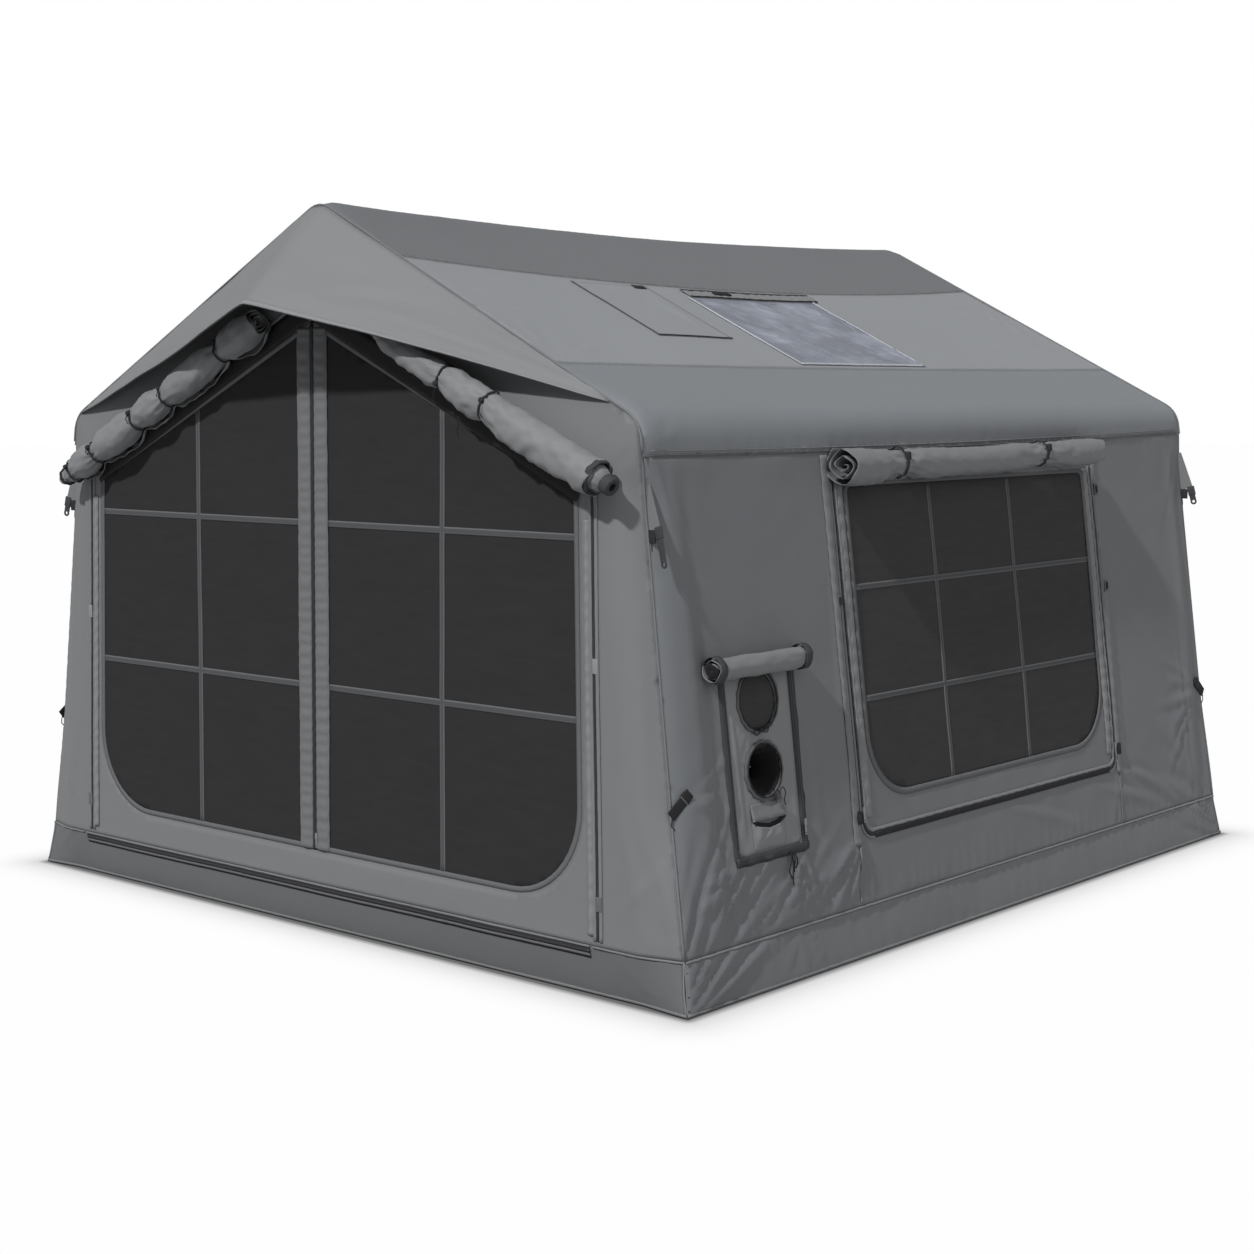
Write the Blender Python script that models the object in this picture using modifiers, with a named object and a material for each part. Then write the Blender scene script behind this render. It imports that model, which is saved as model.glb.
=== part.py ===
"""Inflatable cabin tent: air beam frame, sewn skin, mesh doors, windows, utility port and roof openings.

Metres, +Z up. The front gable faces -Y and the origin is the middle of the ground sheet's underside.
Cloth is drawn 4 mm thick so that each panel is a closed solid.
"""
import math

import bmesh
import bpy
from mathutils import Matrix, Vector

# Cloth, seams and clearances
CLOTH = 0.004
GAP = 0.0003
TRIM = 0.003
NET = 0.003
OVERRUN = 0.050

# Skin: side walls lean in, the end walls lean less, the roof is two slopes over a rounded ridge
SIDE_FOOT_X = 1.492
SIDE_LEAN = 0.182
EAVE_SEAM_Z = 1.515
END_FOOT_Y = 1.5725
END_LEAN = 0.0375
KNEE_RISE = 0.085
ROOF_RISE = 0.660
RIDGE_R = 0.100
KNEE_R = 0.100
ROOF_SAG = 0.036
RIDGE_SEAM_X = 0.360
RIDGE_SEAM_SCALLOP = 0.060
EAVE_SEAM_X = 0.990
FRONT_BOW = 0.033
BOW_SIDE_RAMP = 0.140
BOW_TOP_RAMP = 0.215
KNEE_STEPS = 5
RIDGE_STEPS = 3
ROOF_STATIONS = 12

# Skirt round the foot
SKIRT_TOP_Z = 0.150
HEM_FLARE_SIDE = 0.008
HEM_FLARE_END = 0.016

# Air beams: pre-bent arches at both ends, ridge and eave beams between them
BEAM_R = 0.085
RIDGE_BEAM_R = 0.078
BEAM_SLACK = 0.006
BEAM_BEND_R = 0.170
BEAM_BEND_STEPS = 5
BEAM_STATIONS = 6
BEAM_FOOT_LENGTH = 0.060

# Inflation valve on the right front leg
VALVE_Z = 0.460
VALVE_BASE_R = 0.032
VALVE_BASE_DEPTH = 0.022
VALVE_FLANGE = 0.005
VALVE_NECK_R = 0.021
VALVE_NECK_LENGTH = 0.016
VALVE_MOUTH_R = 0.014
VALVE_MOUTH_DEPTH = 0.020
CAP_R = 0.024
CAP_DEPTH = 0.007
CAP_EAR_WIDTH = 0.014
CAP_EAR_REACH = 0.006
ROUND_STEPS = 20
SMOOTH_ANGLE = math.radians(35)

# Front door: two mesh leaves in a five-sided opening
DOOR_FOOT_MARGIN = 0.352
DOOR_SHOULDER_MARGIN = 0.202
DOOR_SILL_RISE = 0.105
DOOR_SHOULDER_DROP = 0.2974
DOOR_APEX_DROP = 0.360
DOOR_CORNER_R = 0.270
LEAF_PARTING = 0.0006
LEAF_FRAME = 0.016
LEAF_BAND_WIDTH = 0.066
LEAF_POST_SHARE = 0.502
LEAF_RAIL_SHARES = (0.454, 0.894)
WEBBING = 0.018
DOOR_SLIDER_RISE = 0.047
DOOR_SLIDER_INSET = 0.006

# Zip tracks round the rolled outer door
SIDE_ZIP_MARGIN = 0.052
SIDE_ZIP_SHOULDER_DROP = 0.253
SIDE_ZIP_TOP_X = 0.040
SIDE_ZIP_TOP_DROP = 0.2897
SIDE_ZIP_FOOT_RISE = 0.015
SIDE_ZIP_WIDTH = 0.030
BOTTOM_ZIP_LEFT_MARGIN = 0.262
BOTTOM_ZIP_RIGHT_MARGIN = 0.332
BOTTOM_ZIP_DROP = 0.004
BOTTOM_ZIP_WIDTH = 0.034

# Rolled outer door panels, tied up under the gable slopes
ROLL_TOP_X = 0.360
ROLL_TOP_DROP = 0.2312
ROLL_LOW_MARGIN = 0.115
ROLL_LOW_DROP = 0.1912
ROLL_STAND_OFF = 0.0578
ROLL_R = 0.050
ROLL_END_R = 0.034
ROLL_BULGE_R = 0.055
ROLL_WAIST_R = 0.036
ROLL_TIE_R = 0.040
ROLL_TIE_WIDTH = 0.022
ROLL_RIM_R = 0.0565
ROLL_RIM_WIDTH = 0.016
ROLL_CORE_R = 0.032
ROLL_CORE_REACH = 0.055
ROLL_CORE_BORE = 0.022
ROLL_CORE_BORE_DEPTH = 0.040
RIGHT_TIE_SHARES = (0.30, 0.53)
LEFT_TIE_SHARES = (0.36, 0.60, 0.93)
ROLL_SWELL_SHARE = 0.30
ROLL_BULGE_SHARE = 0.60
ROLL_ROUND_STEPS = 16

# Side windows
WINDOW_FRONT_MARGIN = 0.9325
WINDOW_REAR_MARGIN = 0.7875
WINDOW_LOW_RISE = 0.303
WINDOW_HIGH_DROP = 0.113
WINDOW_CORNER_R = 0.200
WINDOW_TOP_R = 0.030
WINDOW_BINDING = 0.014
WINDOW_POST_SHARES = (0.316, 0.649)
WINDOW_RAIL_SHARES = (0.318, 0.671)
WINDOW_ZIP_MARGIN = 0.072
WINDOW_ZIP_LOW_MARGIN = 0.113
WINDOW_ZIP_HIGH_MARGIN = 0.012
WINDOW_ZIP_CORNER_R = 0.070
WINDOW_ZIP_WIDTH = 0.026
WINDOW_ROLL_FRONT_LAP = 0.020
WINDOW_ROLL_REAR_LAP = 0.125
WINDOW_ROLL_RISE = 0.048
WINDOW_ROLL_R = 0.054
WINDOW_ROLL_CORE_R = 0.014
WINDOW_TIE_SHARES = (0.19, 0.76)
WINDOW_TIE_WIDTH = 0.024
ROLL_LAYER = 0.005
ROLL_PITCH = 0.010
TIE_THICKNESS = 0.004
SPIRAL_STEPS = 14
CORNER_STEPS = 6

# Zip sliders
SLIDER_WIDTH = 0.012
SLIDER_LENGTH = 0.020
SLIDER_THICKNESS = 0.006
PULL_WIDTH = 0.009
PULL_LENGTH = 0.038
PULL_THICKNESS = 0.0025
PULL_HOLE_R = 0.0025
PULL_HOLE_INSET = 0.006
WINDOW_SLIDER_RISE = 0.090
SLIDER_CORNER_STEPS = 2
SMALL_HOLE_STEPS = 8

# Utility port in the right wall
PORT_FRONT_MARGIN = 0.2745
PORT_WIDTH = 0.295
PORT_LOW_RISE = 0.230
PORT_HEIGHT = 0.525
PORT_CORNER_R = 0.030
PORT_EYE_INSET = 0.143
PORT_MESH_SHARE = 0.781
PORT_MESH_R = 0.078
PORT_HOLE_SHARE = 0.438
PORT_HOLE_R = 0.066
PORT_RING_R = 0.0085
PORT_CIRCLE_STEPS = 24
RING_STEPS = 8
PORT_ZIP_WIDTH = 0.022
PORT_ZIP_MARGIN = 0.022
PORT_ROLL_FRONT_LAP = 0.047
PORT_ROLL_REAR_LAP = 0.078
PORT_ROLL_RISE = 0.007
PORT_ROLL_R = 0.034
PORT_ROLL_CORE_R = 0.008
PORT_BINDING_WIDTH = 0.016
PORT_SLIDER_RISE = 0.060
POCKET_INSET = 0.070
POCKET_WIDTH = 0.146
POCKET_LOW_RISE = 0.012
POCKET_HEIGHT = 0.128
POCKET_CORNER_R = 0.025
POCKET_DEPTH = 0.010

# Roof window and stove pipe opening in the right slope
SKYLIGHT_FRONT_Y = -0.375
SKYLIGHT_REAR_Y = 0.335
SKYLIGHT_LOW_MARGIN = 0.022
SKYLIGHT_HALF_WIDTH = 0.475
SKYLIGHT_LAP = 0.020
SKYLIGHT_ZIP_REACH = 0.061
SKYLIGHT_ZIP_SHIFT = 0.025
FLAP_FRONT_Y = -0.875
FLAP_REAR_Y = -0.510
FLAP_SEAM_MARGIN = 0.010
FLAP_WIDTH = 0.365
PATCH_MARGIN = 0.060
PATCH_RISE = 0.0008

# Hood over the front gable
HOOD_REACH = 0.306
HOOD_TIP_DROP = 0.317
HOOD_END_MARGIN = 0.1098
HOOD_END_DROP = 0.030
HOOD_END_REACH = 0.030
HOOD_SEAM_GAP = 0.0009
HOOD_ACROSS_STEPS = 18
HOOD_DOWN_STEPS = 2
HOOD_CROWD_SHARE = 0.5

# Guy-line points at the four corners
GUY_PATCH_DROP = 0.075
GUY_PATCH_LENGTH = 0.110
GUY_PATCH_WIDTH = 0.078
GUY_EDGE_INSET = 0.012
GUY_STRAP_WIDTH = 0.024
GUY_STRAP_LENGTH = 0.080
GUY_RING_R = 0.020
GUY_RING_BORE_R = 0.012
GUY_TAB_RISE = 0.395
GUY_TAB_HEIGHT = 0.030
GUY_TAB_REACH = 0.028

# Places that follow from the skin's sizes
SIDE_EAVE_X = SIDE_FOOT_X - SIDE_LEAN
END_TOP_Y = END_FOOT_Y - END_LEAN
KNEE_Z = EAVE_SEAM_Z + KNEE_RISE
RIDGE_LINE_Z = KNEE_Z + ROOF_RISE
DOOR_FOOT_X = SIDE_FOOT_X - DOOR_FOOT_MARGIN
DOOR_SHOULDER_X = SIDE_EAVE_X - DOOR_SHOULDER_MARGIN
DOOR_SILL_Z = SKIRT_TOP_Z + DOOR_SILL_RISE
SIDE_ZIP_FOOT_X = DOOR_FOOT_X + SIDE_ZIP_MARGIN
SIDE_ZIP_SHOULDER_X = DOOR_SHOULDER_X + SIDE_ZIP_MARGIN
ROLL_LOW_X = SIDE_EAVE_X - ROLL_LOW_MARGIN
WINDOW_FRONT_Y = -END_FOOT_Y + WINDOW_FRONT_MARGIN
WINDOW_REAR_Y = END_FOOT_Y - WINDOW_REAR_MARGIN
WINDOW_LOW_Z = SKIRT_TOP_Z + WINDOW_LOW_RISE
WINDOW_HIGH_Z = EAVE_SEAM_Z - WINDOW_HIGH_DROP
WINDOW_ZIP_FRONT_Y = WINDOW_FRONT_Y - WINDOW_ZIP_MARGIN
WINDOW_ZIP_REAR_Y = WINDOW_REAR_Y + WINDOW_ZIP_MARGIN
WINDOW_ZIP_LOW_Z = WINDOW_LOW_Z - WINDOW_ZIP_LOW_MARGIN
WINDOW_ROLL_FRONT_Y = WINDOW_FRONT_Y - WINDOW_ROLL_FRONT_LAP
WINDOW_ROLL_REAR_Y = WINDOW_REAR_Y + WINDOW_ROLL_REAR_LAP
PORT_FRONT_Y = -END_FOOT_Y + PORT_FRONT_MARGIN
PORT_REAR_Y = PORT_FRONT_Y + PORT_WIDTH
PORT_LOW_Z = SKIRT_TOP_Z + PORT_LOW_RISE
PORT_HIGH_Z = PORT_LOW_Z + PORT_HEIGHT
PORT_EYE_Y = PORT_FRONT_Y + PORT_EYE_INSET
PORT_MESH_Z = PORT_LOW_Z + PORT_HEIGHT * PORT_MESH_SHARE
PORT_HOLE_Z = PORT_LOW_Z + PORT_HEIGHT * PORT_HOLE_SHARE
PORT_ROLL_FRONT_Y = PORT_FRONT_Y - PORT_ROLL_FRONT_LAP
PORT_ROLL_REAR_Y = PORT_REAR_Y + PORT_ROLL_REAR_LAP
SKYLIGHT_LOW_X = EAVE_SEAM_X - SKYLIGHT_LOW_MARGIN
SKYLIGHT_HIGH_X = SKYLIGHT_LOW_X - SKYLIGHT_HALF_WIDTH
FLAP_HIGH_X = RIDGE_SEAM_X + RIDGE_SEAM_SCALLOP + FLAP_SEAM_MARGIN
FLAP_LOW_X = FLAP_HIGH_X + FLAP_WIDTH

# Materials: colour, roughness, metallic
OXFORD_GREY = ((0.235, 0.232, 0.240), 0.72, 0.0)
OXFORD_DARK = ((0.165, 0.163, 0.172), 0.75, 0.0)
OXFORD_PALE = ((0.300, 0.297, 0.310), 0.70, 0.0)
GROUND_CLOTH = ((0.070, 0.070, 0.075), 0.60, 0.0)
BEAM_SLEEVE = ((0.120, 0.120, 0.128), 0.65, 0.0)
NET_BLACK = ((0.020, 0.020, 0.022), 0.80, 0.0)
WEBBING_GREY = ((0.320, 0.317, 0.330), 0.70, 0.0)
ZIP_BLACK = ((0.030, 0.030, 0.032), 0.45, 0.0)
CLEAR_VINYL = ((0.620, 0.610, 0.680), 0.22, 0.0)
HEAT_CLOTH = ((0.420, 0.410, 0.390), 0.80, 0.0)
ZIP_METAL = ((0.300, 0.300, 0.310), 0.35, 0.9)
VALVE_PLASTIC = ((0.040, 0.040, 0.043), 0.40, 0.0)


def side_x(z):
    """Half-width of the side wall's outer face at height z."""
    return SIDE_FOOT_X - (SIDE_FOOT_X - SIDE_EAVE_X) * z / EAVE_SEAM_Z


def end_y(z):
    """Half-length of the end wall's outer face at height z, at the corner."""
    return END_FOOT_Y - (END_FOOT_Y - END_TOP_Y) * z / RIDGE_LINE_Z


KNEE_X = side_x(KNEE_Z)
ROOF_ANGLE = math.atan2(RIDGE_LINE_Z - KNEE_Z, KNEE_X)
WALL_LEAN = math.atan2(SIDE_FOOT_X - SIDE_EAVE_X, EAVE_SEAM_Z)
KNEE_TURN = math.pi / 2 - ROOF_ANGLE - WALL_LEAN
RIDGE_ARC = RIDGE_R * ROOF_ANGLE
KNEE_TANGENT = KNEE_R * math.tan(KNEE_TURN / 2)
SLOPE_LENGTH = KNEE_X / math.cos(ROOF_ANGLE) - RIDGE_R * math.tan(ROOF_ANGLE) - KNEE_TANGENT
KNEE_START = RIDGE_ARC + SLOPE_LENGTH
KNEE_END = KNEE_START + KNEE_R * KNEE_TURN
WALL_TOP_Z = KNEE_Z - KNEE_TANGENT * math.cos(WALL_LEAN)
EAVE_SEAM_S = KNEE_END + (WALL_TOP_Z - EAVE_SEAM_Z) / math.cos(WALL_LEAN)
ARCH_Y = END_TOP_Y - CLOTH - BEAM_SLACK - BEAM_R


def roof_line_z(x):
    """Height of the straight roof line at half-width x."""
    return RIDGE_LINE_Z - x * math.tan(ROOF_ANGLE)


DOOR_SHOULDER_Z = roof_line_z(DOOR_SHOULDER_X) - DOOR_SHOULDER_DROP
DOOR_APEX_Z = RIDGE_LINE_Z - DOOR_APEX_DROP


def section_point(s, depth=0.0):
    """Point (x, z) of the right half-section, s along the skin from the ridge, depth inside it."""
    sin_a = math.sin(ROOF_ANGLE)
    cos_a = math.cos(ROOF_ANGLE)
    if s <= RIDGE_ARC:
        turn = s / RIDGE_R
        centre_z = RIDGE_LINE_Z - RIDGE_R / cos_a
        return (RIDGE_R - depth) * math.sin(turn), centre_z + (RIDGE_R - depth) * math.cos(turn)
    start_x = RIDGE_R * sin_a
    start_z = roof_line_z(start_x)
    along = min(s, KNEE_START) - RIDGE_ARC
    x = start_x + along * cos_a
    z = start_z - along * sin_a
    if s <= KNEE_START:
        return x - depth * sin_a, z - depth * cos_a
    turn = ROOF_ANGLE + min((s - KNEE_START) / KNEE_R, KNEE_TURN)
    x += -KNEE_R * sin_a + (KNEE_R - depth) * math.sin(turn)
    z += -KNEE_R * cos_a + (KNEE_R - depth) * math.cos(turn)
    below = max(s - KNEE_END, 0.0)
    return x + below * math.sin(WALL_LEAN), z - below * math.cos(WALL_LEAN)


def slope_s(x):
    """Distance along the skin from the ridge of the point at half-width x on the slope."""
    return RIDGE_ARC + (x - RIDGE_R * math.sin(ROOF_ANGLE)) / math.cos(ROOF_ANGLE)


def ridge_seam_s(y):
    """Scalloped seam between the ridge panel and the middle panels."""
    return slope_s(RIDGE_SEAM_X + RIDGE_SEAM_SCALLOP * (1 - (y / END_FOOT_Y) ** 2))


def roof_dip(x, y):
    """How far the roof sags below its two straight slopes."""
    along = max(0.0, 1 - (y / END_TOP_Y) ** 2)
    return ROOF_SAG * along * max(0.0, 1 - x / KNEE_X)


def on_roof(s, y, rise=0.0):
    """Point of the roof at signed distance s from the ridge, rise above the outer face."""
    x, z = section_point(abs(s), -rise)
    return Vector((math.copysign(x, s), y, z - roof_dip(x, y)))


def bow_share(x, z):
    """Share of the front wall's bow at (x, z): none at its edges, all of it over the door."""
    top_ramp = (roof_line_z(abs(x)) - z) / BOW_TOP_RAMP
    ramp = min((side_x(z) - abs(x)) / BOW_SIDE_RAMP, top_ramp)
    return max(0.0, min(1.0, ramp))


def on_front(x, z, rise):
    """Point on the front wall, rise in front of its outer face."""
    return Vector((x, -end_y(z) - FRONT_BOW * bow_share(x, z) - rise, z))


def on_rear(x, z, rise):
    """Point on the rear wall, rise behind its outer face."""
    return Vector((x, end_y(z) + rise, z))


def on_right(y, z, rise):
    """Point on the right wall, rise outside its outer face."""
    return Vector((side_x(z) + rise * math.cos(WALL_LEAN), y, z + rise * math.sin(WALL_LEAN)))


def on_left(y, z, rise):
    """Point on the left wall, the mirror of the right one."""
    point = on_right(y, z, rise)
    return Vector((-point.x, point.y, point.z))


def on_front_skirt(x, z, rise):
    """Point on the front skirt, which tucks in under the door and flares at the corners."""
    top = on_front(x, SKIRT_TOP_Z, rise)
    ramp = max(0.0, min(1.0, (side_x(SKIRT_TOP_Z) - abs(x)) / BOW_SIDE_RAMP))
    hem_y = -END_FOOT_Y - HEM_FLARE_END * (1 - ramp) - rise
    return Vector((x, hem_y + (top.y - hem_y) * z / SKIRT_TOP_Z, z))


def clear_scene():
    """Remove what the file opens with."""
    for item in list(bpy.data.objects):
        bpy.data.objects.remove(item, do_unlink=True)


def make_collection(name):
    """New collection in the scene."""
    collection = bpy.data.collections.new(name)
    bpy.context.scene.collection.children.link(collection)
    return collection


def make_material(name, look):
    """Principled material from (colour, roughness, metallic)."""
    colour, roughness, metallic = look
    material = bpy.data.materials.new(name)
    material.use_nodes = True
    shader = material.node_tree.nodes["Principled BSDF"]
    shader.inputs["Base Color"].default_value = (*colour, 1.0)
    shader.inputs["Roughness"].default_value = roughness
    shader.inputs["Metallic"].default_value = metallic
    return material


class Workshop:
    """Holds the collections and the parent empties, and finishes each piece the same way."""

    def __init__(self):
        self.parts = make_collection("inflatable_tent")
        self.cutters = make_collection("cutters")
        self.pivots = {}

    def pivot(self, name, place):
        """Empty on a joint's axis that a moving piece hangs from."""
        empty = bpy.data.objects.new(name, None)
        empty.location = place
        self.parts.objects.link(empty)
        self.pivots[name] = empty
        return empty

    def add(self, name, mesh, look, pivot=None, smooth=False):
        """Link a mesh as a named piece with its own material."""
        piece = bpy.data.objects.new(name, mesh)
        mesh.materials.clear()
        mesh.materials.append(make_material(name + "_finish", look))
        self.parts.objects.link(piece)
        if smooth:
            mesh.shade_smooth()
            mesh.set_sharp_from_angle(angle=SMOOTH_ANGLE)
        if pivot:
            origin = self.pivots[pivot].location
            mesh.transform(Matrix.Translation(-origin))
            piece.parent = self.pivots[pivot]
        return piece

    def add_cutter(self, name, mesh):
        """Link a mesh as a hidden cutter."""
        cutter = bpy.data.objects.new(name, mesh)
        cutter.hide_render = True
        cutter.display_type = "WIRE"
        self.cutters.objects.link(cutter)
        return cutter

    def combine(self, piece, other, operation):
        """Exact Boolean of a piece with a cutter or a tool body."""
        modifier = piece.modifiers.new(operation.lower(), "BOOLEAN")
        modifier.operation = operation
        modifier.object = other
        modifier.solver = "EXACT"


def close_mesh(build, name):
    """Turn a bmesh into a mesh whose faces point out."""
    bmesh.ops.recalc_face_normals(build, faces=build.faces)
    mesh = bpy.data.meshes.new(name)
    build.to_mesh(mesh)
    build.free()
    return mesh


def curve_to_mesh(curve, name):
    """Evaluate a curve once and weld its loose caps."""
    holder = bpy.data.objects.new(name, curve)
    bpy.context.scene.collection.objects.link(holder)
    bpy.context.view_layer.update()
    evaluated = holder.evaluated_get(bpy.context.evaluated_depsgraph_get())
    raw = bpy.data.meshes.new_from_object(evaluated)
    bpy.data.objects.remove(holder, do_unlink=True)
    bpy.data.curves.remove(curve)
    build = bmesh.new()
    build.from_mesh(raw)
    bpy.data.meshes.remove(raw)
    bmesh.ops.remove_doubles(build, verts=build.verts, dist=GAP / 10)
    bmesh.ops.dissolve_degenerate(build, edges=build.edges, dist=GAP / 10)
    return close_mesh(build, name)


def add_spline(curve, points, closed):
    """Poly spline through 2D or 3D points."""
    spline = curve.splines.new("POLY")
    spline.points.add(len(points) - 1)
    for slot, point in zip(spline.points, points):
        slot.co = (point[0], point[1], point[2] if len(point) > 2 else 0.0, 1.0)
    spline.use_cyclic_u = closed


def outline_mesh(name, outline, holes, thickness):
    """Flat plate in XY from an outline and its holes."""
    curve = bpy.data.curves.new(name, "CURVE")
    curve.dimensions = "2D"
    curve.fill_mode = "BOTH"
    curve.extrude = thickness / 2
    curve.render_resolution_u = 0
    add_spline(curve, outline, True)
    for hole in holes:
        add_spline(curve, hole, True)
    return curve_to_mesh(curve, name)


def tube_mesh(name, points, radius, resolution=4):
    """Round tube with filled ends along 3D points."""
    curve = bpy.data.curves.new(name, "CURVE")
    curve.dimensions = "3D"
    curve.bevel_depth = radius
    curve.bevel_resolution = resolution
    curve.use_fill_caps = True
    curve.render_resolution_u = 0
    curve.twist_mode = "MINIMUM"
    add_spline(curve, points, False)
    return curve_to_mesh(curve, name)


def lay(mesh, place):
    """Move each vertex (a, b, c) to place(a, b, c) and turn the faces out again."""
    for vertex in mesh.vertices:
        vertex.co = place(*vertex.co)
    build = bmesh.new()
    build.from_mesh(mesh)
    bmesh.ops.recalc_face_normals(build, faces=build.faces)
    build.to_mesh(mesh)
    build.free()
    return mesh


def sheet_mesh(name, surface, outline, low, high, holes=()):
    """Sheet laid on a surface between two heights above it."""
    mesh = outline_mesh(name, outline, holes, high - low)
    middle = (low + high) / 2
    return lay(mesh, lambda a, b, c: surface(a, b, c + middle))


def grid_sheet_mesh(name, columns, rows, place):
    """Open grid of columns by rows cells whose point (i, j) goes to place(i, j)."""
    build = bmesh.new()
    bmesh.ops.create_grid(build, x_segments=columns, y_segments=rows, size=0.5)
    for vertex in build.verts:
        i = round((vertex.co.x + 0.5) * columns)
        j = round((vertex.co.y + 0.5) * rows)
        vertex.co = place(i, j)
    mesh = bpy.data.meshes.new(name)
    build.to_mesh(mesh)
    build.free()
    return mesh


def thicken(piece, thickness, outward):
    """Solidify an open sheet to one side of it."""
    modifier = piece.modifiers.new("cloth", "SOLIDIFY")
    modifier.thickness = thickness
    modifier.offset = 1.0 if outward else -1.0
    modifier.use_even_offset = True


def turned_mesh(name, profile, steps):
    """Closed body turned about Z from a profile of (radius, z) that starts and ends on the axis."""
    build = bmesh.new()
    verts = [build.verts.new((radius, 0.0, z)) for radius, z in profile]
    for start, end in zip(verts, verts[1:]):
        build.edges.new((start, end))
    bmesh.ops.spin(build, geom=list(build.verts) + list(build.edges), cent=(0, 0, 0),
                   axis=(0, 0, 1), angle=math.tau, steps=steps, use_merge=True)
    bmesh.ops.remove_doubles(build, verts=build.verts, dist=GAP / 10)
    return close_mesh(build, name)


def inset(corners, distances):
    """Move each edge of an anticlockwise convex polygon inward, edge i running from corner i."""
    count = len(corners)
    lines = []
    for i in range(count):
        start = Vector(corners[i])
        way = (Vector(corners[(i + 1) % count]) - start).normalized()
        lines.append((start + Vector((-way.y, way.x)) * distances[i], way))
    moved = []
    for i in range(count):
        start, way = lines[i - 1]
        other, cross = lines[i]
        reach = (other - start).cross(cross) / way.cross(cross)
        moved.append(tuple(start + way * reach))
    return moved


def rounded(corners, radii, steps=CORNER_STEPS):
    """Polygon with an arc at each corner; radius zero keeps it sharp."""
    points = []
    count = len(corners)
    for i in range(count):
        corner = Vector(corners[i])
        before = (Vector(corners[i - 1]) - corner).normalized()
        after = (Vector(corners[(i + 1) % count]) - corner).normalized()
        if radii[i] <= 0:
            points.append(tuple(corner))
            continue
        points += arc_between(corner, before, after, radii[i], steps)
    return points


def arc_between(corner, before, after, radius, steps):
    """Points of the arc that rounds a corner between two unit directions leaving it."""
    half = before.angle(after) / 2
    centre = corner + (before + after).normalized() * radius / math.sin(half)
    first = corner + before * radius / math.tan(half) - centre
    last = corner + after * radius / math.tan(half) - centre
    points = []
    for k in range(steps + 1):
        share = k / steps
        sweep = math.pi - 2 * half
        blend = first * math.sin(sweep * (1 - share)) + last * math.sin(sweep * share)
        points.append(tuple(centre + blend / math.sin(sweep)))
    return points


def clip(polygon, axis, limit, keep_above):
    """Part of a convex polygon on one side of a line across an axis."""
    kept = []
    sign = 1 if keep_above else -1
    for start, end in zip(polygon, polygon[1:] + polygon[:1]):
        from_line = sign * (start[axis] - limit)
        to_line = sign * (end[axis] - limit)
        if from_line >= 0:
            kept.append(start)
        if from_line * to_line < 0:
            share = from_line / (from_line - to_line)
            kept.append(tuple(a + (b - a) * share for a, b in zip(start, end)))
    return kept


def lattice_cells(field, posts, rails, bar):
    """Openings that posts and rails of one width leave in a convex field."""
    cells = []
    post_edges = [None] + list(posts) + [None]
    rail_edges = [None] + list(rails) + [None]
    for left, right in zip(post_edges, post_edges[1:]):
        for low, high in zip(rail_edges, rail_edges[1:]):
            cell = field
            for axis, edge, above in ((0, left, True), (0, right, False), (1, low, True), (1, high, False)):
                if edge is not None:
                    cell = clip(cell, axis, edge + (bar / 2 if above else -bar / 2), above)
            cells.append(cell)
    return cells


def band(path, width):
    """Outline of a flat band along an open path, with mitred bends."""
    sides = ([], [])
    points = [Vector(point) for point in path]
    for i, point in enumerate(points):
        way_in = (point - points[max(i - 1, 0)]).normalized() if i else (points[1] - points[0]).normalized()
        way_out = (points[i + 1] - point).normalized() if i + 1 < len(points) else way_in
        normal = (Vector((-way_in.y, way_in.x)) + Vector((-way_out.y, way_out.x))).normalized()
        reach = width / 2 / normal.dot(Vector((-way_in.y, way_in.x)))
        sides[0].append(tuple(point + normal * reach))
        sides[1].append(tuple(point - normal * reach))
    return sides[0] + sides[1][::-1]


def circle(centre, radius, steps):
    """Points of a circle."""
    return [(centre[0] + radius * math.cos(math.tau * k / steps),
             centre[1] + radius * math.sin(math.tau * k / steps)) for k in range(steps)]


def u_track(front, rear, low, high, corner_r, width):
    """Outline of a U-shaped track, open at the top, anticlockwise."""
    corners = [(front, high), (front, low), (rear, low), (rear, high)]
    outer = rounded(corners, (0, corner_r, corner_r, 0))
    inner_corners = inset(corners, (width, width, width, 0))
    inner = rounded(inner_corners, (0, corner_r - width, corner_r - width, 0))
    return outer + inner[::-1]


def spiral_outline(radius, core, layer, pitch, steps):
    """Section of a rolled sheet: a strip wound outward from its core to its outer radius."""
    turns = (radius - layer - core) / pitch
    count = max(steps, round(turns * steps))
    outer = []
    inner = []
    for k in range(count + 1):
        angle = math.tau * turns * k / count
        middle = core + layer / 2 + (radius - layer - core) * k / count
        direction = Vector((math.cos(angle), math.sin(angle)))
        outer.append(tuple(direction * (middle + layer / 2)))
        inner.append(tuple(direction * (middle - layer / 2)))
    return outer + inner[::-1]


def section_outline(depth, low_z):
    """Closed outline of the tent's cross-section inside the skin, from low_z up."""
    stations = [EAVE_SEAM_S]
    stations += [KNEE_END - (KNEE_END - KNEE_START) * k / KNEE_STEPS for k in range(KNEE_STEPS + 1)]
    stations += [RIDGE_ARC - RIDGE_ARC * k / RIDGE_STEPS for k in range(RIDGE_STEPS + 1)]
    right = [(side_x(low_z) - depth / math.cos(WALL_LEAN), low_z)]
    right += [section_point(s, depth) for s in stations]
    left = [(-x, z) for x, z in reversed(right[:-1])]
    return right + left


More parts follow.
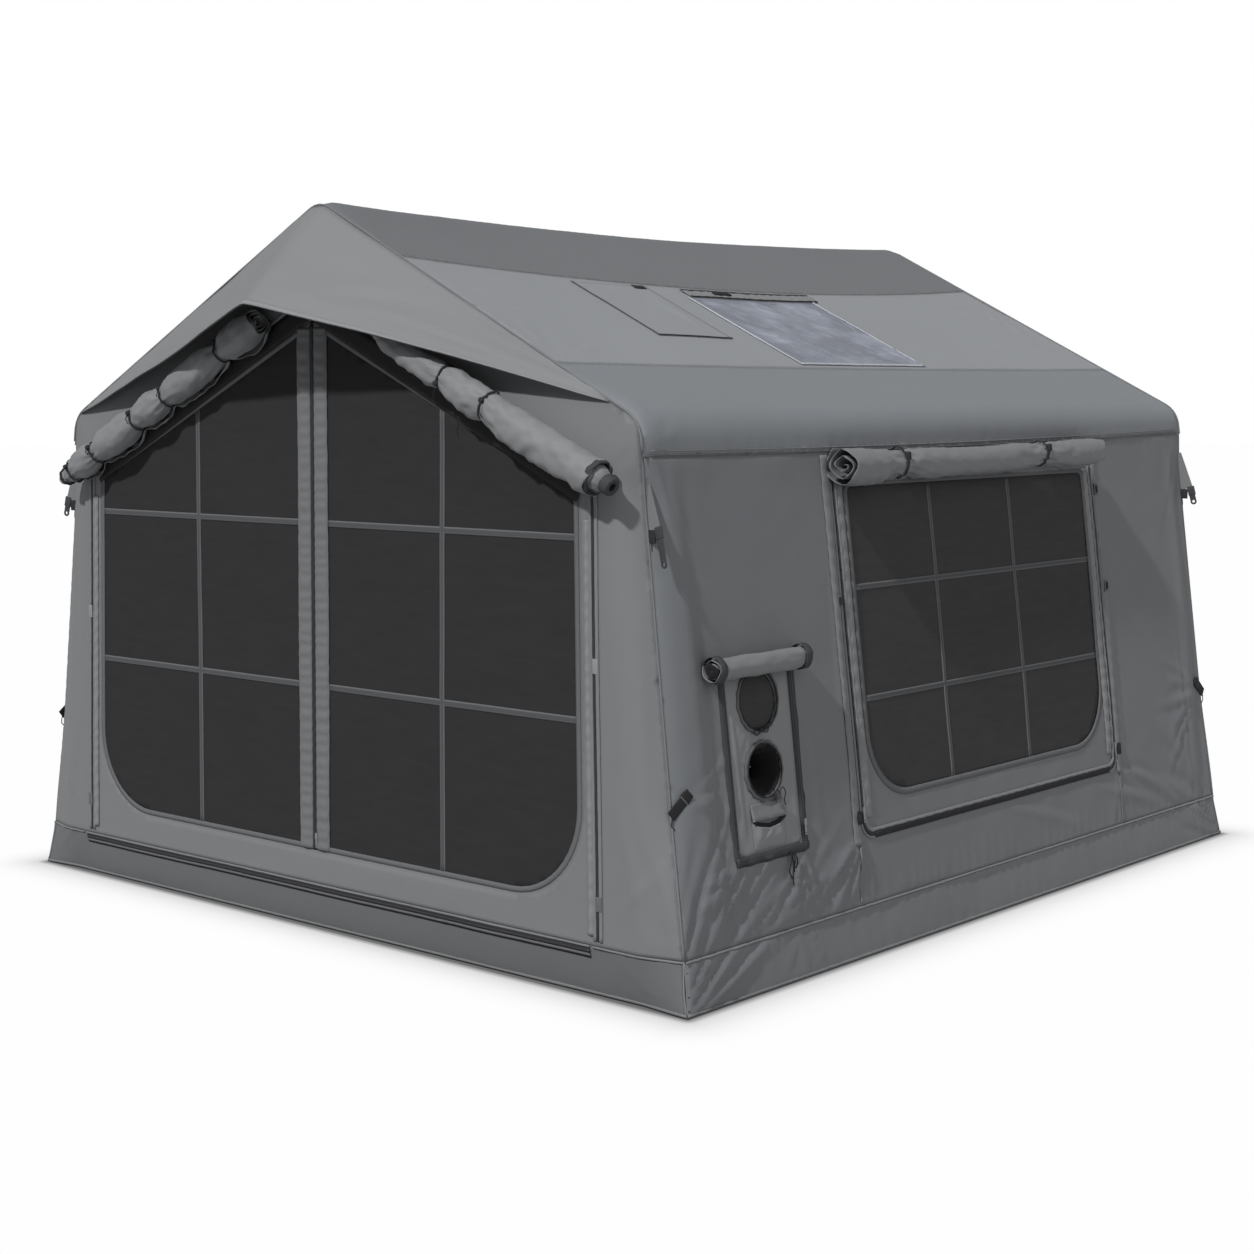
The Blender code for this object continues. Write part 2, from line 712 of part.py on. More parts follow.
def make_beams(shop):
    """Air beams: two arches on the ground sheet, and three beams saddled between them."""
    depth = CLOTH + BEAM_SLACK + BEAM_R
    lean_cos = math.cos(WALL_LEAN)
    foot_z = CLOTH + GAP
    leg_x = side_x(foot_z + BEAM_FOOT_LENGTH) - depth / lean_cos
    corner_x, corner_z = beam_corner(depth)
    apex_z = RIDGE_LINE_Z - depth / math.cos(ROOF_ANGLE)
    corners = [(leg_x, foot_z), (leg_x, foot_z + BEAM_FOOT_LENGTH), (corner_x, corner_z), (0.0, apex_z),
               (-corner_x, corner_z), (-leg_x, foot_z + BEAM_FOOT_LENGTH), (-leg_x, foot_z)]
    path = [corners[0], corners[1]]
    for i in (2, 3, 4):
        corner = Vector(corners[i])
        before = (Vector(corners[i - 1]) - corner).normalized()
        after = (Vector(corners[i + 1]) - corner).normalized()
        path += arc_between(corner, before, after, BEAM_BEND_R, BEAM_BEND_STEPS)
    path += [corners[5], corners[6]]
    cutters = []
    for end, y in (("front", -ARCH_Y), ("rear", ARCH_Y)):
        points = [(x, y, z) for x, z in path]
        mesh = tube_mesh(end + "_arch_beam", points, BEAM_R)
        shop.add(end + "_arch_beam", mesh, BEAM_SLEEVE, smooth=True)
        grown = tube_mesh(end + "_arch_clearance", points, BEAM_R + GAP)
        cutters.append(shop.add_cutter(end + "_arch_clearance", grown))
    ridge_z = max(z for x, z in path)
    spans = (("ridge_beam", 0.0, ridge_z, RIDGE_BEAM_R, ROOF_SAG),
             ("eave_beam_right", corner_x, corner_z, BEAM_R, 0.0),
             ("eave_beam_left", -corner_x, corner_z, BEAM_R, 0.0))
    for name, x, z, radius, sag in spans:
        stations = [-ARCH_Y + 2 * ARCH_Y * k / BEAM_STATIONS for k in range(BEAM_STATIONS + 1)]
        points = [(x, y, z - sag * (1 - (y / ARCH_Y) ** 2)) for y in stations]
        beam = shop.add(name, tube_mesh(name, points, radius), BEAM_SLEEVE, smooth=True)
        for cutter in cutters:
            shop.combine(beam, cutter, "DIFFERENCE")
    return cutters[0]


def beam_corner(depth):
    """Where the lines at one depth inside the slope and the side wall cross."""
    slope_z = RIDGE_LINE_Z - depth / math.cos(ROOF_ANGLE)
    wall_x = SIDE_FOOT_X - depth / math.cos(WALL_LEAN)
    wall_fall = math.tan(WALL_LEAN)
    roof_fall = math.tan(ROOF_ANGLE)
    x = (wall_x - wall_fall * slope_z) / (1 - wall_fall * roof_fall)
    return x, slope_z - roof_fall * x


def make_valve(shop, leg_cutter):
    """Inflation valve welded to the leg's inner side, with its tethered cap."""
    depth = CLOTH + BEAM_SLACK + BEAM_R
    face_x = side_x(VALVE_Z) - depth / math.cos(WALL_LEAN) - BEAM_R
    to_room = Matrix.Translation((face_x, -ARCH_Y, VALVE_Z)) @ Matrix.Rotation(-math.pi / 2, 4, "Y")
    flange_top = VALVE_FLANGE
    neck_top = flange_top + VALVE_NECK_LENGTH
    profile = [(0.0, -VALVE_BASE_DEPTH), (VALVE_BASE_R, -VALVE_BASE_DEPTH), (VALVE_BASE_R, flange_top),
               (VALVE_NECK_R, flange_top), (VALVE_NECK_R, neck_top), (VALVE_MOUTH_R, neck_top),
               (VALVE_MOUTH_R, neck_top - VALVE_MOUTH_DEPTH), (0.0, neck_top - VALVE_MOUTH_DEPTH)]
    body = turned_mesh("inflation_valve", profile, ROUND_STEPS)
    body.transform(to_room)
    valve = shop.add("inflation_valve", body, VALVE_PLASTIC, smooth=True)
    shop.combine(valve, leg_cutter, "DIFFERENCE")
    low = neck_top + GAP
    high = low + CAP_DEPTH
    ear_half = CAP_EAR_WIDTH / 2
    ear_turn = math.asin(ear_half / CAP_R)
    outline = [(CAP_R * math.cos(turn), CAP_R * math.sin(turn)) for turn in
               (ear_turn + (math.tau - 2 * ear_turn) * k / ROUND_STEPS for k in range(ROUND_STEPS + 1))]
    outline += [(CAP_R + CAP_EAR_REACH, -ear_half), (CAP_R + CAP_EAR_REACH, ear_half)]
    cap = outline_mesh("valve_cap", outline, (), CAP_DEPTH)
    cap.transform(to_room @ Matrix.Translation((0, 0, (low + high) / 2)))
    shop.pivot("valve_cap_pivot", to_room @ Vector((CAP_R + CAP_EAR_REACH, 0, high)))
    shop.add("valve_cap", cap, VALVE_PLASTIC, pivot="valve_cap_pivot")


def make_ground_sheet(shop):
    """Flat floor that the whole tent stands on, inside the skirt."""
    half_x = SIDE_FOOT_X - CLOTH / math.cos(WALL_LEAN) - GAP
    half_y = END_FOOT_Y - CLOTH - GAP
    build = bmesh.new()
    bmesh.ops.create_cube(build, size=1.0)
    for vertex in build.verts:
        vertex.co = Vector((vertex.co.x * 2 * half_x, vertex.co.y * 2 * half_y,
                            (vertex.co.z + 0.5) * CLOTH))
    shop.add("groundsheet", close_mesh(build, "groundsheet"), GROUND_CLOTH)


def make_skirt(shop):
    """Four skirt panels from the ground to the lower seam."""
    top = SKIRT_TOP_Z - GAP
    edge_top = side_x(top) - CLOTH / math.cos(WALL_LEAN) - GAP
    edge_foot = side_x(0.0) - CLOTH / math.cos(WALL_LEAN) - GAP
    ramp_x = side_x(SKIRT_TOP_Z) - BOW_SIDE_RAMP
    shares = (-1, -1, 1, 1)

    def front_place(i, j):
        z = top * j
        edge = edge_foot + (edge_top - edge_foot) * j
        x = shares[i] * (edge if i in (0, 3) else ramp_x)
        return on_front_skirt(x, z, 0.0)

    def rear_place(i, j):
        z = top * j
        edge = edge_foot + (edge_top - edge_foot) * j
        return Vector((edge * (1 - 2 * i), end_y(z) + HEM_FLARE_END * (1 - j), z))

    def side_place(i, j):
        z = top * j
        y = (2 * i - 1) * (end_y(z) + HEM_FLARE_END * (1 - j))
        return Vector((side_x(z) + HEM_FLARE_SIDE * (1 - j), y, z))

    front = shop.add("skirt_front", grid_sheet_mesh("skirt_front", 3, 1, front_place), OXFORD_DARK)
    rear = shop.add("skirt_rear", grid_sheet_mesh("skirt_rear", 1, 1, rear_place), OXFORD_DARK)
    right = shop.add("skirt_right", grid_sheet_mesh("skirt_right", 1, 1, side_place), OXFORD_DARK)
    left_mesh = grid_sheet_mesh("skirt_left", 1, 1, lambda i, j: side_place(1 - i, j) * Vector((-1, 1, 1)))
    left = shop.add("skirt_left", left_mesh, OXFORD_DARK)
    for panel in (front, rear, right, left):
        thicken(panel, CLOTH, outward=False)


def make_end_walls(shop):
    """Front wall with the door opening, and the plain rear wall."""
    depth = CLOTH + GAP
    low_z = SKIRT_TOP_Z + GAP
    outline = section_outline(depth, low_z)
    door = rounded(door_corners(), (DOOR_CORNER_R, DOOR_CORNER_R, 0, 0, 0))
    flat = outline_mesh("front_wall", outline, (door,), CLOTH)
    front = lay(cut_bow_lines(flat), lambda a, b, c: on_front(a, b, c - CLOTH / 2))
    shop.add("front_wall", front, OXFORD_GREY)
    shop.add("rear_wall", sheet_mesh("rear_wall", on_rear, outline, -CLOTH, 0.0), OXFORD_GREY)


def cut_bow_lines(mesh):
    """Split a front panel along the lines where the wall's bow starts, so that it bends there."""
    build = bmesh.new()
    build.from_mesh(mesh)
    fall = math.tan(WALL_LEAN)
    pitch = math.tan(ROOF_ANGLE)
    for side in (-1, 1):
        ramp_foot = Vector((side * (SIDE_FOOT_X - BOW_SIDE_RAMP), 0, 0))
        ramp_top = Vector((0, RIDGE_LINE_Z - BOW_TOP_RAMP, 0))
        meeting = BOW_SIDE_RAMP / BOW_TOP_RAMP
        planes = ((ramp_foot, Vector((side, fall, 0))),
                  (ramp_top, Vector((side * pitch, 1, 0))),
                  (Vector((side * KNEE_X, KNEE_Z, 0)),
                   Vector((side * (1 - meeting * pitch), fall - meeting, 0))))
        for place, normal in planes:
            geometry = list(build.verts) + list(build.edges) + list(build.faces)
            bmesh.ops.bisect_plane(build, geom=geometry, plane_co=place, plane_no=normal, dist=GAP / 10)
    bmesh.ops.triangulate(build, faces=build.faces)
    build.to_mesh(mesh)
    build.free()
    return mesh


def door_corners():
    """Five corners of the door opening, anticlockwise from the lower left."""
    foot_x = door_half_width(DOOR_SILL_Z)
    return [(-foot_x, DOOR_SILL_Z), (foot_x, DOOR_SILL_Z), (DOOR_SHOULDER_X, DOOR_SHOULDER_Z),
            (0.0, DOOR_APEX_Z), (-DOOR_SHOULDER_X, DOOR_SHOULDER_Z)]


def door_half_width(z):
    """Half-width of the door opening below its shoulders."""
    return DOOR_FOOT_X - (DOOR_FOOT_X - DOOR_SHOULDER_X) * z / DOOR_SHOULDER_Z


def make_side_walls(shop):
    """Left wall with a window opening, right wall with a window and a utility port opening."""
    low = SKIRT_TOP_Z + GAP
    high = EAVE_SEAM_Z - GAP
    window = rounded(window_corners(), window_radii())
    port = rounded(port_corners(), (PORT_CORNER_R,) * 4)
    tab_low = SKIRT_TOP_Z + GUY_TAB_RISE
    tab_high = tab_low + GUY_TAB_HEIGHT
    outline = [(-end_y(low), low), (end_y(low), low)]
    outline += [(end_y(tab_low), tab_low), (end_y(tab_low) + GUY_TAB_REACH, tab_low),
                (end_y(tab_low) + GUY_TAB_REACH, tab_high), (end_y(tab_high), tab_high)]
    rear_side = outline[1:]
    upper = [(end_y(high), high), (-end_y(high), high)]
    front_side = [(-y, z) for y, z in reversed(rear_side)]
    shape = rear_side + upper + front_side
    for name, surface, holes in (("right_wall", on_right, (window, port)), ("left_wall", on_left, (window,))):
        shop.add(name, sheet_mesh(name, surface, shape, -CLOTH, 0.0, holes), OXFORD_GREY)


def window_corners():
    """Corners of a side window's mesh opening."""
    return [(WINDOW_FRONT_Y, WINDOW_LOW_Z), (WINDOW_REAR_Y, WINDOW_LOW_Z),
            (WINDOW_REAR_Y, WINDOW_HIGH_Z), (WINDOW_FRONT_Y, WINDOW_HIGH_Z)]


def window_radii(change=0.0):
    """Radii of a side window's corners, grown by a change of size."""
    low = WINDOW_CORNER_R + change
    high = WINDOW_TOP_R + change
    return low, low, high, high


def port_corners():
    """Corners of the utility port's opening."""
    return [(PORT_FRONT_Y, PORT_LOW_Z), (PORT_REAR_Y, PORT_LOW_Z), (PORT_REAR_Y, PORT_HIGH_Z),
            (PORT_FRONT_Y, PORT_HIGH_Z)]


def roof_grid(name, columns, y_share_low=-1.0, y_share_high=1.0):
    """Open sheet of the roof: columns(y) lists the distances from the ridge at each station."""
    count = len(columns(0.0)) - 1

    def place(i, j):
        share = y_share_low + (y_share_high - y_share_low) * j / ROOF_STATIONS
        guess = END_TOP_Y * share
        s = columns(guess)[i]
        z = section_point(abs(s))[1]
        return on_roof(s, end_y(z) * share)

    return grid_sheet_mesh(name, count, ROOF_STATIONS, place)


def make_roof(shop):
    """Ridge panel, two middle panels and two eave panels, seam to seam."""
    def ridge(y):
        edge = ridge_seam_s(y) - GAP / 2
        half = [RIDGE_ARC * k / RIDGE_STEPS for k in range(1, RIDGE_STEPS + 1)] + [edge]
        return [-s for s in reversed(half)] + [0.0] + half

    def middle(y):
        return [ridge_seam_s(y) + GAP / 2, slope_s(EAVE_SEAM_X) - GAP / 2]

    def eave(y):
        arc = [KNEE_START + (KNEE_END - KNEE_START) * k / KNEE_STEPS for k in range(KNEE_STEPS + 1)]
        return [slope_s(EAVE_SEAM_X) + GAP / 2] + arc + [EAVE_SEAM_S]

    def mirrored(columns):
        return lambda y: [-s for s in reversed(columns(y))]

    names = (("roof_ridge", ridge, OXFORD_DARK), ("roof_mid_right", middle, OXFORD_PALE),
             ("roof_mid_left", mirrored(middle), OXFORD_PALE), ("roof_eave_right", eave, OXFORD_DARK),
             ("roof_eave_left", mirrored(eave), OXFORD_DARK))
    for name, columns, look in names:
        panel = shop.add(name, roof_grid(name, columns), look)
        thicken(panel, CLOTH, outward=False)
        if name == "roof_mid_right":
            for cutter in roof_cutters(shop):
                shop.combine(panel, cutter, "DIFFERENCE")


def roof_cutters(shop):
    """Blocks that cut the openings of the roof window and of the stove patch."""
    lap = SKYLIGHT_LAP
    windows = (("skylight_opening", SKYLIGHT_HIGH_X + lap, SKYLIGHT_LOW_X - lap,
                SKYLIGHT_FRONT_Y + lap, SKYLIGHT_REAR_Y - lap),
               ("stove_opening", FLAP_HIGH_X + PATCH_MARGIN, FLAP_LOW_X - PATCH_MARGIN,
                FLAP_FRONT_Y + PATCH_MARGIN, FLAP_REAR_Y - PATCH_MARGIN))
    cutters = []
    for name, high_x, low_x, front_y, rear_y in windows:
        build = bmesh.new()
        bmesh.ops.create_cube(build, size=1.0)
        for vertex in build.verts:
            s = slope_s(high_x if vertex.co.x < 0 else low_x)
            y = front_y if vertex.co.y < 0 else rear_y
            vertex.co = on_roof(s, y, OVERRUN if vertex.co.z > 0 else -OVERRUN)
        cutters.append(shop.add_cutter(name, close_mesh(build, name)))
    return cutters


def roof_patch(name, high_x, low_x, front_y, rear_y, rise, columns=1):
    """Rectangular sheet that follows the roof's sag at a height above it."""
    stations = ROOF_STATIONS

    def place(i, j):
        s = slope_s(high_x + (low_x - high_x) * i / columns)
        return on_roof(s, front_y + (rear_y - front_y) * j / stations, rise)

    return grid_sheet_mesh(name, columns, stations, place)


def make_roof_fittings(shop):
    """Roof window with its zip band, stove patch below the cloth and its hinged rain flap."""
    front_y = SKYLIGHT_FRONT_Y
    rear_y = SKYLIGHT_REAR_Y
    shift = SKYLIGHT_ZIP_SHIFT
    skylight = roof_patch("skylight", SKYLIGHT_HIGH_X, SKYLIGHT_LOW_X, front_y, rear_y, PATCH_RISE)
    thicken(shop.add("skylight", skylight, CLEAR_VINYL), TRIM, outward=True)
    zip_band = roof_patch("skylight_zip", SKYLIGHT_HIGH_X - SKYLIGHT_ZIP_REACH, SKYLIGHT_HIGH_X - GAP,
                          front_y + shift, rear_y + shift, PATCH_RISE)
    thicken(shop.add("skylight_zip", zip_band, ZIP_BLACK), TRIM, outward=True)
    margin = PATCH_MARGIN / 2
    patch = roof_patch("stove_patch", FLAP_HIGH_X + margin, FLAP_LOW_X - margin, FLAP_FRONT_Y + margin,
                       FLAP_REAR_Y - margin, -CLOTH - PATCH_RISE)
    thicken(shop.add("stove_patch", patch, HEAT_CLOTH), TRIM, outward=False)
    flap = roof_patch("stove_flap", FLAP_HIGH_X, FLAP_LOW_X, FLAP_FRONT_Y, FLAP_REAR_Y, PATCH_RISE)
    hinge = on_roof(slope_s(FLAP_HIGH_X), FLAP_FRONT_Y, PATCH_RISE + TRIM)
    shop.pivot("stove_flap_pivot", hinge)
    thicken(shop.add("stove_flap", flap, OXFORD_PALE, pivot="stove_flap_pivot"), TRIM, outward=True)


def make_hood(shop):
    """Hood sewn to the roof's front edge: two triangles from the eaves to a forward tip."""
    end_s = slope_s(KNEE_X - HOOD_END_MARGIN)
    tip = Vector((0.0, -END_TOP_Y - HOOD_REACH, RIDGE_LINE_Z - HOOD_TIP_DROP))

    def place(i, j):
        share = 1 - 2 * i / HOOD_ACROSS_STEPS
        s = end_s * share * abs(share) ** HOOD_CROWD_SHARE
        x, z = section_point(abs(s))
        sewn = Vector((math.copysign(x, share), -end_y(z) - HOOD_SEAM_GAP, z))
        end_x, end_z = section_point(end_s)
        end = Vector((math.copysign(end_x, share), -end_y(end_z) - HOOD_END_REACH, end_z - HOOD_END_DROP))
        free = tip.lerp(end, abs(s) / end_s)
        return sewn.lerp(free, j / HOOD_DOWN_STEPS)

    hood = shop.add("hood", grid_sheet_mesh("hood", HOOD_ACROSS_STEPS, HOOD_DOWN_STEPS, place), OXFORD_GREY)
    thicken(hood, CLOTH, outward=True)


def make_door(shop):
    """Two mesh leaves hung on the outer edges of the opening, with webbing, zip bands and a slider."""
    net_low = -CLOTH
    net_high = net_low + NET
    bar_low = net_high + GAP
    bar_high = bar_low + TRIM
    corners = leaf_corners()
    edge = 2 * GAP
    net = leaf_outline(corners, edge, 0)
    lace = leaf_outline(corners, 2 * edge, edge)
    field = leaf_outline(corners, LEAF_FRAME, LEAF_BAND_WIDTH)
    rails = [DOOR_SILL_Z + (DOOR_SHOULDER_Z - DOOR_SILL_Z) * share for share in LEAF_RAIL_SHARES]
    cells = lattice_cells(field, (DOOR_FOOT_X * LEAF_POST_SHARE,), rails, WEBBING)
    for side, mirror in (("right", 1), ("left", -1)):
        def surface(a, b, c, mirror=mirror):
            point = on_front(a, b, c)
            return Vector((mirror * point.x, point.y, point.z))

        pivot = "door_leaf_" + side + "_pivot"
        foot_x = door_half_width(DOOR_SILL_Z)
        shop.pivot(pivot, surface(foot_x, DOOR_SILL_Z, net_low))
        mesh = sheet_mesh("door_mesh_" + side, surface, net, net_low, net_high)
        shop.add("door_mesh_" + side, mesh, NET_BLACK, pivot=pivot)
        bars = sheet_mesh("door_bars_" + side, surface, lace, bar_low, bar_high, cells)
        shop.add("door_bars_" + side, bars, WEBBING_GREY, pivot=pivot)
    slider_x = DOOR_SLIDER_INSET + SLIDER_WIDTH / 2
    slider_z = DOOR_SILL_Z + DOOR_SLIDER_RISE
    shop.pivot("door_slider_pivot", on_front(slider_x, slider_z, bar_high + GAP))
    mesh = slider_mesh("door_zip_slider")
    mesh.transform(frame_on(on_front, slider_x, slider_z, bar_high + GAP))
    shop.add("door_zip_slider", mesh, ZIP_METAL, pivot="door_slider_pivot")


def leaf_corners():
    """Right leaf from the parting line outward: foot, outer foot, shoulder and apex."""
    half = LEAF_PARTING / 2
    foot, shoulder, apex = door_corners()[1:4]
    fall = (apex[1] - shoulder[1]) / shoulder[0]
    return [(half, DOOR_SILL_Z), foot, shoulder, (half, DOOR_APEX_Z - fall * half)]


def leaf_outline(corners, edge, parting):
    """Outline of a leaf drawn in by one distance round its edge and another at the parting line."""
    return rounded(inset(corners, (edge, edge, edge, parting)), (0, DOOR_CORNER_R - edge, 0, 0))


def frame_on(surface, a, b, rise):
    """Matrix that stands a piece drawn in XY on a surface, its Y up the surface."""
    origin = surface(a, b, rise)
    up = (surface(a, b + OVERRUN, rise) - origin).normalized()
    out = (surface(a, b, rise + OVERRUN) - origin).normalized()
    out = (out - up * out.dot(up)).normalized()
    across = up.cross(out)
    matrix = Matrix((across, up, out)).transposed().to_4x4()
    matrix.translation = origin
    return matrix


def slider_mesh(name):
    """Zip slider with its hanging pull, drawn in XY with its back on Z = 0."""
    half = SLIDER_WIDTH / 2
    body = [(-half, -SLIDER_LENGTH / 2), (half, -SLIDER_LENGTH / 2), (half, SLIDER_LENGTH / 2),
            (-half, SLIDER_LENGTH / 2)]
    body = rounded(body, (half / 2,) * 4, SLIDER_CORNER_STEPS)
    body_mesh = outline_mesh(name + "_body", body, (), SLIDER_THICKNESS)
    body_mesh.transform(Matrix.Translation((0, 0, SLIDER_THICKNESS / 2)))
    pull_half = PULL_WIDTH / 2
    low = -PULL_LENGTH
    pull = rounded([(-pull_half, low), (pull_half, low), (pull_half, 0), (-pull_half, 0)],
                   (pull_half / 2, pull_half / 2, 0, 0), SLIDER_CORNER_STEPS)
    hole = circle((0, low + PULL_HOLE_INSET), PULL_HOLE_R, SMALL_HOLE_STEPS)
    pull_mesh = outline_mesh(name + "_pull", pull, (hole,), PULL_THICKNESS)
    pull_mesh.transform(Matrix.Translation((0, 0, SLIDER_THICKNESS - PULL_THICKNESS)))
    return unite(name, body_mesh, pull_mesh)


def unite(name, first, second):
    """Exact union of two closed meshes as a new mesh."""
    holders = [bpy.data.objects.new(name + "_tool", mesh) for mesh in (first, second)]
    for holder in holders:
        bpy.context.scene.collection.objects.link(holder)
    modifier = holders[0].modifiers.new("union", "BOOLEAN")
    modifier.operation = "UNION"
    modifier.object = holders[1]
    modifier.solver = "EXACT"
    bpy.context.view_layer.update()
    evaluated = holders[0].evaluated_get(bpy.context.evaluated_depsgraph_get())
    joined = bpy.data.meshes.new_from_object(evaluated)
    joined.name = name
    for holder in holders:
        bpy.data.objects.remove(holder, do_unlink=True)
    return joined


def make_door_zips(shop):
    """Zip tracks of the rolled outer door: up both sides and under the gable, and along the foot."""
    shoulder_z = roof_line_z(SIDE_ZIP_SHOULDER_X) - SIDE_ZIP_SHOULDER_DROP
    path = [(SIDE_ZIP_FOOT_X, SKIRT_TOP_Z + SIDE_ZIP_FOOT_RISE), (SIDE_ZIP_SHOULDER_X, shoulder_z),
            (SIDE_ZIP_TOP_X, roof_line_z(SIDE_ZIP_TOP_X) - SIDE_ZIP_TOP_DROP)]
    for side, mirror in (("right", 1), ("left", -1)):
        def surface(a, b, c, mirror=mirror):
            point = on_front(a, b, c)
            return Vector((mirror * point.x, point.y, point.z))

        name = "door_side_zip_" + side
        flat = cut_bow_lines(outline_mesh(name, band(path, SIDE_ZIP_WIDTH), (), TRIM))
        track = lay(flat, lambda a, b, c: surface(a, b, c + GAP + TRIM / 2))
        shop.add(name, track, ZIP_BLACK)
    left_x = -SIDE_FOOT_X + BOTTOM_ZIP_LEFT_MARGIN
    right_x = SIDE_FOOT_X - BOTTOM_ZIP_RIGHT_MARGIN
    high_z = SKIRT_TOP_Z - BOTTOM_ZIP_DROP
    low_z = high_z - BOTTOM_ZIP_WIDTH
    foot = [(left_x, low_z), (right_x, low_z), (right_x, high_z), (left_x, high_z)]
    mesh = sheet_mesh("door_bottom_zip", on_front_skirt, foot, GAP, GAP + TRIM)
    shop.add("door_bottom_zip", mesh, ZIP_BLACK)


def roll_profile(length, tie_shares):
    """Turned profile of a tied roll: bulges between waists, a bound rim and a hollow core end."""
    tie = ROLL_TIE_WIDTH / 2
    profile = [(0.0, 0.0), (ROLL_END_R, 0.0)]
    marks = [0.0] + [share * length for share in tie_shares] + [length]
    for k, (low, high) in enumerate(zip(marks, marks[1:])):
        if k:
            profile += [(ROLL_TIE_R, low - tie), (ROLL_TIE_R, low + tie)]
            profile.append((ROLL_WAIST_R, low + tie))
        span = high - low
        profile.append((ROLL_R, low + span * ROLL_SWELL_SHARE))
        profile.append((ROLL_BULGE_R, low + span * ROLL_BULGE_SHARE))
        if k + 2 < len(marks):
            profile.append((ROLL_WAIST_R, high - tie))
    rim = length - ROLL_RIM_WIDTH
    profile += [(ROLL_R, rim), (ROLL_RIM_R, rim), (ROLL_RIM_R, length)]
    tip = length + ROLL_CORE_REACH
    profile += [(ROLL_CORE_R, length), (ROLL_CORE_R, tip), (ROLL_CORE_BORE, tip)]
    profile += [(ROLL_CORE_BORE, tip - ROLL_CORE_BORE_DEPTH), (0.0, tip - ROLL_CORE_BORE_DEPTH)]
    return profile


def make_door_rolls(shop):
    """Outer door panels rolled and tied below the gable slopes."""
    for side, mirror, shares in (("right", 1, RIGHT_TIE_SHARES), ("left", -1, LEFT_TIE_SHARES)):
        top = on_front(ROLL_TOP_X, roof_line_z(ROLL_TOP_X) - ROLL_TOP_DROP, ROLL_STAND_OFF)
        low = on_front(ROLL_LOW_X, roof_line_z(ROLL_LOW_X) - ROLL_LOW_DROP, ROLL_STAND_OFF)
        way = low - top
        name = "door_roll_" + side
        mesh = turned_mesh(name, roll_profile(way.length, shares), ROLL_ROUND_STEPS)
        mesh.transform(Matrix.Translation(top) @ way.to_track_quat("Z", "Y").to_matrix().to_4x4())
        if mirror < 0:
            mesh.transform(Matrix.Scale(-1, 4, (1, 0, 0)))
            mesh.flip_normals()
        shop.add(name, mesh, OXFORD_GREY, smooth=True)


def cloth_roll(name, surface, front, rear, z, rise, radius, core, ring_spans):
    """Rolled cover lying along a side wall, with rings round it at the given spans."""
    strip = spiral_outline(radius, core, ROLL_LAYER, ROLL_PITCH, SPIRAL_STEPS)
    mesh = outline_mesh(name, strip, (), rear - front)
    for low, high in ring_spans:
        outer = circle((0, 0), radius + TIE_THICKNESS, 2 * SPIRAL_STEPS)
        inner = circle((0, 0), radius - ROLL_LAYER / 2, 2 * SPIRAL_STEPS)
        ring = outline_mesh(name + "_ring", outer, (inner,), high - low)
        ring.transform(Matrix.Translation((0, 0, (low + high) / 2 - (front + rear) / 2)))
        mesh = unite(name, mesh, ring)
    centre = surface((front + rear) / 2, z, rise)
    mesh.transform(Matrix.Translation(centre) @ Matrix.Rotation(-math.pi / 2, 4, "X"))
    return mesh


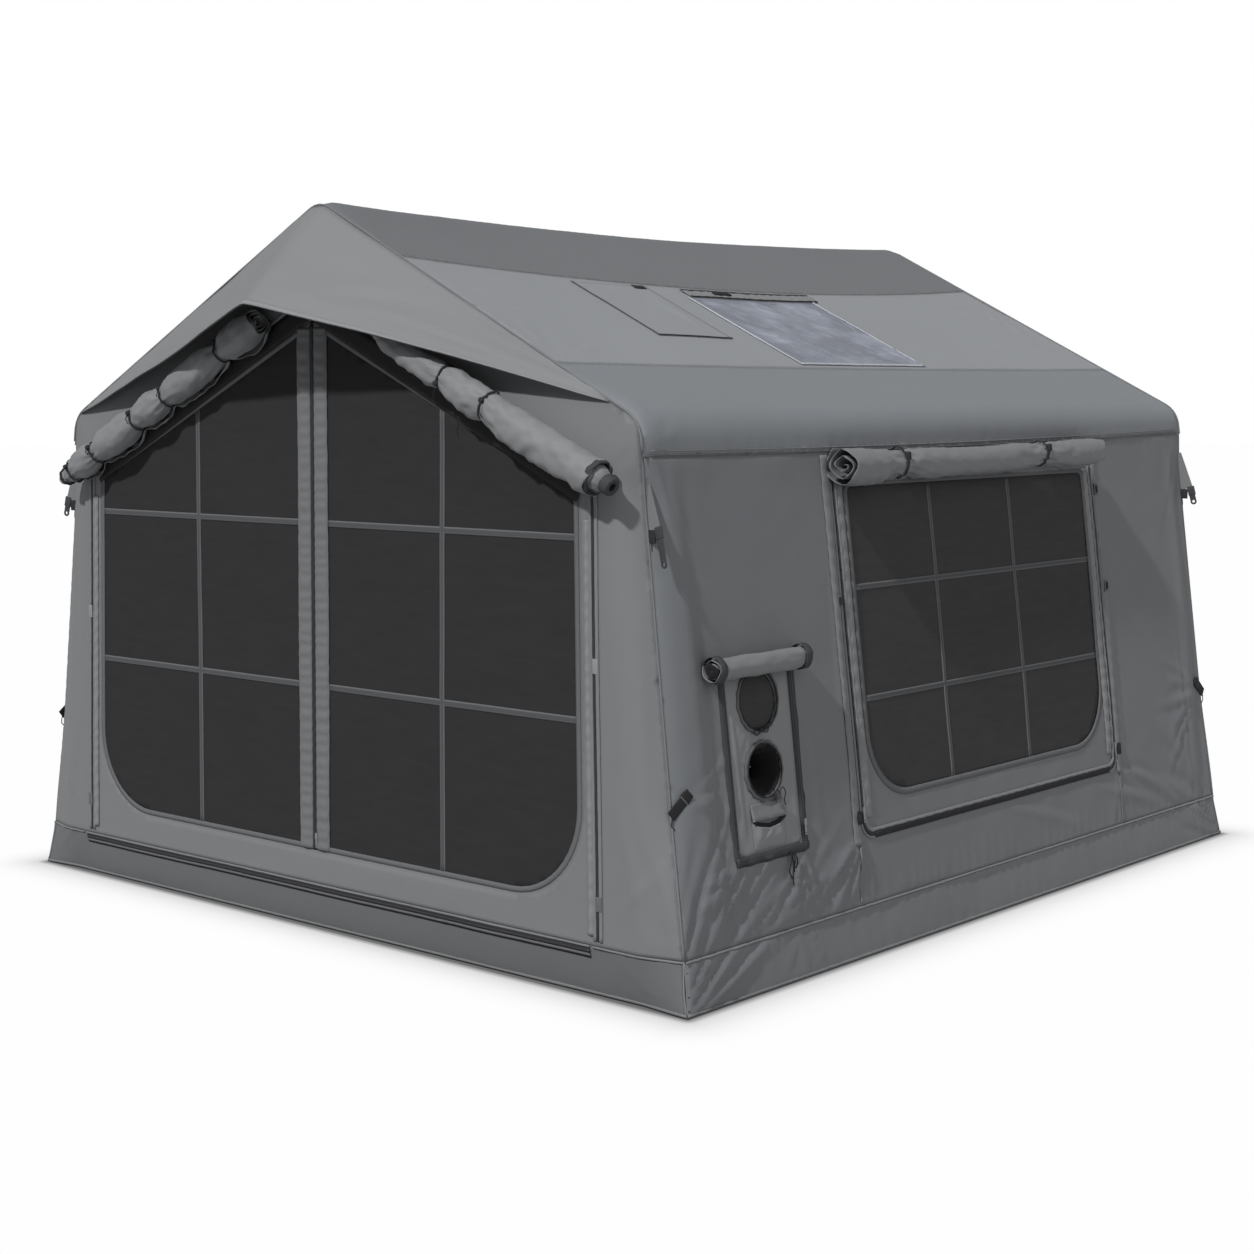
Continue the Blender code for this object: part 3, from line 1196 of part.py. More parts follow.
def make_windows(shop):
    """Mesh windows in both side walls with binding bars, zip track, rolled cover and two sliders."""
    bar_low = GAP
    bar_high = bar_low + TRIM
    corners = window_corners()
    edge = 2 * GAP
    net = rounded(inset(corners, (edge,) * 4), window_radii(-edge))
    lap = WINDOW_BINDING
    lace = rounded(inset(corners, (-lap,) * 4), window_radii(lap))
    field = rounded(inset(corners, (lap,) * 4), window_radii(-lap))
    posts = [WINDOW_FRONT_Y + (WINDOW_REAR_Y - WINDOW_FRONT_Y) * share for share in WINDOW_POST_SHARES]
    rails = [WINDOW_LOW_Z + (WINDOW_HIGH_Z - WINDOW_LOW_Z) * share for share in WINDOW_RAIL_SHARES]
    cells = lattice_cells(field, posts, rails, WEBBING)
    track = u_track(WINDOW_ZIP_FRONT_Y, WINDOW_ZIP_REAR_Y, WINDOW_ZIP_LOW_Z,
                    WINDOW_HIGH_Z + WINDOW_ZIP_HIGH_MARGIN, WINDOW_ZIP_CORNER_R, WINDOW_ZIP_WIDTH)
    half_track = WINDOW_ZIP_WIDTH / 2
    ends = (("front", WINDOW_ZIP_FRONT_Y + half_track), ("rear", WINDOW_ZIP_REAR_Y - half_track))
    length = WINDOW_ROLL_REAR_Y - WINDOW_ROLL_FRONT_Y
    rings = [(WINDOW_ROLL_FRONT_Y + length * share - WINDOW_TIE_WIDTH / 2,
              WINDOW_ROLL_FRONT_Y + length * share + WINDOW_TIE_WIDTH / 2) for share in WINDOW_TIE_SHARES]
    for side, surface in (("right", on_right), ("left", on_left)):
        mesh = sheet_mesh("window_mesh_" + side, surface, net, -CLOTH, -CLOTH + NET)
        shop.add("window_mesh_" + side, mesh, NET_BLACK)
        bars = sheet_mesh("window_bars_" + side, surface, lace, bar_low, bar_high, cells)
        shop.add("window_bars_" + side, bars, OXFORD_GREY)
        zip_mesh = sheet_mesh("window_zip_" + side, surface, track, GAP, GAP + TRIM)
        shop.add("window_zip_" + side, zip_mesh, ZIP_BLACK)
        rise = GAP + WINDOW_ROLL_R + TIE_THICKNESS
        name = "window_roll_" + side
        roll = cloth_roll(name, surface, WINDOW_ROLL_FRONT_Y, WINDOW_ROLL_REAR_Y,
                          WINDOW_HIGH_Z + WINDOW_ROLL_RISE, rise, WINDOW_ROLL_R, WINDOW_ROLL_CORE_R, rings)
        shop.add(name, roll, OXFORD_GREY, smooth=True)
        for end, y in ends:
            pivot = "window_slider_" + side + "_" + end
            rise = bar_high + GAP
            slider_z = WINDOW_ZIP_LOW_Z + WINDOW_SLIDER_RISE
            shop.pivot(pivot + "_pivot", surface(y, slider_z, rise))
            slider = slider_mesh(pivot)
            slider.transform(frame_on(surface, y, slider_z, rise))
            shop.add(pivot, slider, ZIP_METAL, pivot=pivot + "_pivot")


def torus_mesh(name, reach, radius):
    """Closed ring of round section about Z."""
    build = bmesh.new()
    profile = [build.verts.new((reach + x, 0.0, y)) for x, y in circle((0, 0), radius, RING_STEPS)]
    for start, end in zip(profile, profile[1:] + profile[:1]):
        build.edges.new((start, end))
    bmesh.ops.spin(build, geom=list(build.verts) + list(build.edges), cent=(0, 0, 0), axis=(0, 0, 1),
                   angle=math.tau, steps=PORT_CIRCLE_STEPS, use_merge=True)
    bmesh.ops.remove_doubles(build, verts=build.verts, dist=GAP / 10)
    return close_mesh(build, name)


def make_port(shop):
    """Utility port: cloth panel with a mesh eye and an open cable hole, pocket, zip, slider and roll."""
    corners = port_corners()
    edge = 2 * GAP
    outline = rounded(inset(corners, (edge,) * 4), (PORT_CORNER_R - edge,) * 4)
    eye = circle((PORT_EYE_Y, PORT_MESH_Z), PORT_MESH_R, PORT_CIRCLE_STEPS)
    hole = circle((PORT_EYE_Y, PORT_HOLE_Z), PORT_HOLE_R, PORT_CIRCLE_STEPS)
    panel = sheet_mesh("port_panel", on_right, outline, -CLOTH, 0.0, (eye, hole))
    shop.add("port_panel", panel, OXFORD_PALE)
    disc = circle((PORT_EYE_Y, PORT_MESH_Z), PORT_MESH_R - edge, PORT_CIRCLE_STEPS)
    shop.add("port_mesh", sheet_mesh("port_mesh", on_right, disc, -CLOTH, -CLOTH + NET), NET_BLACK)
    for name, z, radius in (("port_mesh_ring", PORT_MESH_Z, PORT_MESH_R),
                            ("port_cuff", PORT_HOLE_Z, PORT_HOLE_R)):
        ring = torus_mesh(name, radius + PORT_RING_R, PORT_RING_R)
        ring.transform(frame_on(on_right, PORT_EYE_Y, z, GAP + PORT_RING_R))
        shop.add(name, ring, OXFORD_GREY, smooth=True)
    margin = PORT_ZIP_MARGIN
    track = u_track(PORT_FRONT_Y - margin, PORT_REAR_Y + margin, PORT_LOW_Z - margin,
                    PORT_HIGH_Z - margin, PORT_CORNER_R + margin, PORT_ZIP_WIDTH)
    shop.add("port_zip", sheet_mesh("port_zip", on_right, track, GAP, GAP + TRIM), ZIP_BLACK)
    front_y = PORT_FRONT_Y + POCKET_INSET
    rear_y = front_y + POCKET_WIDTH
    low_z = PORT_LOW_Z + POCKET_LOW_RISE
    high_z = low_z + POCKET_HEIGHT
    pocket = rounded([(front_y, low_z), (rear_y, low_z), (rear_y, high_z), (front_y, high_z)],
                     (POCKET_CORNER_R, POCKET_CORNER_R, 0, 0))
    pocket_mesh = sheet_mesh("port_pocket", on_right, pocket, GAP, GAP + POCKET_DEPTH)
    shop.add("port_pocket", pocket_mesh, OXFORD_GREY)
    binding = PORT_BINDING_WIDTH
    rings = ((PORT_ROLL_FRONT_Y, PORT_ROLL_FRONT_Y + binding),
             (PORT_ROLL_REAR_Y - binding, PORT_ROLL_REAR_Y))
    rise = GAP + PORT_ROLL_R + TIE_THICKNESS
    roll = cloth_roll("port_roll", on_right, PORT_ROLL_FRONT_Y, PORT_ROLL_REAR_Y,
                      PORT_HIGH_Z + PORT_ROLL_RISE, rise, PORT_ROLL_R, PORT_ROLL_CORE_R, rings)
    shop.add("port_roll", roll, OXFORD_GREY, smooth=True)
    slider_y = PORT_REAR_Y + margin - PORT_ZIP_WIDTH / 2
    slider_z = PORT_LOW_Z + PORT_SLIDER_RISE
    rise = GAP + TRIM + GAP
    shop.pivot("port_slider_pivot", on_right(slider_y, slider_z, rise))
    slider = slider_mesh("port_slider")
    slider.transform(frame_on(on_right, slider_y, slider_z, rise))
    shop.add("port_slider", slider, ZIP_METAL, pivot="port_slider_pivot")


def make_guy_points(shop):
    """Cloth patch, strap and ring near the top of each corner of the side walls."""
    half = GUY_STRAP_WIDTH / 2
    back = GUY_EDGE_INSET + GUY_PATCH_WIDTH
    centre = GUY_EDGE_INSET + GUY_PATCH_WIDTH / 2
    ring_turn = math.asin(half / GUY_RING_R)
    sweep = math.tau - 2 * ring_turn
    top_z = EAVE_SEAM_Z - GUY_PATCH_DROP
    tip_z = top_z - GUY_PATCH_LENGTH
    ring_z = tip_z - GUY_STRAP_LENGTH
    ring = [(centre + GUY_RING_R * math.sin(turn), ring_z + GUY_RING_R * math.cos(turn)) for turn in
            (ring_turn + sweep * k / ROUND_STEPS for k in range(ROUND_STEPS + 1))]
    shape = [(GUY_EDGE_INSET, top_z), (back, top_z), (centre + half, tip_z)]
    shape += ring + [(centre - half, tip_z)]
    hole = circle((centre, ring_z), GUY_RING_BORE_R, ROUND_STEPS)
    for end, sign in (("front", 1), ("rear", -1)):
        start_y = sign * -end_y(top_z)
        outline = [(start_y + sign * y, z) for y, z in shape]
        bore = [(start_y + sign * y, z) for y, z in hole]
        for side, surface in (("right", on_right), ("left", on_left)):
            name = "guy_point_" + end + "_" + side
            shop.add(name, sheet_mesh(name, surface, outline, GAP, GAP + TRIM, (bore,)), OXFORD_PALE)


def main():
    """Build every piece of the tent."""
    clear_scene()
    shop = Workshop()
    leg_cutter = make_beams(shop)
    make_valve(shop, leg_cutter)
    make_ground_sheet(shop)
    make_skirt(shop)
    make_end_walls(shop)
    make_side_walls(shop)
    make_roof(shop)
    make_roof_fittings(shop)
    make_hood(shop)
    make_door(shop)
    make_door_zips(shop)
    make_door_rolls(shop)
    make_windows(shop)
    make_port(shop)
    make_guy_points(shop)


main()
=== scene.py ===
"""Looks of the inflatable cabin tent: sewn cloth, rolled covers, netting, zips and studio light."""
import sys
import logging
import math
from dataclasses import dataclass, field
from enum import Enum
from typing import Callable, Iterable, Sequence

import bmesh
import bpy
import numpy as np
from mathutils import Matrix, Vector
from mathutils.geometry import delaunay_2d_cdt


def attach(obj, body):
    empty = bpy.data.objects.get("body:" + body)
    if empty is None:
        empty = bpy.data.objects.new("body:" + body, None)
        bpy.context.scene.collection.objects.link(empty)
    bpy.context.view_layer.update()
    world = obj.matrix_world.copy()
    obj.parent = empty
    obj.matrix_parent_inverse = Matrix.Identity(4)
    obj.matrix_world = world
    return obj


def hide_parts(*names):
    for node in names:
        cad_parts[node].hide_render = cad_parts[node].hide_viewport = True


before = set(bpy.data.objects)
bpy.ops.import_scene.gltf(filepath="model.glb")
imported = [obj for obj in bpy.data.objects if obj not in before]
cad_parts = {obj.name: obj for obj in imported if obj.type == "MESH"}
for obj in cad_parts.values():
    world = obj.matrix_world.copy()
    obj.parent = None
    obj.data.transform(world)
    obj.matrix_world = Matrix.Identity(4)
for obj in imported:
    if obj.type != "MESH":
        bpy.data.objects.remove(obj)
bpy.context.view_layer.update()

LOG = logging.getLogger("tent")
Array = np.ndarray
Outline = Sequence[tuple[float, float]]
Relief = Callable[[Array, Array], Array]
Place = Callable[[Array, Array, Array], Array]
UP = np.array([0.0, 0.0, 1.0])
NET_ROW = 0.87  # rows of a net, in steps, so that its triangles are nearly even
NET_CLEAR = 0.45  # least distance of a net's inner points from its edge, in steps
RUFFLE_EDGE = 0.35  # share of a tape's ripples that reaches its edges
LOOP_STEP = 0.03  # distance between the points of a panel's edge, from which its folds are calmed


class Held(Enum):
    STRETCHED = "stretched"
    LAID = "laid"
    FOLDED = "folded"
    HUNG = "hung"


class Side(Enum):
    """The two long sides of the tent, with the sign of their X."""

    RIGHT = 1
    LEFT = -1

    @property
    def word(self) -> str:
        """Lower-case name of the side."""
        return self.name.lower()


# Shader graphs


class Socket:
    """An output socket that adds Math nodes when it is used in an expression."""

    def __init__(self, graph: "Graph", link: bpy.types.NodeSocket) -> None:
        """Wrap one output socket.

        Args:
            graph: the graph that the socket belongs to.
            link: the socket itself.
        """
        self.graph = graph
        self.link = link

    def maths(self, operation: str, *others: "Socket | float", first: bool = True) -> "Socket":
        """Math node on this socket and others.

        Args:
            operation: the node's operation.
            others: further operands.
            first: whether this socket is the first operand.
        Returns:
            The node's value.
        """
        values = [self, *others] if first else [*others, self]
        return self.graph.node("ShaderNodeMath", {"operation": operation}, dict(enumerate(values)))[0]

    def __add__(self, other: "Socket | float") -> "Socket":
        """Sum."""
        return self.maths("ADD", other)

    def __radd__(self, other: "Socket | float") -> "Socket":
        """Sum, reflected."""
        return self.maths("ADD", other)

    def __sub__(self, other: "Socket | float") -> "Socket":
        """Difference."""
        return self.maths("SUBTRACT", other)

    def __rsub__(self, other: "Socket | float") -> "Socket":
        """Difference, reflected."""
        return self.maths("SUBTRACT", other, first=False)

    def __mul__(self, other: "Socket | float") -> "Socket":
        """Product."""
        return self.maths("MULTIPLY", other)

    def __rmul__(self, other: "Socket | float") -> "Socket":
        """Product, reflected."""
        return self.maths("MULTIPLY", other)

    def __truediv__(self, other: "Socket | float") -> "Socket":
        """Quotient."""
        return self.maths("DIVIDE", other)

    def __pow__(self, other: "Socket | float") -> "Socket":
        """Power."""
        return self.maths("POWER", other)

    def __gt__(self, other: "Socket | float") -> "Socket":
        """One where this is the larger."""
        return self.maths("GREATER_THAN", other)

    def size(self) -> "Socket":
        """Value without its sign."""
        return self.maths("ABSOLUTE")

    def clamp(self) -> "Socket":
        """Value held between nought and one."""
        return self.graph.node("ShaderNodeClamp", {}, {0: self})[0]


class Graph:
    """Node tree of one material or world, with one method that makes any node."""

    def __init__(self, tree: bpy.types.NodeTree) -> None:
        """Empty the tree and keep it.

        Args:
            tree: node tree to fill.
        """
        self.tree = tree
        tree.nodes.clear()

    def node(self, kind: str, settings: dict[str, object] | None = None,
             sockets: dict[object, object] | None = None) -> list[Socket]:
        """Make a node.

        Args:
            kind: type name of the node.
            settings: attributes set first; "stops" gives a colour ramp its stops.
            sockets: values or sockets for the inputs, by name or number.
        Returns:
            The node's outputs.
        """
        made = self.tree.nodes.new(kind)
        for key, value in (settings or {}).items():
            if key == "stops":
                ramp = made.color_ramp
                while len(ramp.elements) < len(value):
                    ramp.elements.new(0.5)
                for element, (place, grey) in zip(ramp.elements, value):
                    element.position = place
                    element.color = (grey, grey, grey, 1.0)
            else:
                setattr(made, key, value)
        for key, value in (sockets or {}).items():
            target = made.inputs[key]
            if isinstance(value, Socket):
                self.tree.links.new(value.link, target)
            else:
                target.default_value = value
        return [Socket(self, output) for output in made.outputs]

    def position(self) -> Socket:
        """Coordinates in the piece's own metres."""
        return self.node("ShaderNodeTexCoord")[3]

    def noise(self, scale: float, detail: float = 3.0, stretch: tuple[float, float, float] = (1, 1, 1),
              roughness: float = 0.55) -> Socket:
        """Noise around one half.

        Args:
            scale: cells to the metre.
            detail: octaves.
            stretch: factors on the three axes.
            roughness: weight of the fine octaves.
        Returns:
            Value from nought to one.
        """
        place = self.node("ShaderNodeMapping", {}, {"Vector": self.position(), "Scale": stretch})[0]
        return self.node("ShaderNodeTexNoise", {}, {"Vector": place, "Scale": scale, "Detail": detail,
                                                    "Roughness": roughness})[0]

    def measure(self, name: str) -> Socket:
        """Named number stored on the mesh."""
        return self.node("ShaderNodeAttribute", {"attribute_name": name})[2]

    def blend(self, share: Socket | float, low: Sequence[float] | Socket,
              high: Sequence[float] | Socket) -> Socket:
        """Colour between two colours.

        Args:
            share: nought for the first colour, one for the second.
            low: first colour.
            high: second colour.
        Returns:
            The mixed colour.
        """
        colours = {6: low if isinstance(low, Socket) else (*low, 1.0),
                   7: high if isinstance(high, Socket) else (*high, 1.0)}
        return self.node("ShaderNodeMix", {"data_type": "RGBA"}, {0: share, **colours})[2]

    def bump(self, height: Socket, depth: float, strength: float) -> Socket:
        """Bump normal.

        Args:
            height: height field.
            depth: metres to one unit of height.
            strength: share of the effect.
        Returns:
            The bumped normal.
        """
        return self.node("ShaderNodeBump", {}, {"Height": height, "Distance": depth, "Strength": strength})[0]

    def finish(self, shader: dict[object, object]) -> None:
        """Principled shader into the output.

        Args:
            shader: values or sockets of the shader's inputs.
        """
        surface = self.node("ShaderNodeBsdfPrincipled", {}, shader)[0]
        self.node("ShaderNodeOutputMaterial", {}, {0: surface})


def scaled(colour: Sequence[float], factor: float) -> tuple[float, float, float]:
    """Colour times a factor.

    Args:
        colour: red, green and blue.
        factor: the multiplier.
    Returns:
        The new colour.
    """
    return tuple(min(1.0, part * factor) for part in colour[:3])


@dataclass(frozen=True)
class Finish:
    """Base of the finishes: a name and a colour."""

    name: str
    colour: tuple[float, float, float]

    def material(self) -> bpy.types.Material:
        """Material of this finish, made once."""
        known = bpy.data.materials.get(self.name)
        if known:
            return known
        made = bpy.data.materials.new(self.name)
        made.use_nodes = True
        made.diffuse_color = (*self.colour, 1.0)
        self.paint(Graph(made.node_tree))
        return made

    def paint(self, graph: Graph) -> None:
        """Fill the material's graph.

        Args:
            graph: the graph.
        """
        graph.finish({"Base Color": (*self.colour, 1.0), "Roughness": 0.6})


@dataclass(frozen=True)
class CoatedCloth(Finish):
    """Coated polyester with a fine weave, handling marks, stitch rows and darker seams."""

    roughness: float = 0.62
    stitches: bool = True

    def paint(self, graph: Graph) -> None:
        """Weave and mottle in bump and colour, stitch rows from the distance to the edge."""
        patches = graph.noise(2.3, 3.0)
        threads = graph.noise(420.0, 1.0)
        slubs = graph.noise(150.0, 2.0, (1.0, 0.12, 1.0))
        creases = graph.noise(13.0, 4.0, roughness=0.62)
        tone = 0.965 + 0.07 * patches + 0.03 * (threads - 0.5) + 0.04 * (slubs - 0.5)
        height = 0.35 * creases + 0.05 * threads
        if self.stitches:
            edge = graph.measure("edge")
            seam = (1.0 - edge / 0.010).clamp()
            row = (1.0 - (edge - 0.0075).size() / 0.0016).clamp()
            tone = tone * (1.0 - 0.14 * seam) * (1.0 - 0.10 * row)
            height = height - 0.30 * row
        colour = graph.blend(tone - 0.5, scaled(self.colour, 0.5), scaled(self.colour, 1.5))
        normal = graph.bump(height, 0.0016, 0.8)
        graph.finish({"Base Color": colour, "Roughness": self.roughness + 0.06 * (patches - 0.5),
                      "Normal": normal, "Specular IOR Level": 0.20, "Sheen Weight": 0.06,
                      "Sheen Roughness": 0.5})


@dataclass(frozen=True)
class Netting(Finish):
    """Fine black netting that lets a little of the inside show."""

    cover: float = 0.93

    def paint(self, graph: Graph) -> None:
        """Dark threads with a faint moiré."""
        bands = graph.noise(9.0, 2.0, (1.0, 1.0, 6.0))
        fine = graph.noise(600.0, 1.0)
        colour = graph.blend((0.55 * bands + 0.45 * fine).clamp(), scaled(self.colour, 0.75),
                             scaled(self.colour, 1.25))
        graph.finish({"Base Color": colour, "Roughness": 0.78, "Alpha": self.cover,
                      "Specular IOR Level": 0.04})


@dataclass(frozen=True)
class Webbing(Finish):
    """Woven tape with cross ribs."""

    roughness: float = 0.75

    def paint(self, graph: Graph) -> None:
        """Ribs by a fine noise drawn out across the tape."""
        ribs = graph.noise(900.0, 1.0)
        wear = graph.noise(30.0, 3.0)
        tone = 0.5 + 0.18 * (ribs - 0.5) + 0.2 * (wear - 0.5)
        colour = graph.blend(tone, scaled(self.colour, 0.6), scaled(self.colour, 1.4))
        graph.finish({"Base Color": colour, "Roughness": self.roughness,
                      "Normal": graph.bump(ribs, 0.0006, 0.6), "Specular IOR Level": 0.12})


@dataclass(frozen=True)
class BarTape(Finish):
    """Flat tape with two paler woven edges."""

    def paint(self, graph: Graph) -> None:
        """Paler within four millimetres of the edges."""
        edge = graph.measure("edge")
        pale = (1.0 - (edge - 0.0035) / 0.0015).clamp()
        wear = graph.noise(40.0, 3.0)
        base = graph.blend(pale, scaled(self.colour, 0.62), scaled(self.colour, 1.12))
        graph.finish({"Base Color": graph.blend(wear * 0.5, base, scaled(self.colour, 0.8)),
                      "Roughness": 0.75, "Specular IOR Level": 0.12})


@dataclass(frozen=True)
class ClearVinyl(Finish):
    """Clear soft film with crumples that catch the light."""

    def paint(self, graph: Graph) -> None:
        """Bluish film, paler on the crests of its crumples as a painted highlight, under a gloss coat."""
        broad = graph.noise(9.0, 4.0, (1.0, 0.6, 1.0), 0.6)
        fine = graph.noise(34.0, 3.0)
        # Paler crests: painted highlight where the crumples catch the light.
        painted_highlight = ((broad - 0.42) * 4.0).clamp()
        colour = graph.blend(painted_highlight, scaled(self.colour, 0.72), scaled(self.colour, 1.12))
        height = broad + 0.35 * fine
        graph.finish({"Base Color": colour, "Roughness": 0.22 + 0.2 * fine, "Alpha": 0.80,
                      "Normal": graph.bump(height, 0.004, 0.8), "Coat Weight": 0.4,
                      "Coat Roughness": 0.12, "IOR": 1.46})


@dataclass(frozen=True)
class Hardware(Finish):
    """Moulded plastic or cast metal."""

    roughness: float = 0.4
    metallic: float = 0.0

    def paint(self, graph: Graph) -> None:
        """Slightly uneven gloss."""
        marks = graph.noise(160.0, 3.0)
        graph.finish({"Base Color": (*self.colour, 1.0), "Metallic": self.metallic,
                      "Roughness": self.roughness + 0.16 * (marks - 0.5),
                      "Normal": graph.bump(marks, 0.0004, 0.5)})


@dataclass(frozen=True)
class PaleFloor(Finish):
    """Studio floor, white to the eye, with a soft contact shade round the tent's foot."""

    half_x: float = 1.50
    half_y: float = 1.588
    reach: float = 0.30
    depth: float = 0.42
    bounce: float = 0.62

    def paint(self, graph: Graph) -> None:
        """White that turns grey close to the tent's foot."""
        part = graph.node("ShaderNodeSeparateXYZ", {}, {0: graph.position()})
        away_x = (part[0].size() - self.half_x).clamp()
        away_y = (part[1].size() - self.half_y).clamp()
        far = (away_x * away_x + away_y * away_y) ** 0.5
        near = (1.0 - far / self.reach).clamp()
        shade = self.depth * near ** 3.0 + 0.45 * (1.0 - far / 0.035).clamp()
        seen = graph.node("ShaderNodeLightPath")[0]
        white = graph.blend(seen, (self.bounce,) * 3, (0.991, 0.991, 0.991))
        grey = graph.blend(shade, white, (0.03, 0.03, 0.03))
        graph.finish({"Base Color": (0.0, 0.0, 0.0, 1.0), "Roughness": 1.0, "Specular IOR Level": 0.0,
                      "Emission Color": grey, "Emission Strength": 1.0})


GREY_CLOTH = (0.1310, 0.1350, 0.1400)


def cloth(word: str, factor: float, stitches: bool = True, cool: float = 1.0) -> CoatedCloth:
    """Coated cloth of the tent's one grey, scaled per panel: partly the cloth's own tones, partly painted
    light and shade.

    Args:
        word: what the panel is.
        factor: how much paler than the walls it is drawn: partly the panel's own tone, partly painted light
            and shade standing in for the light on that panel.
        stitches: whether seams and stitch rows show.
        cool: factor on blue against red.
    Returns:
        The finish.
    """
    red, green, blue = scaled(GREY_CLOTH, factor)
    return CoatedCloth("cloth_" + word, (red / cool, green, blue * cool), stitches=stitches)


# Panel tones below: partly the cloth's own shades, partly painted light and shade, each set so a panel's
# brightness stands in for the light that falls on it.
CLOTH_WALL_END = cloth("end_walls", 0.97)
CLOTH_WALL_SIDE = cloth("side_walls", 0.90, cool=1.022)
CLOTH_HOOD = cloth("hood", 1.12)
CLOTH_ROOF_MID = cloth("roof_middle", 1.48, cool=1.01)
CLOTH_ROOF_RIDGE = cloth("roof_ridge", 0.84, cool=1.02)
CLOTH_ROOF_EAVE = cloth("roof_eaves", 1.17, cool=1.03)
CLOTH_SKIRT_END = cloth("skirt_ends", 0.74)
CLOTH_SKIRT_SIDE = cloth("skirt_sides", 0.94, cool=1.02)
CLOTH_ROLL = cloth("rolls", 1.14, stitches=False)
CLOTH_ROLL_SIDE = cloth("side_rolls", 1.02, stitches=False)
CLOTH_ROOF_FLAP = cloth("roof_flap", 1.46, cool=1.01)
CLOTH_ZIP_BAND = cloth("skylight_band", 1.15, stitches=False)
CLOTH_RING = cloth("port_rings", 0.50, stitches=False)
CLOTH_BAND = cloth("door_band", 0.80, stitches=False)
CLOTH_FLAP_DULL = cloth("window_flap", 0.90, stitches=False)
CLOTH_MARGIN = cloth("window_margin", 1.06, stitches=False)
CLOTH_FLAP = cloth("flaps", 1.15)
CLOTH_PLACKET = cloth("plackets", 1.00, stitches=False)
CLOTH_PORT = cloth("port", 1.16)
CLOTH_PIPING = cloth("piping", 0.92, stitches=False)
CLOTH_WELT = cloth("welts", 0.98, stitches=False)
CLOTH_WELT_DULL = cloth("eave_welts", 0.90, stitches=False)
CLOTH_GROUND = CoatedCloth("cloth_ground", (0.045, 0.046, 0.050), 0.5, stitches=False)
# Near-black cloth used only as painted shade: in roll hollows, in the cable hole's sleeve and under the
# pocket flap.
CLOTH_PAINTED_SHADE = CoatedCloth("cloth_black_lining", (0.006, 0.006, 0.007), 0.9, stitches=False)
CLOTH_SLEEVE = CoatedCloth("cloth_sleeve", (0.080, 0.081, 0.086), 0.6, stitches=False)
CLOTH_HEAT = CoatedCloth("cloth_heat_proof", (0.30, 0.29, 0.27), 0.7, stitches=False)
NET = Netting("netting", (0.0250, 0.0250, 0.0262))
# Paler copy of the same black netting for the side walls: painted light that lifts the netting of the
# less-lit sides.
NET_SIDE = Netting("side_netting", (0.0420, 0.0420, 0.0425))
TAPE_GREY = Webbing("tape_grey", (0.092, 0.094, 0.098))
BAR = BarTape("tape_bars", (0.085, 0.087, 0.091))
TAPE_LIGHT = Webbing("tape_light", (0.18, 0.184, 0.19))
TAPE_DARK = Webbing("tape_dark", (0.040, 0.041, 0.044))
TAPE_BLACK = Webbing("tape_black", (0.022, 0.022, 0.024))
CORD_BLACK = Webbing("cord_black", (0.016, 0.016, 0.018))
ZIP_TEETH = Hardware("zip_coil", (0.018, 0.018, 0.020), 0.5)
VINYL = ClearVinyl("vinyl_clear", (0.27, 0.29, 0.345))
VINYL_HEM = Hardware("vinyl_hem", (0.34, 0.35, 0.39), 0.3)
METAL = Hardware("zip_slider_metal", (0.30, 0.30, 0.32), 0.32, 0.9)
PLASTIC = Hardware("moulded_plastic", (0.030, 0.030, 0.033), 0.42)


# Noise and folds, all in numpy


@dataclass(frozen=True)
class Grain:
    """Seeded gradient noise over the plane."""

    seed: int
    cells: int = 64

    def at(self, u: Array, v: Array) -> Array:
        """Noise from about -0.7 to 0.7.

        Args:
            u: first coordinate, in cells.
            v: second coordinate, in cells.
        Returns:
            Noise at each point.
        """
        turn = np.random.RandomState(self.seed).uniform(0, math.tau, (self.cells, self.cells))
        low_u = np.floor(u).astype(int)
        low_v = np.floor(v).astype(int)
        part_u = u - low_u
        part_v = v - low_v
        ease_u = part_u ** 3 * (part_u * (part_u * 6 - 15) + 10)
        ease_v = part_v ** 3 * (part_v * (part_v * 6 - 15) + 10)

        def corner(step_u: int, step_v: int) -> Array:
            """Gradient noise of one corner of the cell."""
            angle = turn[(low_u + step_u) % self.cells, (low_v + step_v) % self.cells]
            return np.cos(angle) * (part_u - step_u) + np.sin(angle) * (part_v - step_v)

        low = corner(0, 0) * (1 - ease_u) + corner(1, 0) * ease_u
        high = corner(0, 1) * (1 - ease_u) + corner(1, 1) * ease_u
        return low * (1 - ease_v) + high * ease_v

    def waves(self, uv: Array, length: float, stretch: float = 1.0, turn: float = 0.0,
              octaves: int = 2) -> Array:
        """Soft undulation in layers.

        Args:
            uv: points, in metres.
            length: length of the longest wave.
            stretch: how much longer the waves run along the turned axis.
            turn: angle of that axis from u.
            octaves: layers, each half as long.
        Returns:
            Noise from about -1 to 1.
        """
        along = uv[:, 0] * math.cos(turn) + uv[:, 1] * math.sin(turn)
        across = -uv[:, 0] * math.sin(turn) + uv[:, 1] * math.cos(turn)
        total = np.zeros(len(uv))
        for layer in range(octaves):
            scale = 2 ** layer / length
            shift = 11.3 * layer + self.seed % 17
            total += self.at(along * scale / stretch + shift, across * scale + 2 * shift) / 2 ** layer
        return total * 1.3


def smooth(value: Array) -> Array:
    """Smooth step of a share held between nought and one."""
    share = np.clip(value, 0.0, 1.0)
    return share * share * (3 - 2 * share)


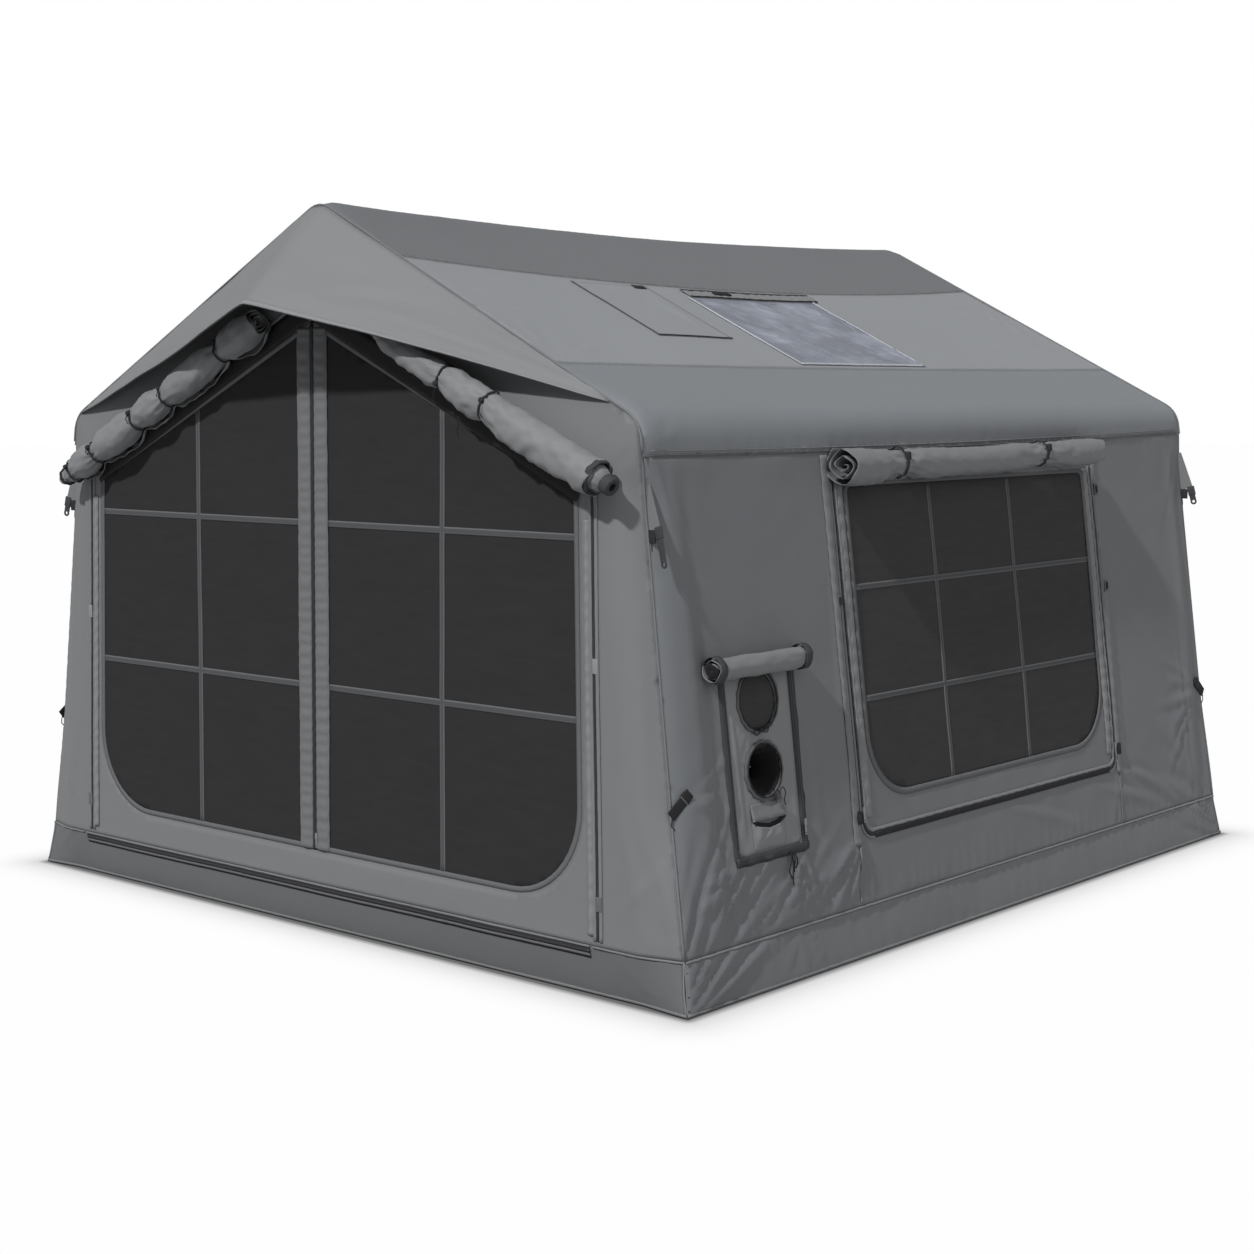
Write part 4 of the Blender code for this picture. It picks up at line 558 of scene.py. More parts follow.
@dataclass(frozen=True)
class Crease:
    """One soft crease of a cloth panel, with its valley beside it."""

    start: tuple[float, float]
    end: tuple[float, float]
    width: float
    height: float
    bend: float = 0.0
    flare: float = 0.55

    def lift(self, uv: Array) -> Array:
        """Height that the crease adds at each point.

        Args:
            uv: points, in metres.
        Returns:
            Heights, in metres.
        """
        start = np.array(self.start)
        way = np.array(self.end) - start
        length = float(np.hypot(*way))
        way = way / length
        rel = uv - start
        along = (rel @ way) / length
        across = rel[:, 0] * -way[1] + rel[:, 1] * way[0]
        across = across - self.bend * 4 * along * (1 - along)
        width = self.width * (1 - self.flare + self.flare * np.clip(along, 0, 1))
        fade = np.sin(np.clip(along, 0, 1) * math.pi) ** 0.7
        shape = np.exp(-(across / width) ** 2) - 0.45 * np.exp(-((across - 1.7 * width) / width) ** 2)
        return self.height * shape * fade


def fan(centre: tuple[float, float], angles: tuple[float, float], reach: float, width: float,
        height: float, count: int, seed: int) -> list[Crease]:
    """Creases that spread from one point.

    Args:
        centre: where they meet.
        angles: first and last direction, in degrees.
        reach: length of the longest.
        width: width at the far end.
        height: height of the highest.
        count: how many.
        seed: for their unevenness.
    Returns:
        The creases.
    """
    draw = np.random.RandomState(seed)
    made = []
    for k in range(count):
        share = (k + draw.uniform(0.2, 0.8)) / count
        turn = math.radians(angles[0] + (angles[1] - angles[0]) * share)
        length = reach * draw.uniform(0.45, 1.0)
        near = length * draw.uniform(0.0, 0.12)
        start = (centre[0] + near * math.cos(turn), centre[1] + near * math.sin(turn))
        end = (centre[0] + length * math.cos(turn), centre[1] + length * math.sin(turn))
        made.append(Crease(start, end, width * draw.uniform(0.6, 1.1), height * draw.uniform(0.45, 1.0),
                           length * draw.uniform(-0.05, 0.05)))
    return made


def path_measure(points: Array, path: Array) -> tuple[Array, Array]:
    """Nearest place on a polyline.

    Args:
        points: points, in metres.
        path: polyline, in metres.
    Returns:
        Distance along the polyline and distance from it.
    """
    best = np.full(len(points), np.inf)
    along = np.zeros(len(points))
    done = 0.0
    for start, end in zip(path[:-1], path[1:]):
        way = end - start
        length = float(np.hypot(*way))
        if length < 1e-9:
            continue
        share = np.clip(((points - start) @ way) / length ** 2, 0, 1)
        far = np.hypot(*(points - start - share[:, None] * way).T)
        near = far < best
        best = np.where(near, far, best)
        along = np.where(near, done + share * length, along)
        done += length
    return along, best


@dataclass(frozen=True)
class Pucker:
    """Ripples square to a seam, dying away from it."""

    path: tuple[tuple[float, float], ...]
    wave: float
    height: float
    reach: float
    seed: int = 1

    def lift(self, uv: Array) -> Array:
        """Height that the ripples add at each point."""
        along, far = path_measure(uv, np.array(self.path))
        drift = Grain(self.seed).waves(np.stack([along, 0 * along], 1), self.wave * 3)
        power = 0.55 + 0.6 * Grain(self.seed + 5).waves(np.stack([along, 0 * along + 3], 1), self.wave * 5)
        ripple = np.sin(math.tau * along / self.wave + 4.5 * drift)
        near = np.exp(-far / self.reach) * smooth(far / 0.004 + 0.35)
        return self.height * ripple * near * np.clip(power, 0.0, 1.2)


@dataclass(frozen=True)
class Waves:
    """Broad unevenness of a whole panel."""

    seed: int
    length: float
    height: float
    stretch: float = 1.0
    turn: float = 0.0
    octaves: int = 2

    def lift(self, uv: Array) -> Array:
        """Height that the waves add at each point."""
        return self.height * Grain(self.seed).waves(uv, self.length, self.stretch, self.turn, self.octaves)


def lift_of(folds: Iterable[object], uv: Array) -> Array:
    """Sum of the heights of several fold fields.

    Args:
        folds: creases, puckers and waves.
        uv: points, in metres.
    Returns:
        Heights, in metres.
    """
    total = np.zeros(len(uv))
    for item in folds:
        total = total + item.lift(uv)
    return total


# Plane shapes


def rounded(corners: Outline, radii: Sequence[float],
            steps: int = 8) -> list[tuple[float, float]]:
    """Outline with rounded corners.

    Args:
        corners: corners in order.
        radii: radius of each.
        steps: pieces of each round.
    Returns:
        The outline.
    """
    made: list[tuple[float, float]] = []
    count = len(corners)
    for k, radius in enumerate(radii):
        corner = Vector(corners[k])
        before = (Vector(corners[k - 1]) - corner).normalized()
        after = (Vector(corners[(k + 1) % count]) - corner).normalized()
        if radius <= 0:
            made.append(tuple(corner))
            continue
        half = before.angle(after) / 2
        reach = radius / math.tan(half)
        middle = (before + after).normalized() * (radius / math.sin(half)) + corner
        start = corner + before * reach - middle
        end = corner + after * reach - middle
        sweep = start.angle_signed(end)
        for step in range(steps + 1):
            turn = -sweep * step / steps
            x = start.x * math.cos(turn) - start.y * math.sin(turn)
            y = start.x * math.sin(turn) + start.y * math.cos(turn)
            made.append((middle.x + x, middle.y + y))
    return made


def box_outline(low_u: float, high_u: float, low_v: float, high_v: float) -> list[tuple[float, float]]:
    """Rectangle, anticlockwise."""
    return [(low_u, low_v), (high_u, low_v), (high_u, high_v), (low_u, high_v)]


def circle(centre: tuple[float, float], radius: float) -> list[tuple[float, float]]:
    """Round outline, anticlockwise."""
    steps = 40
    return [(centre[0] + radius * math.cos(math.tau * k / steps),
             centre[1] + radius * math.sin(math.tau * k / steps)) for k in range(steps)]


def dense(outline: Outline, step: float, closed: bool = True) -> Array:
    """Outline with points no further apart than a step.

    Args:
        outline: corners in order.
        step: longest distance.
        closed: whether it ends where it starts.
    Returns:
        Points of the outline.
    """
    made = []
    ends = list(outline[1:]) + ([outline[0]] if closed else [])
    for start, end in zip(outline, ends):
        count = max(1, math.ceil(math.dist(start, end) / step))
        made += [(start[0] + (end[0] - start[0]) * k / count, start[1] + (end[1] - start[1]) * k / count)
                 for k in range(count)]
    if not closed:
        made.append(tuple(outline[-1]))
    return np.array(made)


def inside(points: Array, outline: Array) -> Array:
    """Whether each point lies inside an outline.

    Args:
        points: points.
        outline: closed polygon.
    Returns:
        True or false for each point.
    """
    held = np.zeros(len(points), bool)
    x, y = points[:, 0], points[:, 1]
    for (ax, ay), (bx, by) in zip(outline, np.roll(outline, -1, axis=0)):
        if ay == by:
            continue
        crossing = ((ay > y) != (by > y)) & (x < (bx - ax) * (y - ay) / (by - ay) + ax)
        held ^= crossing
    return held


def within(points: Array, loops: Sequence[Array]) -> Array:
    """Whether each point lies inside the first outline and outside the others.

    Args:
        points: points.
        loops: outer edge, then openings.
    Returns:
        True or false for each point.
    """
    keep = inside(points, loops[0])
    for loop in loops[1:]:
        keep &= ~inside(points, loop)
    return keep


def edge_distance(points: Array, loops: Sequence[Array]) -> Array:
    """Distance to the nearest of several closed outlines."""
    best = np.full(len(points), np.inf)
    for loop in loops:
        closed = np.vstack([loop, loop[:1]])
        best = np.minimum(best, path_measure(points, closed)[1])
    return best


def net_of(outline: Outline, holes: Sequence[Outline],
           step: float) -> tuple[Array, Array, Array]:
    """Fine triangle net inside an outline.

    Args:
        outline: outer edge.
        holes: inner edges.
        step: distance between points.
    Returns:
        Points, triangles, and distance of each point to the nearest edge.
    """
    loops = [dense(loop, step) for loop in (outline, *holes)]
    low = loops[0].min(axis=0)
    high = loops[0].max(axis=0)
    rows = np.arange(low[1] + step * 0.5, high[1], step * NET_ROW)
    columns = np.arange(low[0] + step * 0.4, high[0], step)
    grid = np.array([(x + (step * 0.5 if k % 2 else 0), y) for k, y in enumerate(rows) for x in columns])
    grid = grid[within(grid, loops)]
    grid = grid[edge_distance(grid, loops) > step * NET_CLEAR]
    points: list[tuple[float, float]] = []
    edges: list[tuple[int, int]] = []
    for loop in loops:
        first = len(points)
        count = len(loop)
        points += [tuple(point) for point in loop]
        edges += [(first + k, first + (k + 1) % count) for k in range(count)]
    points += [tuple(point) for point in grid]
    found = delaunay_2d_cdt([Vector(point) for point in points], edges, [], 0, 1e-6, False)
    flat = np.array([tuple(point) for point in found[0]])
    faces = np.array([face for face in found[2] if len(face) == 3])
    faces = faces[within(flat[faces].mean(axis=1), loops)]
    used = np.unique(faces)
    order = np.full(len(flat), -1)
    order[used] = np.arange(len(used))
    flat = flat[used]
    faces = order[faces]
    turn = np.cross(flat[faces[:, 1]] - flat[faces[:, 0]], flat[faces[:, 2]] - flat[faces[:, 0]])
    faces[turn < 0] = faces[turn < 0][:, ::-1]
    return flat, faces, edge_distance(flat, loops)


def quads(index: Array) -> Array:
    """Faces of a sheet from the numbers of its points, laid out in rows and columns.

    Args:
        index: numbers of the points.
    Returns:
        Four numbers to each face.
    """
    corners = (index[:-1, :-1], index[1:, :-1], index[1:, 1:], index[:-1, 1:])
    return np.stack([corner.ravel() for corner in corners], 1)


def ring_faces(rings: int, around: int, closed: bool) -> list[tuple[int, ...]]:
    """Faces between successive rings of points.

    Args:
        rings: number of rings.
        around: points of each ring.
        closed: whether the last ring joins the first.
    Returns:
        The faces.
    """
    faces: list[tuple[int, ...]] = []
    for k in range(rings if closed else rings - 1):
        low, high = k * around, (k + 1) % rings * around
        faces += [(low + j, low + (j + 1) % around, high + (j + 1) % around, high + j) for j in range(around)]
    return faces


# The tent's skin


@dataclass(frozen=True)
class Skin:
    """Outer surface of the tent: the sizes of the part's source, and the rounding that only the scene has."""

    side_foot_x: float = 1.492
    side_eave_x: float = 1.310
    eave_seam_z: float = 1.515
    end_foot_y: float = 1.5725
    end_top_y: float = 1.535
    knee_z: float = 1.600
    ridge_line_z: float = 2.260
    ridge_r: float = 0.100
    knee_r: float = 0.100
    sag: float = 0.036
    ridge_seam_x: float = 0.360
    scallop: float = 0.060
    eave_seam_x: float = 0.990
    bow: float = 0.033
    bow_side: float = 0.140
    bow_top: float = 0.215
    skirt_top: float = 0.150
    flare_side: float = 0.008
    flare_end: float = 0.016
    bow_ease: float = 0.35
    corner_r: float = 0.105
    corner_least: float = 0.012
    corner_ease: tuple[float, float, float] = (0.45, 0.045, 0.20)
    tight_corner: float = 0.35
    eave_hang: float = 0.020
    eave_hang_y: float = -0.5
    eave_hang_reach: float = 1.9
    thickness: float = 0.0014

    @property
    def wall_lean(self) -> float:
        """Angle of the side walls from upright."""
        return math.atan2(self.side_foot_x - self.side_eave_x, self.eave_seam_z)

    @property
    def knee_x(self) -> float:
        """Half-width at the knee."""
        return float(self.side_x(self.knee_z))

    @property
    def roof_angle(self) -> float:
        """Slope of the roof."""
        return math.atan2(self.ridge_line_z - self.knee_z, self.knee_x)

    @property
    def ridge_arc(self) -> float:
        """Half-length of the rounded ridge."""
        return self.ridge_r * self.roof_angle

    @property
    def knee_turn(self) -> float:
        """Turn of the rounded knee."""
        return math.pi / 2 - self.roof_angle - self.wall_lean

    @property
    def knee_tangent(self) -> float:
        """Distance from the knee's corner to its round."""
        return self.knee_r * math.tan(self.knee_turn / 2)

    @property
    def knee_start(self) -> float:
        """Distance from the ridge at which the knee starts."""
        slope = self.knee_x / math.cos(self.roof_angle) - self.ridge_r * math.tan(self.roof_angle)
        return self.ridge_arc + slope - self.knee_tangent

    @property
    def knee_end(self) -> float:
        """Distance from the ridge at which the knee ends."""
        return self.knee_start + self.knee_r * self.knee_turn

    @property
    def eave_seam_s(self) -> float:
        """Distance from the ridge to the seam with the side wall."""
        wall_top = self.knee_z - self.knee_tangent * math.cos(self.wall_lean)
        return self.knee_end + (wall_top - self.eave_seam_z) / math.cos(self.wall_lean)

    def side_x(self, z: Array | float) -> Array | float:
        """Half-width of the side wall at height z."""
        return self.side_foot_x - (self.side_foot_x - self.side_eave_x) * z / self.eave_seam_z

    def end_y(self, z: Array | float) -> Array | float:
        """Half-length of the end wall at height z."""
        return self.end_foot_y - (self.end_foot_y - self.end_top_y) * z / self.ridge_line_z

    def roof_line(self, x: Array | float) -> Array | float:
        """Height of the straight roof line at half-width x."""
        return self.ridge_line_z - x * math.tan(self.roof_angle)

    def slope_s(self, x: Array | float) -> Array | float:
        """Distance from the ridge of half-width x."""
        return self.ridge_arc + (x - self.ridge_r * math.sin(self.roof_angle)) / math.cos(self.roof_angle)

    def ridge_seam(self, y: Array | float) -> Array | float:
        """Distance from the ridge of the scalloped seam."""
        return self.slope_s(self.ridge_seam_x + self.scallop * (1 - (y / self.end_foot_y) ** 2))

    def section(self, s: Array, rise: Array | float = 0.0) -> tuple[Array, Array]:
        """Point of the right half-section.

        Args:
            s: distances from the ridge, not negative.
            rise: height above the outer face.
        Returns:
            X and Z.
        """
        sin_a, cos_a = math.sin(self.roof_angle), math.cos(self.roof_angle)
        s = np.asarray(s, float)
        turn_ridge = np.clip(s, 0, self.ridge_arc) / self.ridge_r
        along = np.clip(s, self.ridge_arc, self.knee_start) - self.ridge_arc
        turn_knee = np.clip(s - self.knee_start, 0, self.knee_end - self.knee_start) / self.knee_r
        below = np.clip(s - self.knee_end, 0, None)
        centre_z = self.ridge_line_z - self.ridge_r / cos_a
        angle = turn_ridge + turn_knee
        x = self.ridge_r * np.sin(turn_ridge) + along * cos_a
        z = centre_z + self.ridge_r * np.cos(turn_ridge) - along * sin_a
        x += self.knee_r * (np.sin(self.roof_angle + turn_knee) - sin_a)
        z += self.knee_r * (np.cos(self.roof_angle + turn_knee) - cos_a)
        x += below * math.sin(self.wall_lean)
        z -= below * math.cos(self.wall_lean)
        return x + rise * np.sin(angle), z + rise * np.cos(angle)

    def dip(self, x: Array, y: Array) -> Array:
        """Sag of the roof below its straight slopes."""
        return (self.sag * np.clip(1 - (y / self.end_top_y) ** 2, 0, None)
                * np.clip(1 - x / self.knee_x, 0, None))

    def roof(self, s: Array, y: Array, rise: Array | float = 0.0) -> Array:
        """Points of the roof at signed distances from the ridge.

        Args:
            s: distance from the ridge, positive to the right.
            y: length coordinate.
            rise: height above the outer face.
        Returns:
            Points.
        """
        x, z = self.section(np.abs(s), rise)
        return np.stack([np.copysign(x, s), y + 0 * x, z - self.dip(x, y)], 1)

    def bow_share(self, x: Array, z: Array) -> Array:
        """Share of the front wall's bow."""
        top = (self.roof_line(np.abs(x)) - z) / self.bow_top
        side = (self.side_x(z) - np.abs(x)) / self.bow_side
        share = np.clip(np.minimum(top, side), 0, 1)
        return smooth(share) * self.bow_ease + share * (1 - self.bow_ease)

    def eave_seam(self, y: Array) -> Array:
        """Distance from the ridge of the seam over a side wall, which hangs lowest before its middle."""
        return self.eave_seam_s + self.eave_hang * (1 - ((y - self.eave_hang_y) / self.eave_hang_reach) ** 2)

    def corner_radius(self, z: Array) -> Array:
        """Radius of the upright corners, small at the skirt and at the eave."""
        low_ease, high_start, high_ease = self.corner_ease
        low = smooth((z - self.skirt_top) / low_ease)
        high = smooth((self.eave_seam_z + high_start - z) / high_ease)
        return self.corner_least + (self.corner_r - self.corner_least) * low * high

    def soften(self, far: Array, z: Array, share: Array | float = 1.0) -> tuple[Array, Array]:
        """Round the upright corner of a wall.

        Args:
            far: distance from the corner along the wall.
            z: height.
            share: share of the radius that this corner has.
        Returns:
            Shift away from the corner along the wall, and depth behind it.
        """
        radius = self.corner_radius(z) * share
        turn = np.clip((radius - far) / radius, 0, 1) * math.pi / 4
        shift = (1 - np.sin(turn)) * radius - np.clip(far, None, radius)
        return np.where(far < radius, shift, 0.0), radius * (1 - np.cos(turn))

    def front(self, x: Array, z: Array, rise: Array | float = 0.0) -> Array:
        """Points of the front wall."""
        far = self.side_x(z) - np.abs(x)
        shift, depth = self.soften(far, z, np.where(np.asarray(x) < 0, self.tight_corner, 1.0))
        y = -self.end_y(z) - self.bow * self.bow_share(x, z) - rise + depth
        return np.stack([x - np.sign(x) * shift, y, z + 0 * x], 1)

    def rear(self, x: Array, z: Array, rise: Array | float = 0.0) -> Array:
        """Points of the rear wall."""
        far = self.side_x(z) - np.abs(x)
        shift, depth = self.soften(far, z, self.tight_corner)
        return np.stack([x - np.sign(x) * shift, self.end_y(z) + rise - depth, z + 0 * x], 1)

    def side(self, sign: int) -> Place:
        """Surface of one side wall.

        Args:
            sign: plus one for the right wall, minus one for the left one.
        Returns:
            Function from y, z and rise to points.
        """
        lean = self.wall_lean

        def place(y: Array, z: Array, rise: Array | float = 0.0) -> Array:
            """Points of the side wall."""
            far = self.end_y(z) - np.abs(y)
            share = np.where((np.asarray(y) > 0) | (sign < 0), self.tight_corner, 1.0)
            shift, depth = self.soften(far, z, share)
            out = rise - depth
            x = self.side_x(z) + out * math.cos(lean)
            return np.stack([sign * x, y - np.sign(y) * shift, z + out * math.sin(lean)], 1)

        return place

    def skirt_end(self, end: int) -> Place:
        """Surface of one end skirt panel.

        Args:
            end: minus one for the front panel, plus one for the rear one.
        Returns:
            Function from x, z and rise to points.
        """
        wall = self.front if end < 0 else self.rear

        def place(x: Array, z: Array, rise: Array | float = 0.0) -> Array:
            """Points of the end skirt panel."""
            top = wall(x, np.full(len(x), self.skirt_top), rise)
            bowed = (np.clip((self.side_x(self.skirt_top) - np.abs(x)) / self.bow_side, 0, 1)
                     if end < 0 else 0.0)
            hem = end * (self.end_foot_y + self.flare_end * (1 - bowed) + rise)
            y = hem + (top[:, 1] - hem) * z / self.skirt_top
            return np.stack([top[:, 0] + (x - top[:, 0]) * (1 - z / self.skirt_top), y, z + 0 * x], 1)

        return place

    def skirt_side(self, sign: int) -> Place:
        """Surface of one side skirt panel.

        Args:
            sign: plus one for the right panel, minus one for the left one.
        Returns:
            Function from y, z and rise to points.
        """
        wall = self.side(sign)

        def place(y: Array, z: Array, rise: Array | float = 0.0) -> Array:
            """Points of the side skirt panel, y given at the hem."""
            share = z / self.skirt_top
            hem_y = self.end_foot_y + self.flare_end
            top_y = self.end_y(self.skirt_top)
            at = y * (1 + (top_y / hem_y - 1) * share)
            top = wall(y * top_y / hem_y, np.full(len(y), self.skirt_top), rise)
            hem_x = self.side_foot_x + self.flare_side + rise
            x = hem_x + (np.abs(top[:, 0]) - hem_x) * share
            return np.stack([sign * x, at + (top[:, 1] - y * top_y / hem_y) * share, z + 0 * y], 1)

        return place


SKIN = Skin()


@dataclass
class Surface:
    """A laid panel that other pieces lie on: where it is and how high its folds stand."""

    place: Place
    folds: Sequence[object] = ()
    loops: Sequence[Array] = ()
    calm: float = 0.03
    swell: Relief | None = None

    def height(self, uv: Array) -> Array:
        """Height of the panel's outer face above its surface.

        Args:
            uv: points.
        Returns:
            Heights, in metres.
        """
        if not len(self.loops):
            return lift_of(self.folds, uv)
        edge = edge_distance(uv, self.loops)
        share = smooth(edge / self.calm) if self.calm > 0 else 1.0
        height = lift_of(self.folds, uv) * share
        if self.swell is not None:
            height = height + self.swell(uv, edge)
        return height

    def point(self, u: float, v: float, rise: float = 0.0) -> Array:
        """One point at a rise above the panel's folds."""
        height = float(self.height(np.array([[u, v]]))[0]) + rise
        return point_of(self.place, u, v, height)


def point_of(place: Place, u: float, v: float, rise: float = 0.0) -> Array:
    """One point of a surface."""
    return place(np.array([u]), np.array([v]), rise)[0]


# Sewing


@dataclass(frozen=True)
class Tape:
    """A tape to be laid on a surface: its line, sizes and cloth, and the ripples along it."""

    path: Outline
    width: float
    finish: Finish
    rise: float
    thickness: float = 0.0012
    step: float = 0.02
    across: int = 2
    arch: float = 0.0
    ruffle: tuple[float, float] = (0.0, 0.05)
    closed: bool = False


@dataclass
class Workroom:
    """Makes the pieces, and notes how the sheets are held and what is sewn to them."""

    held: dict[str, tuple[bpy.types.Object, tuple[float, float], Held, float | None]] = field(
        default_factory=dict)
    sewn: dict[str, list[bpy.types.Object]] = field(default_factory=dict)

    def hold(self, piece: bpy.types.Object, flat: tuple[float, float], held: Held,
             area: float | None = None, with_pieces: Sequence[bpy.types.Object] = ()) -> None:
        """Note a sheet, to be declared once all that is sewn to it is made.

        Args:
            piece: the sheet.
            flat: width and length of the cut cloth.
            held: how it is held.
            area: area of the cut where it isn't a rectangle.
            with_pieces: pieces sewn to it.
        """
        self.held[piece.name] = (piece, flat, held, area)
        self.sewn.setdefault(piece.name, []).extend(with_pieces)

    def sew(self, sheet: str, piece: bpy.types.Object) -> None:
        """Note a piece that is sewn to a sheet."""
        self.sewn.setdefault(sheet, []).append(piece)

    def declare(self) -> None:
        """Log every sheet with its cut size and how it is held."""
        for name, (piece, flat, held, area) in self.held.items():
            LOG.info("%s: sheet %.2f by %.2f m, %s", name, *flat, held.value)

    def piece(self, name: str, points: Array, faces: Sequence[Sequence[int]], finish: Finish,
              body: str = "tent", flat_faces: int = 0,
              measures: dict[str, Array] | None = None) -> bpy.types.Object:
        """Add a mesh piece.

        Args:
            name: name of the piece.
            points: its points.
            faces: its faces.
            finish: its finish.
            body: body it rides on.
            flat_faces: how many faces at the end of the list are shaded flat.
            measures: numbers stored on the points.
        Returns:
            The piece.
        """
        mesh = bpy.data.meshes.new(name)
        mesh.from_pydata([tuple(point) for point in points], [], [tuple(face) for face in faces])
        mesh.polygons.foreach_set("use_smooth", [k < len(faces) - flat_faces for k in range(len(faces))])
        for key, values in (measures or {}).items():
            layer = mesh.attributes.new(key, "FLOAT", "POINT")
            layer.data.foreach_set("value", np.asarray(values, np.float32))
        mesh.materials.append(finish.material())
        mesh.update()
        made = bpy.data.objects.new(name, mesh)
        bpy.context.scene.collection.objects.link(made)
        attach(made, body)
        LOG.info("%s: %d faces on %s", name, len(faces), body)
        return made

    def sheet(self, name: str, outline: Outline,
              holes: Sequence[Outline], place: Place, finish: Finish,
              folds: Iterable[object] = (), step: float = 0.02, thickness: float = SKIN.thickness,
              rise: float = 0.0, calm: float = 0.03, body: str = "tent", over: Surface | None = None,
              swell: Relief | None = None) -> bpy.types.Object:
        """Cut a cloth panel, lay it on a surface with its folds and give it a thickness.

        Args:
            name: name of the piece.
            outline: outer edge in the surface's own coordinates.
            holes: openings.
            place: surface, from two coordinates and a rise to points.
            finish: cloth.
            folds: fold fields.
            step: size of the net.
            thickness: thickness of the cloth.
            rise: height of the outer face above the surface.
            calm: distance from the edges over which the folds grow to their height.
            body: body it rides on.
            over: panel that it lies on.
            swell: extra height from points and edge distance, not calmed.
        Returns:
            The piece.
        """
        flat, faces, edge = net_of(outline, holes, step)
        share = smooth(edge / calm) if calm > 0 else np.ones(len(flat))
        height = lift_of(folds, flat) * share + rise
        if over is not None:
            height = height + over.height(flat)
        if swell is not None:
            height = height + swell(flat, edge)
        outer = place(flat[:, 0], flat[:, 1], height)
        inner = place(flat[:, 0], flat[:, 1], height - thickness)
        return self.closed(name, outer, inner, faces, finish, body, {"edge": edge})

    def closed(self, name: str, outer: Array, inner: Array, faces: Array, finish: Finish,
               body: str = "tent", measures: dict[str, Array] | None = None) -> bpy.types.Object:
        """Closed thin piece from its two faces.

        Args:
            name: name of the piece.
            outer: points of the outer face.
            inner: points of the inner face.
            faces: triangles or quads, seen from outside.
            finish: its finish.
            body: body it rides on.
            measures: numbers on the outer points, repeated inside.
        Returns:
            The piece.
        """
        sample = outer[faces[:, :3]]
        normal = np.cross(sample[:, 1] - sample[:, 0], sample[:, 2] - sample[:, 0])
        if float((normal * (outer - inner)[faces[:, 0]]).sum()) < 0:
            faces = faces[:, ::-1]
        count = len(outer)
        width = faces.shape[1]
        starts = np.concatenate([faces[:, k] for k in range(width)])
        ends = np.concatenate([faces[:, (k + 1) % width] for k in range(width)])
        known = set(zip(starts.tolist(), ends.tolist()))
        rim = sorted((b, a, a + count, b + count) for a, b in known if (b, a) not in known)
        every = [tuple(face) for face in np.vstack([faces, faces[:, ::-1] + count]).tolist()]
        doubled = {key: np.concatenate([value, value]) for key, value in (measures or {}).items()}
        return self.piece(name, np.vstack([outer, inner]), every + rim, finish, body, len(rim), doubled)

    def grid(self, name: str, u: Array, v: Array, place: Place, finish: Finish,
             folds: Iterable[object] = (), thickness: float = SKIN.thickness, calm: float = 0.03,
             warp: Callable[[Array], Array] | None = None,
             swell: Relief | None = None) -> bpy.types.Object:
        """Cloth panel on a regular grid.

        Args:
            name: name of the piece.
            u: stations of the first coordinate.
            v: stations of the second coordinate.
            place: surface.
            finish: cloth.
            folds: fold fields, in the warped coordinates.
            thickness: thickness of the cloth.
            calm: distance over which the folds grow from the edges.
            warp: change of the coordinates, from the grid's to the surface's.
            swell: extra height from points and edge distance.
        Returns:
            The piece.
        """
        grid_u, grid_v = np.meshgrid(u, v, indexing="ij")
        flat = np.stack([grid_u.ravel(), grid_v.ravel()], 1)
        if warp is not None:
            flat = warp(flat)
        rows, columns = len(u), len(v)
        index = np.arange(rows * columns).reshape(rows, columns)
        loop = np.concatenate([index[:, 0], index[-1, 1:], index[-2::-1, -1], index[0, -2:0:-1]])
        edge = edge_distance(flat, [flat[loop]])
        share = smooth(edge / calm) if calm > 0 else np.ones(len(flat))
        height = lift_of(folds, flat) * share
        if swell is not None:
            height = height + swell(flat, edge)
        outer = place(flat[:, 0], flat[:, 1], height)
        inner = place(flat[:, 0], flat[:, 1], height - thickness)
        return self.closed(name, outer, inner, quads(index), finish, measures={"edge": edge})

    def strip(self, name: str, tape: Tape, place: Place, over: Surface | None = None,
              body: str = "tent") -> bpy.types.Object:
        """Tape laid along its line on a surface.

        Args:
            name: name of the piece.
            tape: the tape.
            place: surface.
            over: panel that it lies on.
            body: body it rides on.
        Returns:
            The piece.
        """
        line = dense(tape.path, tape.step, tape.closed)
        if tape.closed:
            way = np.roll(line, -1, axis=0) - np.roll(line, 1, axis=0)
        else:
            way = np.gradient(line, axis=0)
        way = way / np.maximum(np.hypot(*way.T), 1e-9)[:, None]
        normal = np.stack([-way[:, 1], way[:, 0]], 1)
        rows, columns = len(line), tape.across + 1
        shares = np.linspace(-0.5, 0.5, columns)
        flat = (line[:, None, :] + normal[:, None, :] * shares[None, :, None] * tape.width).reshape(-1, 2)
        length = np.concatenate([[0], np.cumsum(np.hypot(*np.diff(line, axis=0).T))])
        height = np.full(len(flat), tape.rise)
        if over is not None:
            height = height + over.height(flat)
        bend = np.tile(1 - (2 * shares) ** 2, rows)
        height = height + tape.arch * bend
        ripple, spacing = tape.ruffle
        if ripple > 0:
            drift = Grain(rows).waves(np.stack([length, 0 * length], 1), spacing * 3)
            wave = np.repeat(np.sin(math.tau * length / spacing + 4 * drift), columns)
            height = height + ripple * (0.5 + 0.5 * wave) * (RUFFLE_EDGE + (1 - RUFFLE_EDGE) * bend)
        index = np.arange(rows * columns).reshape(rows, columns)
        if tape.closed:
            index = np.vstack([index, index[:1]])
        outer = place(flat[:, 0], flat[:, 1], height + tape.thickness)
        inner = place(flat[:, 0], flat[:, 1], height)
        edge = np.tile((0.5 - np.abs(shares)) * tape.width, rows)
        return self.closed(name, outer, inner, quads(index), tape.finish, body, {"edge": edge})

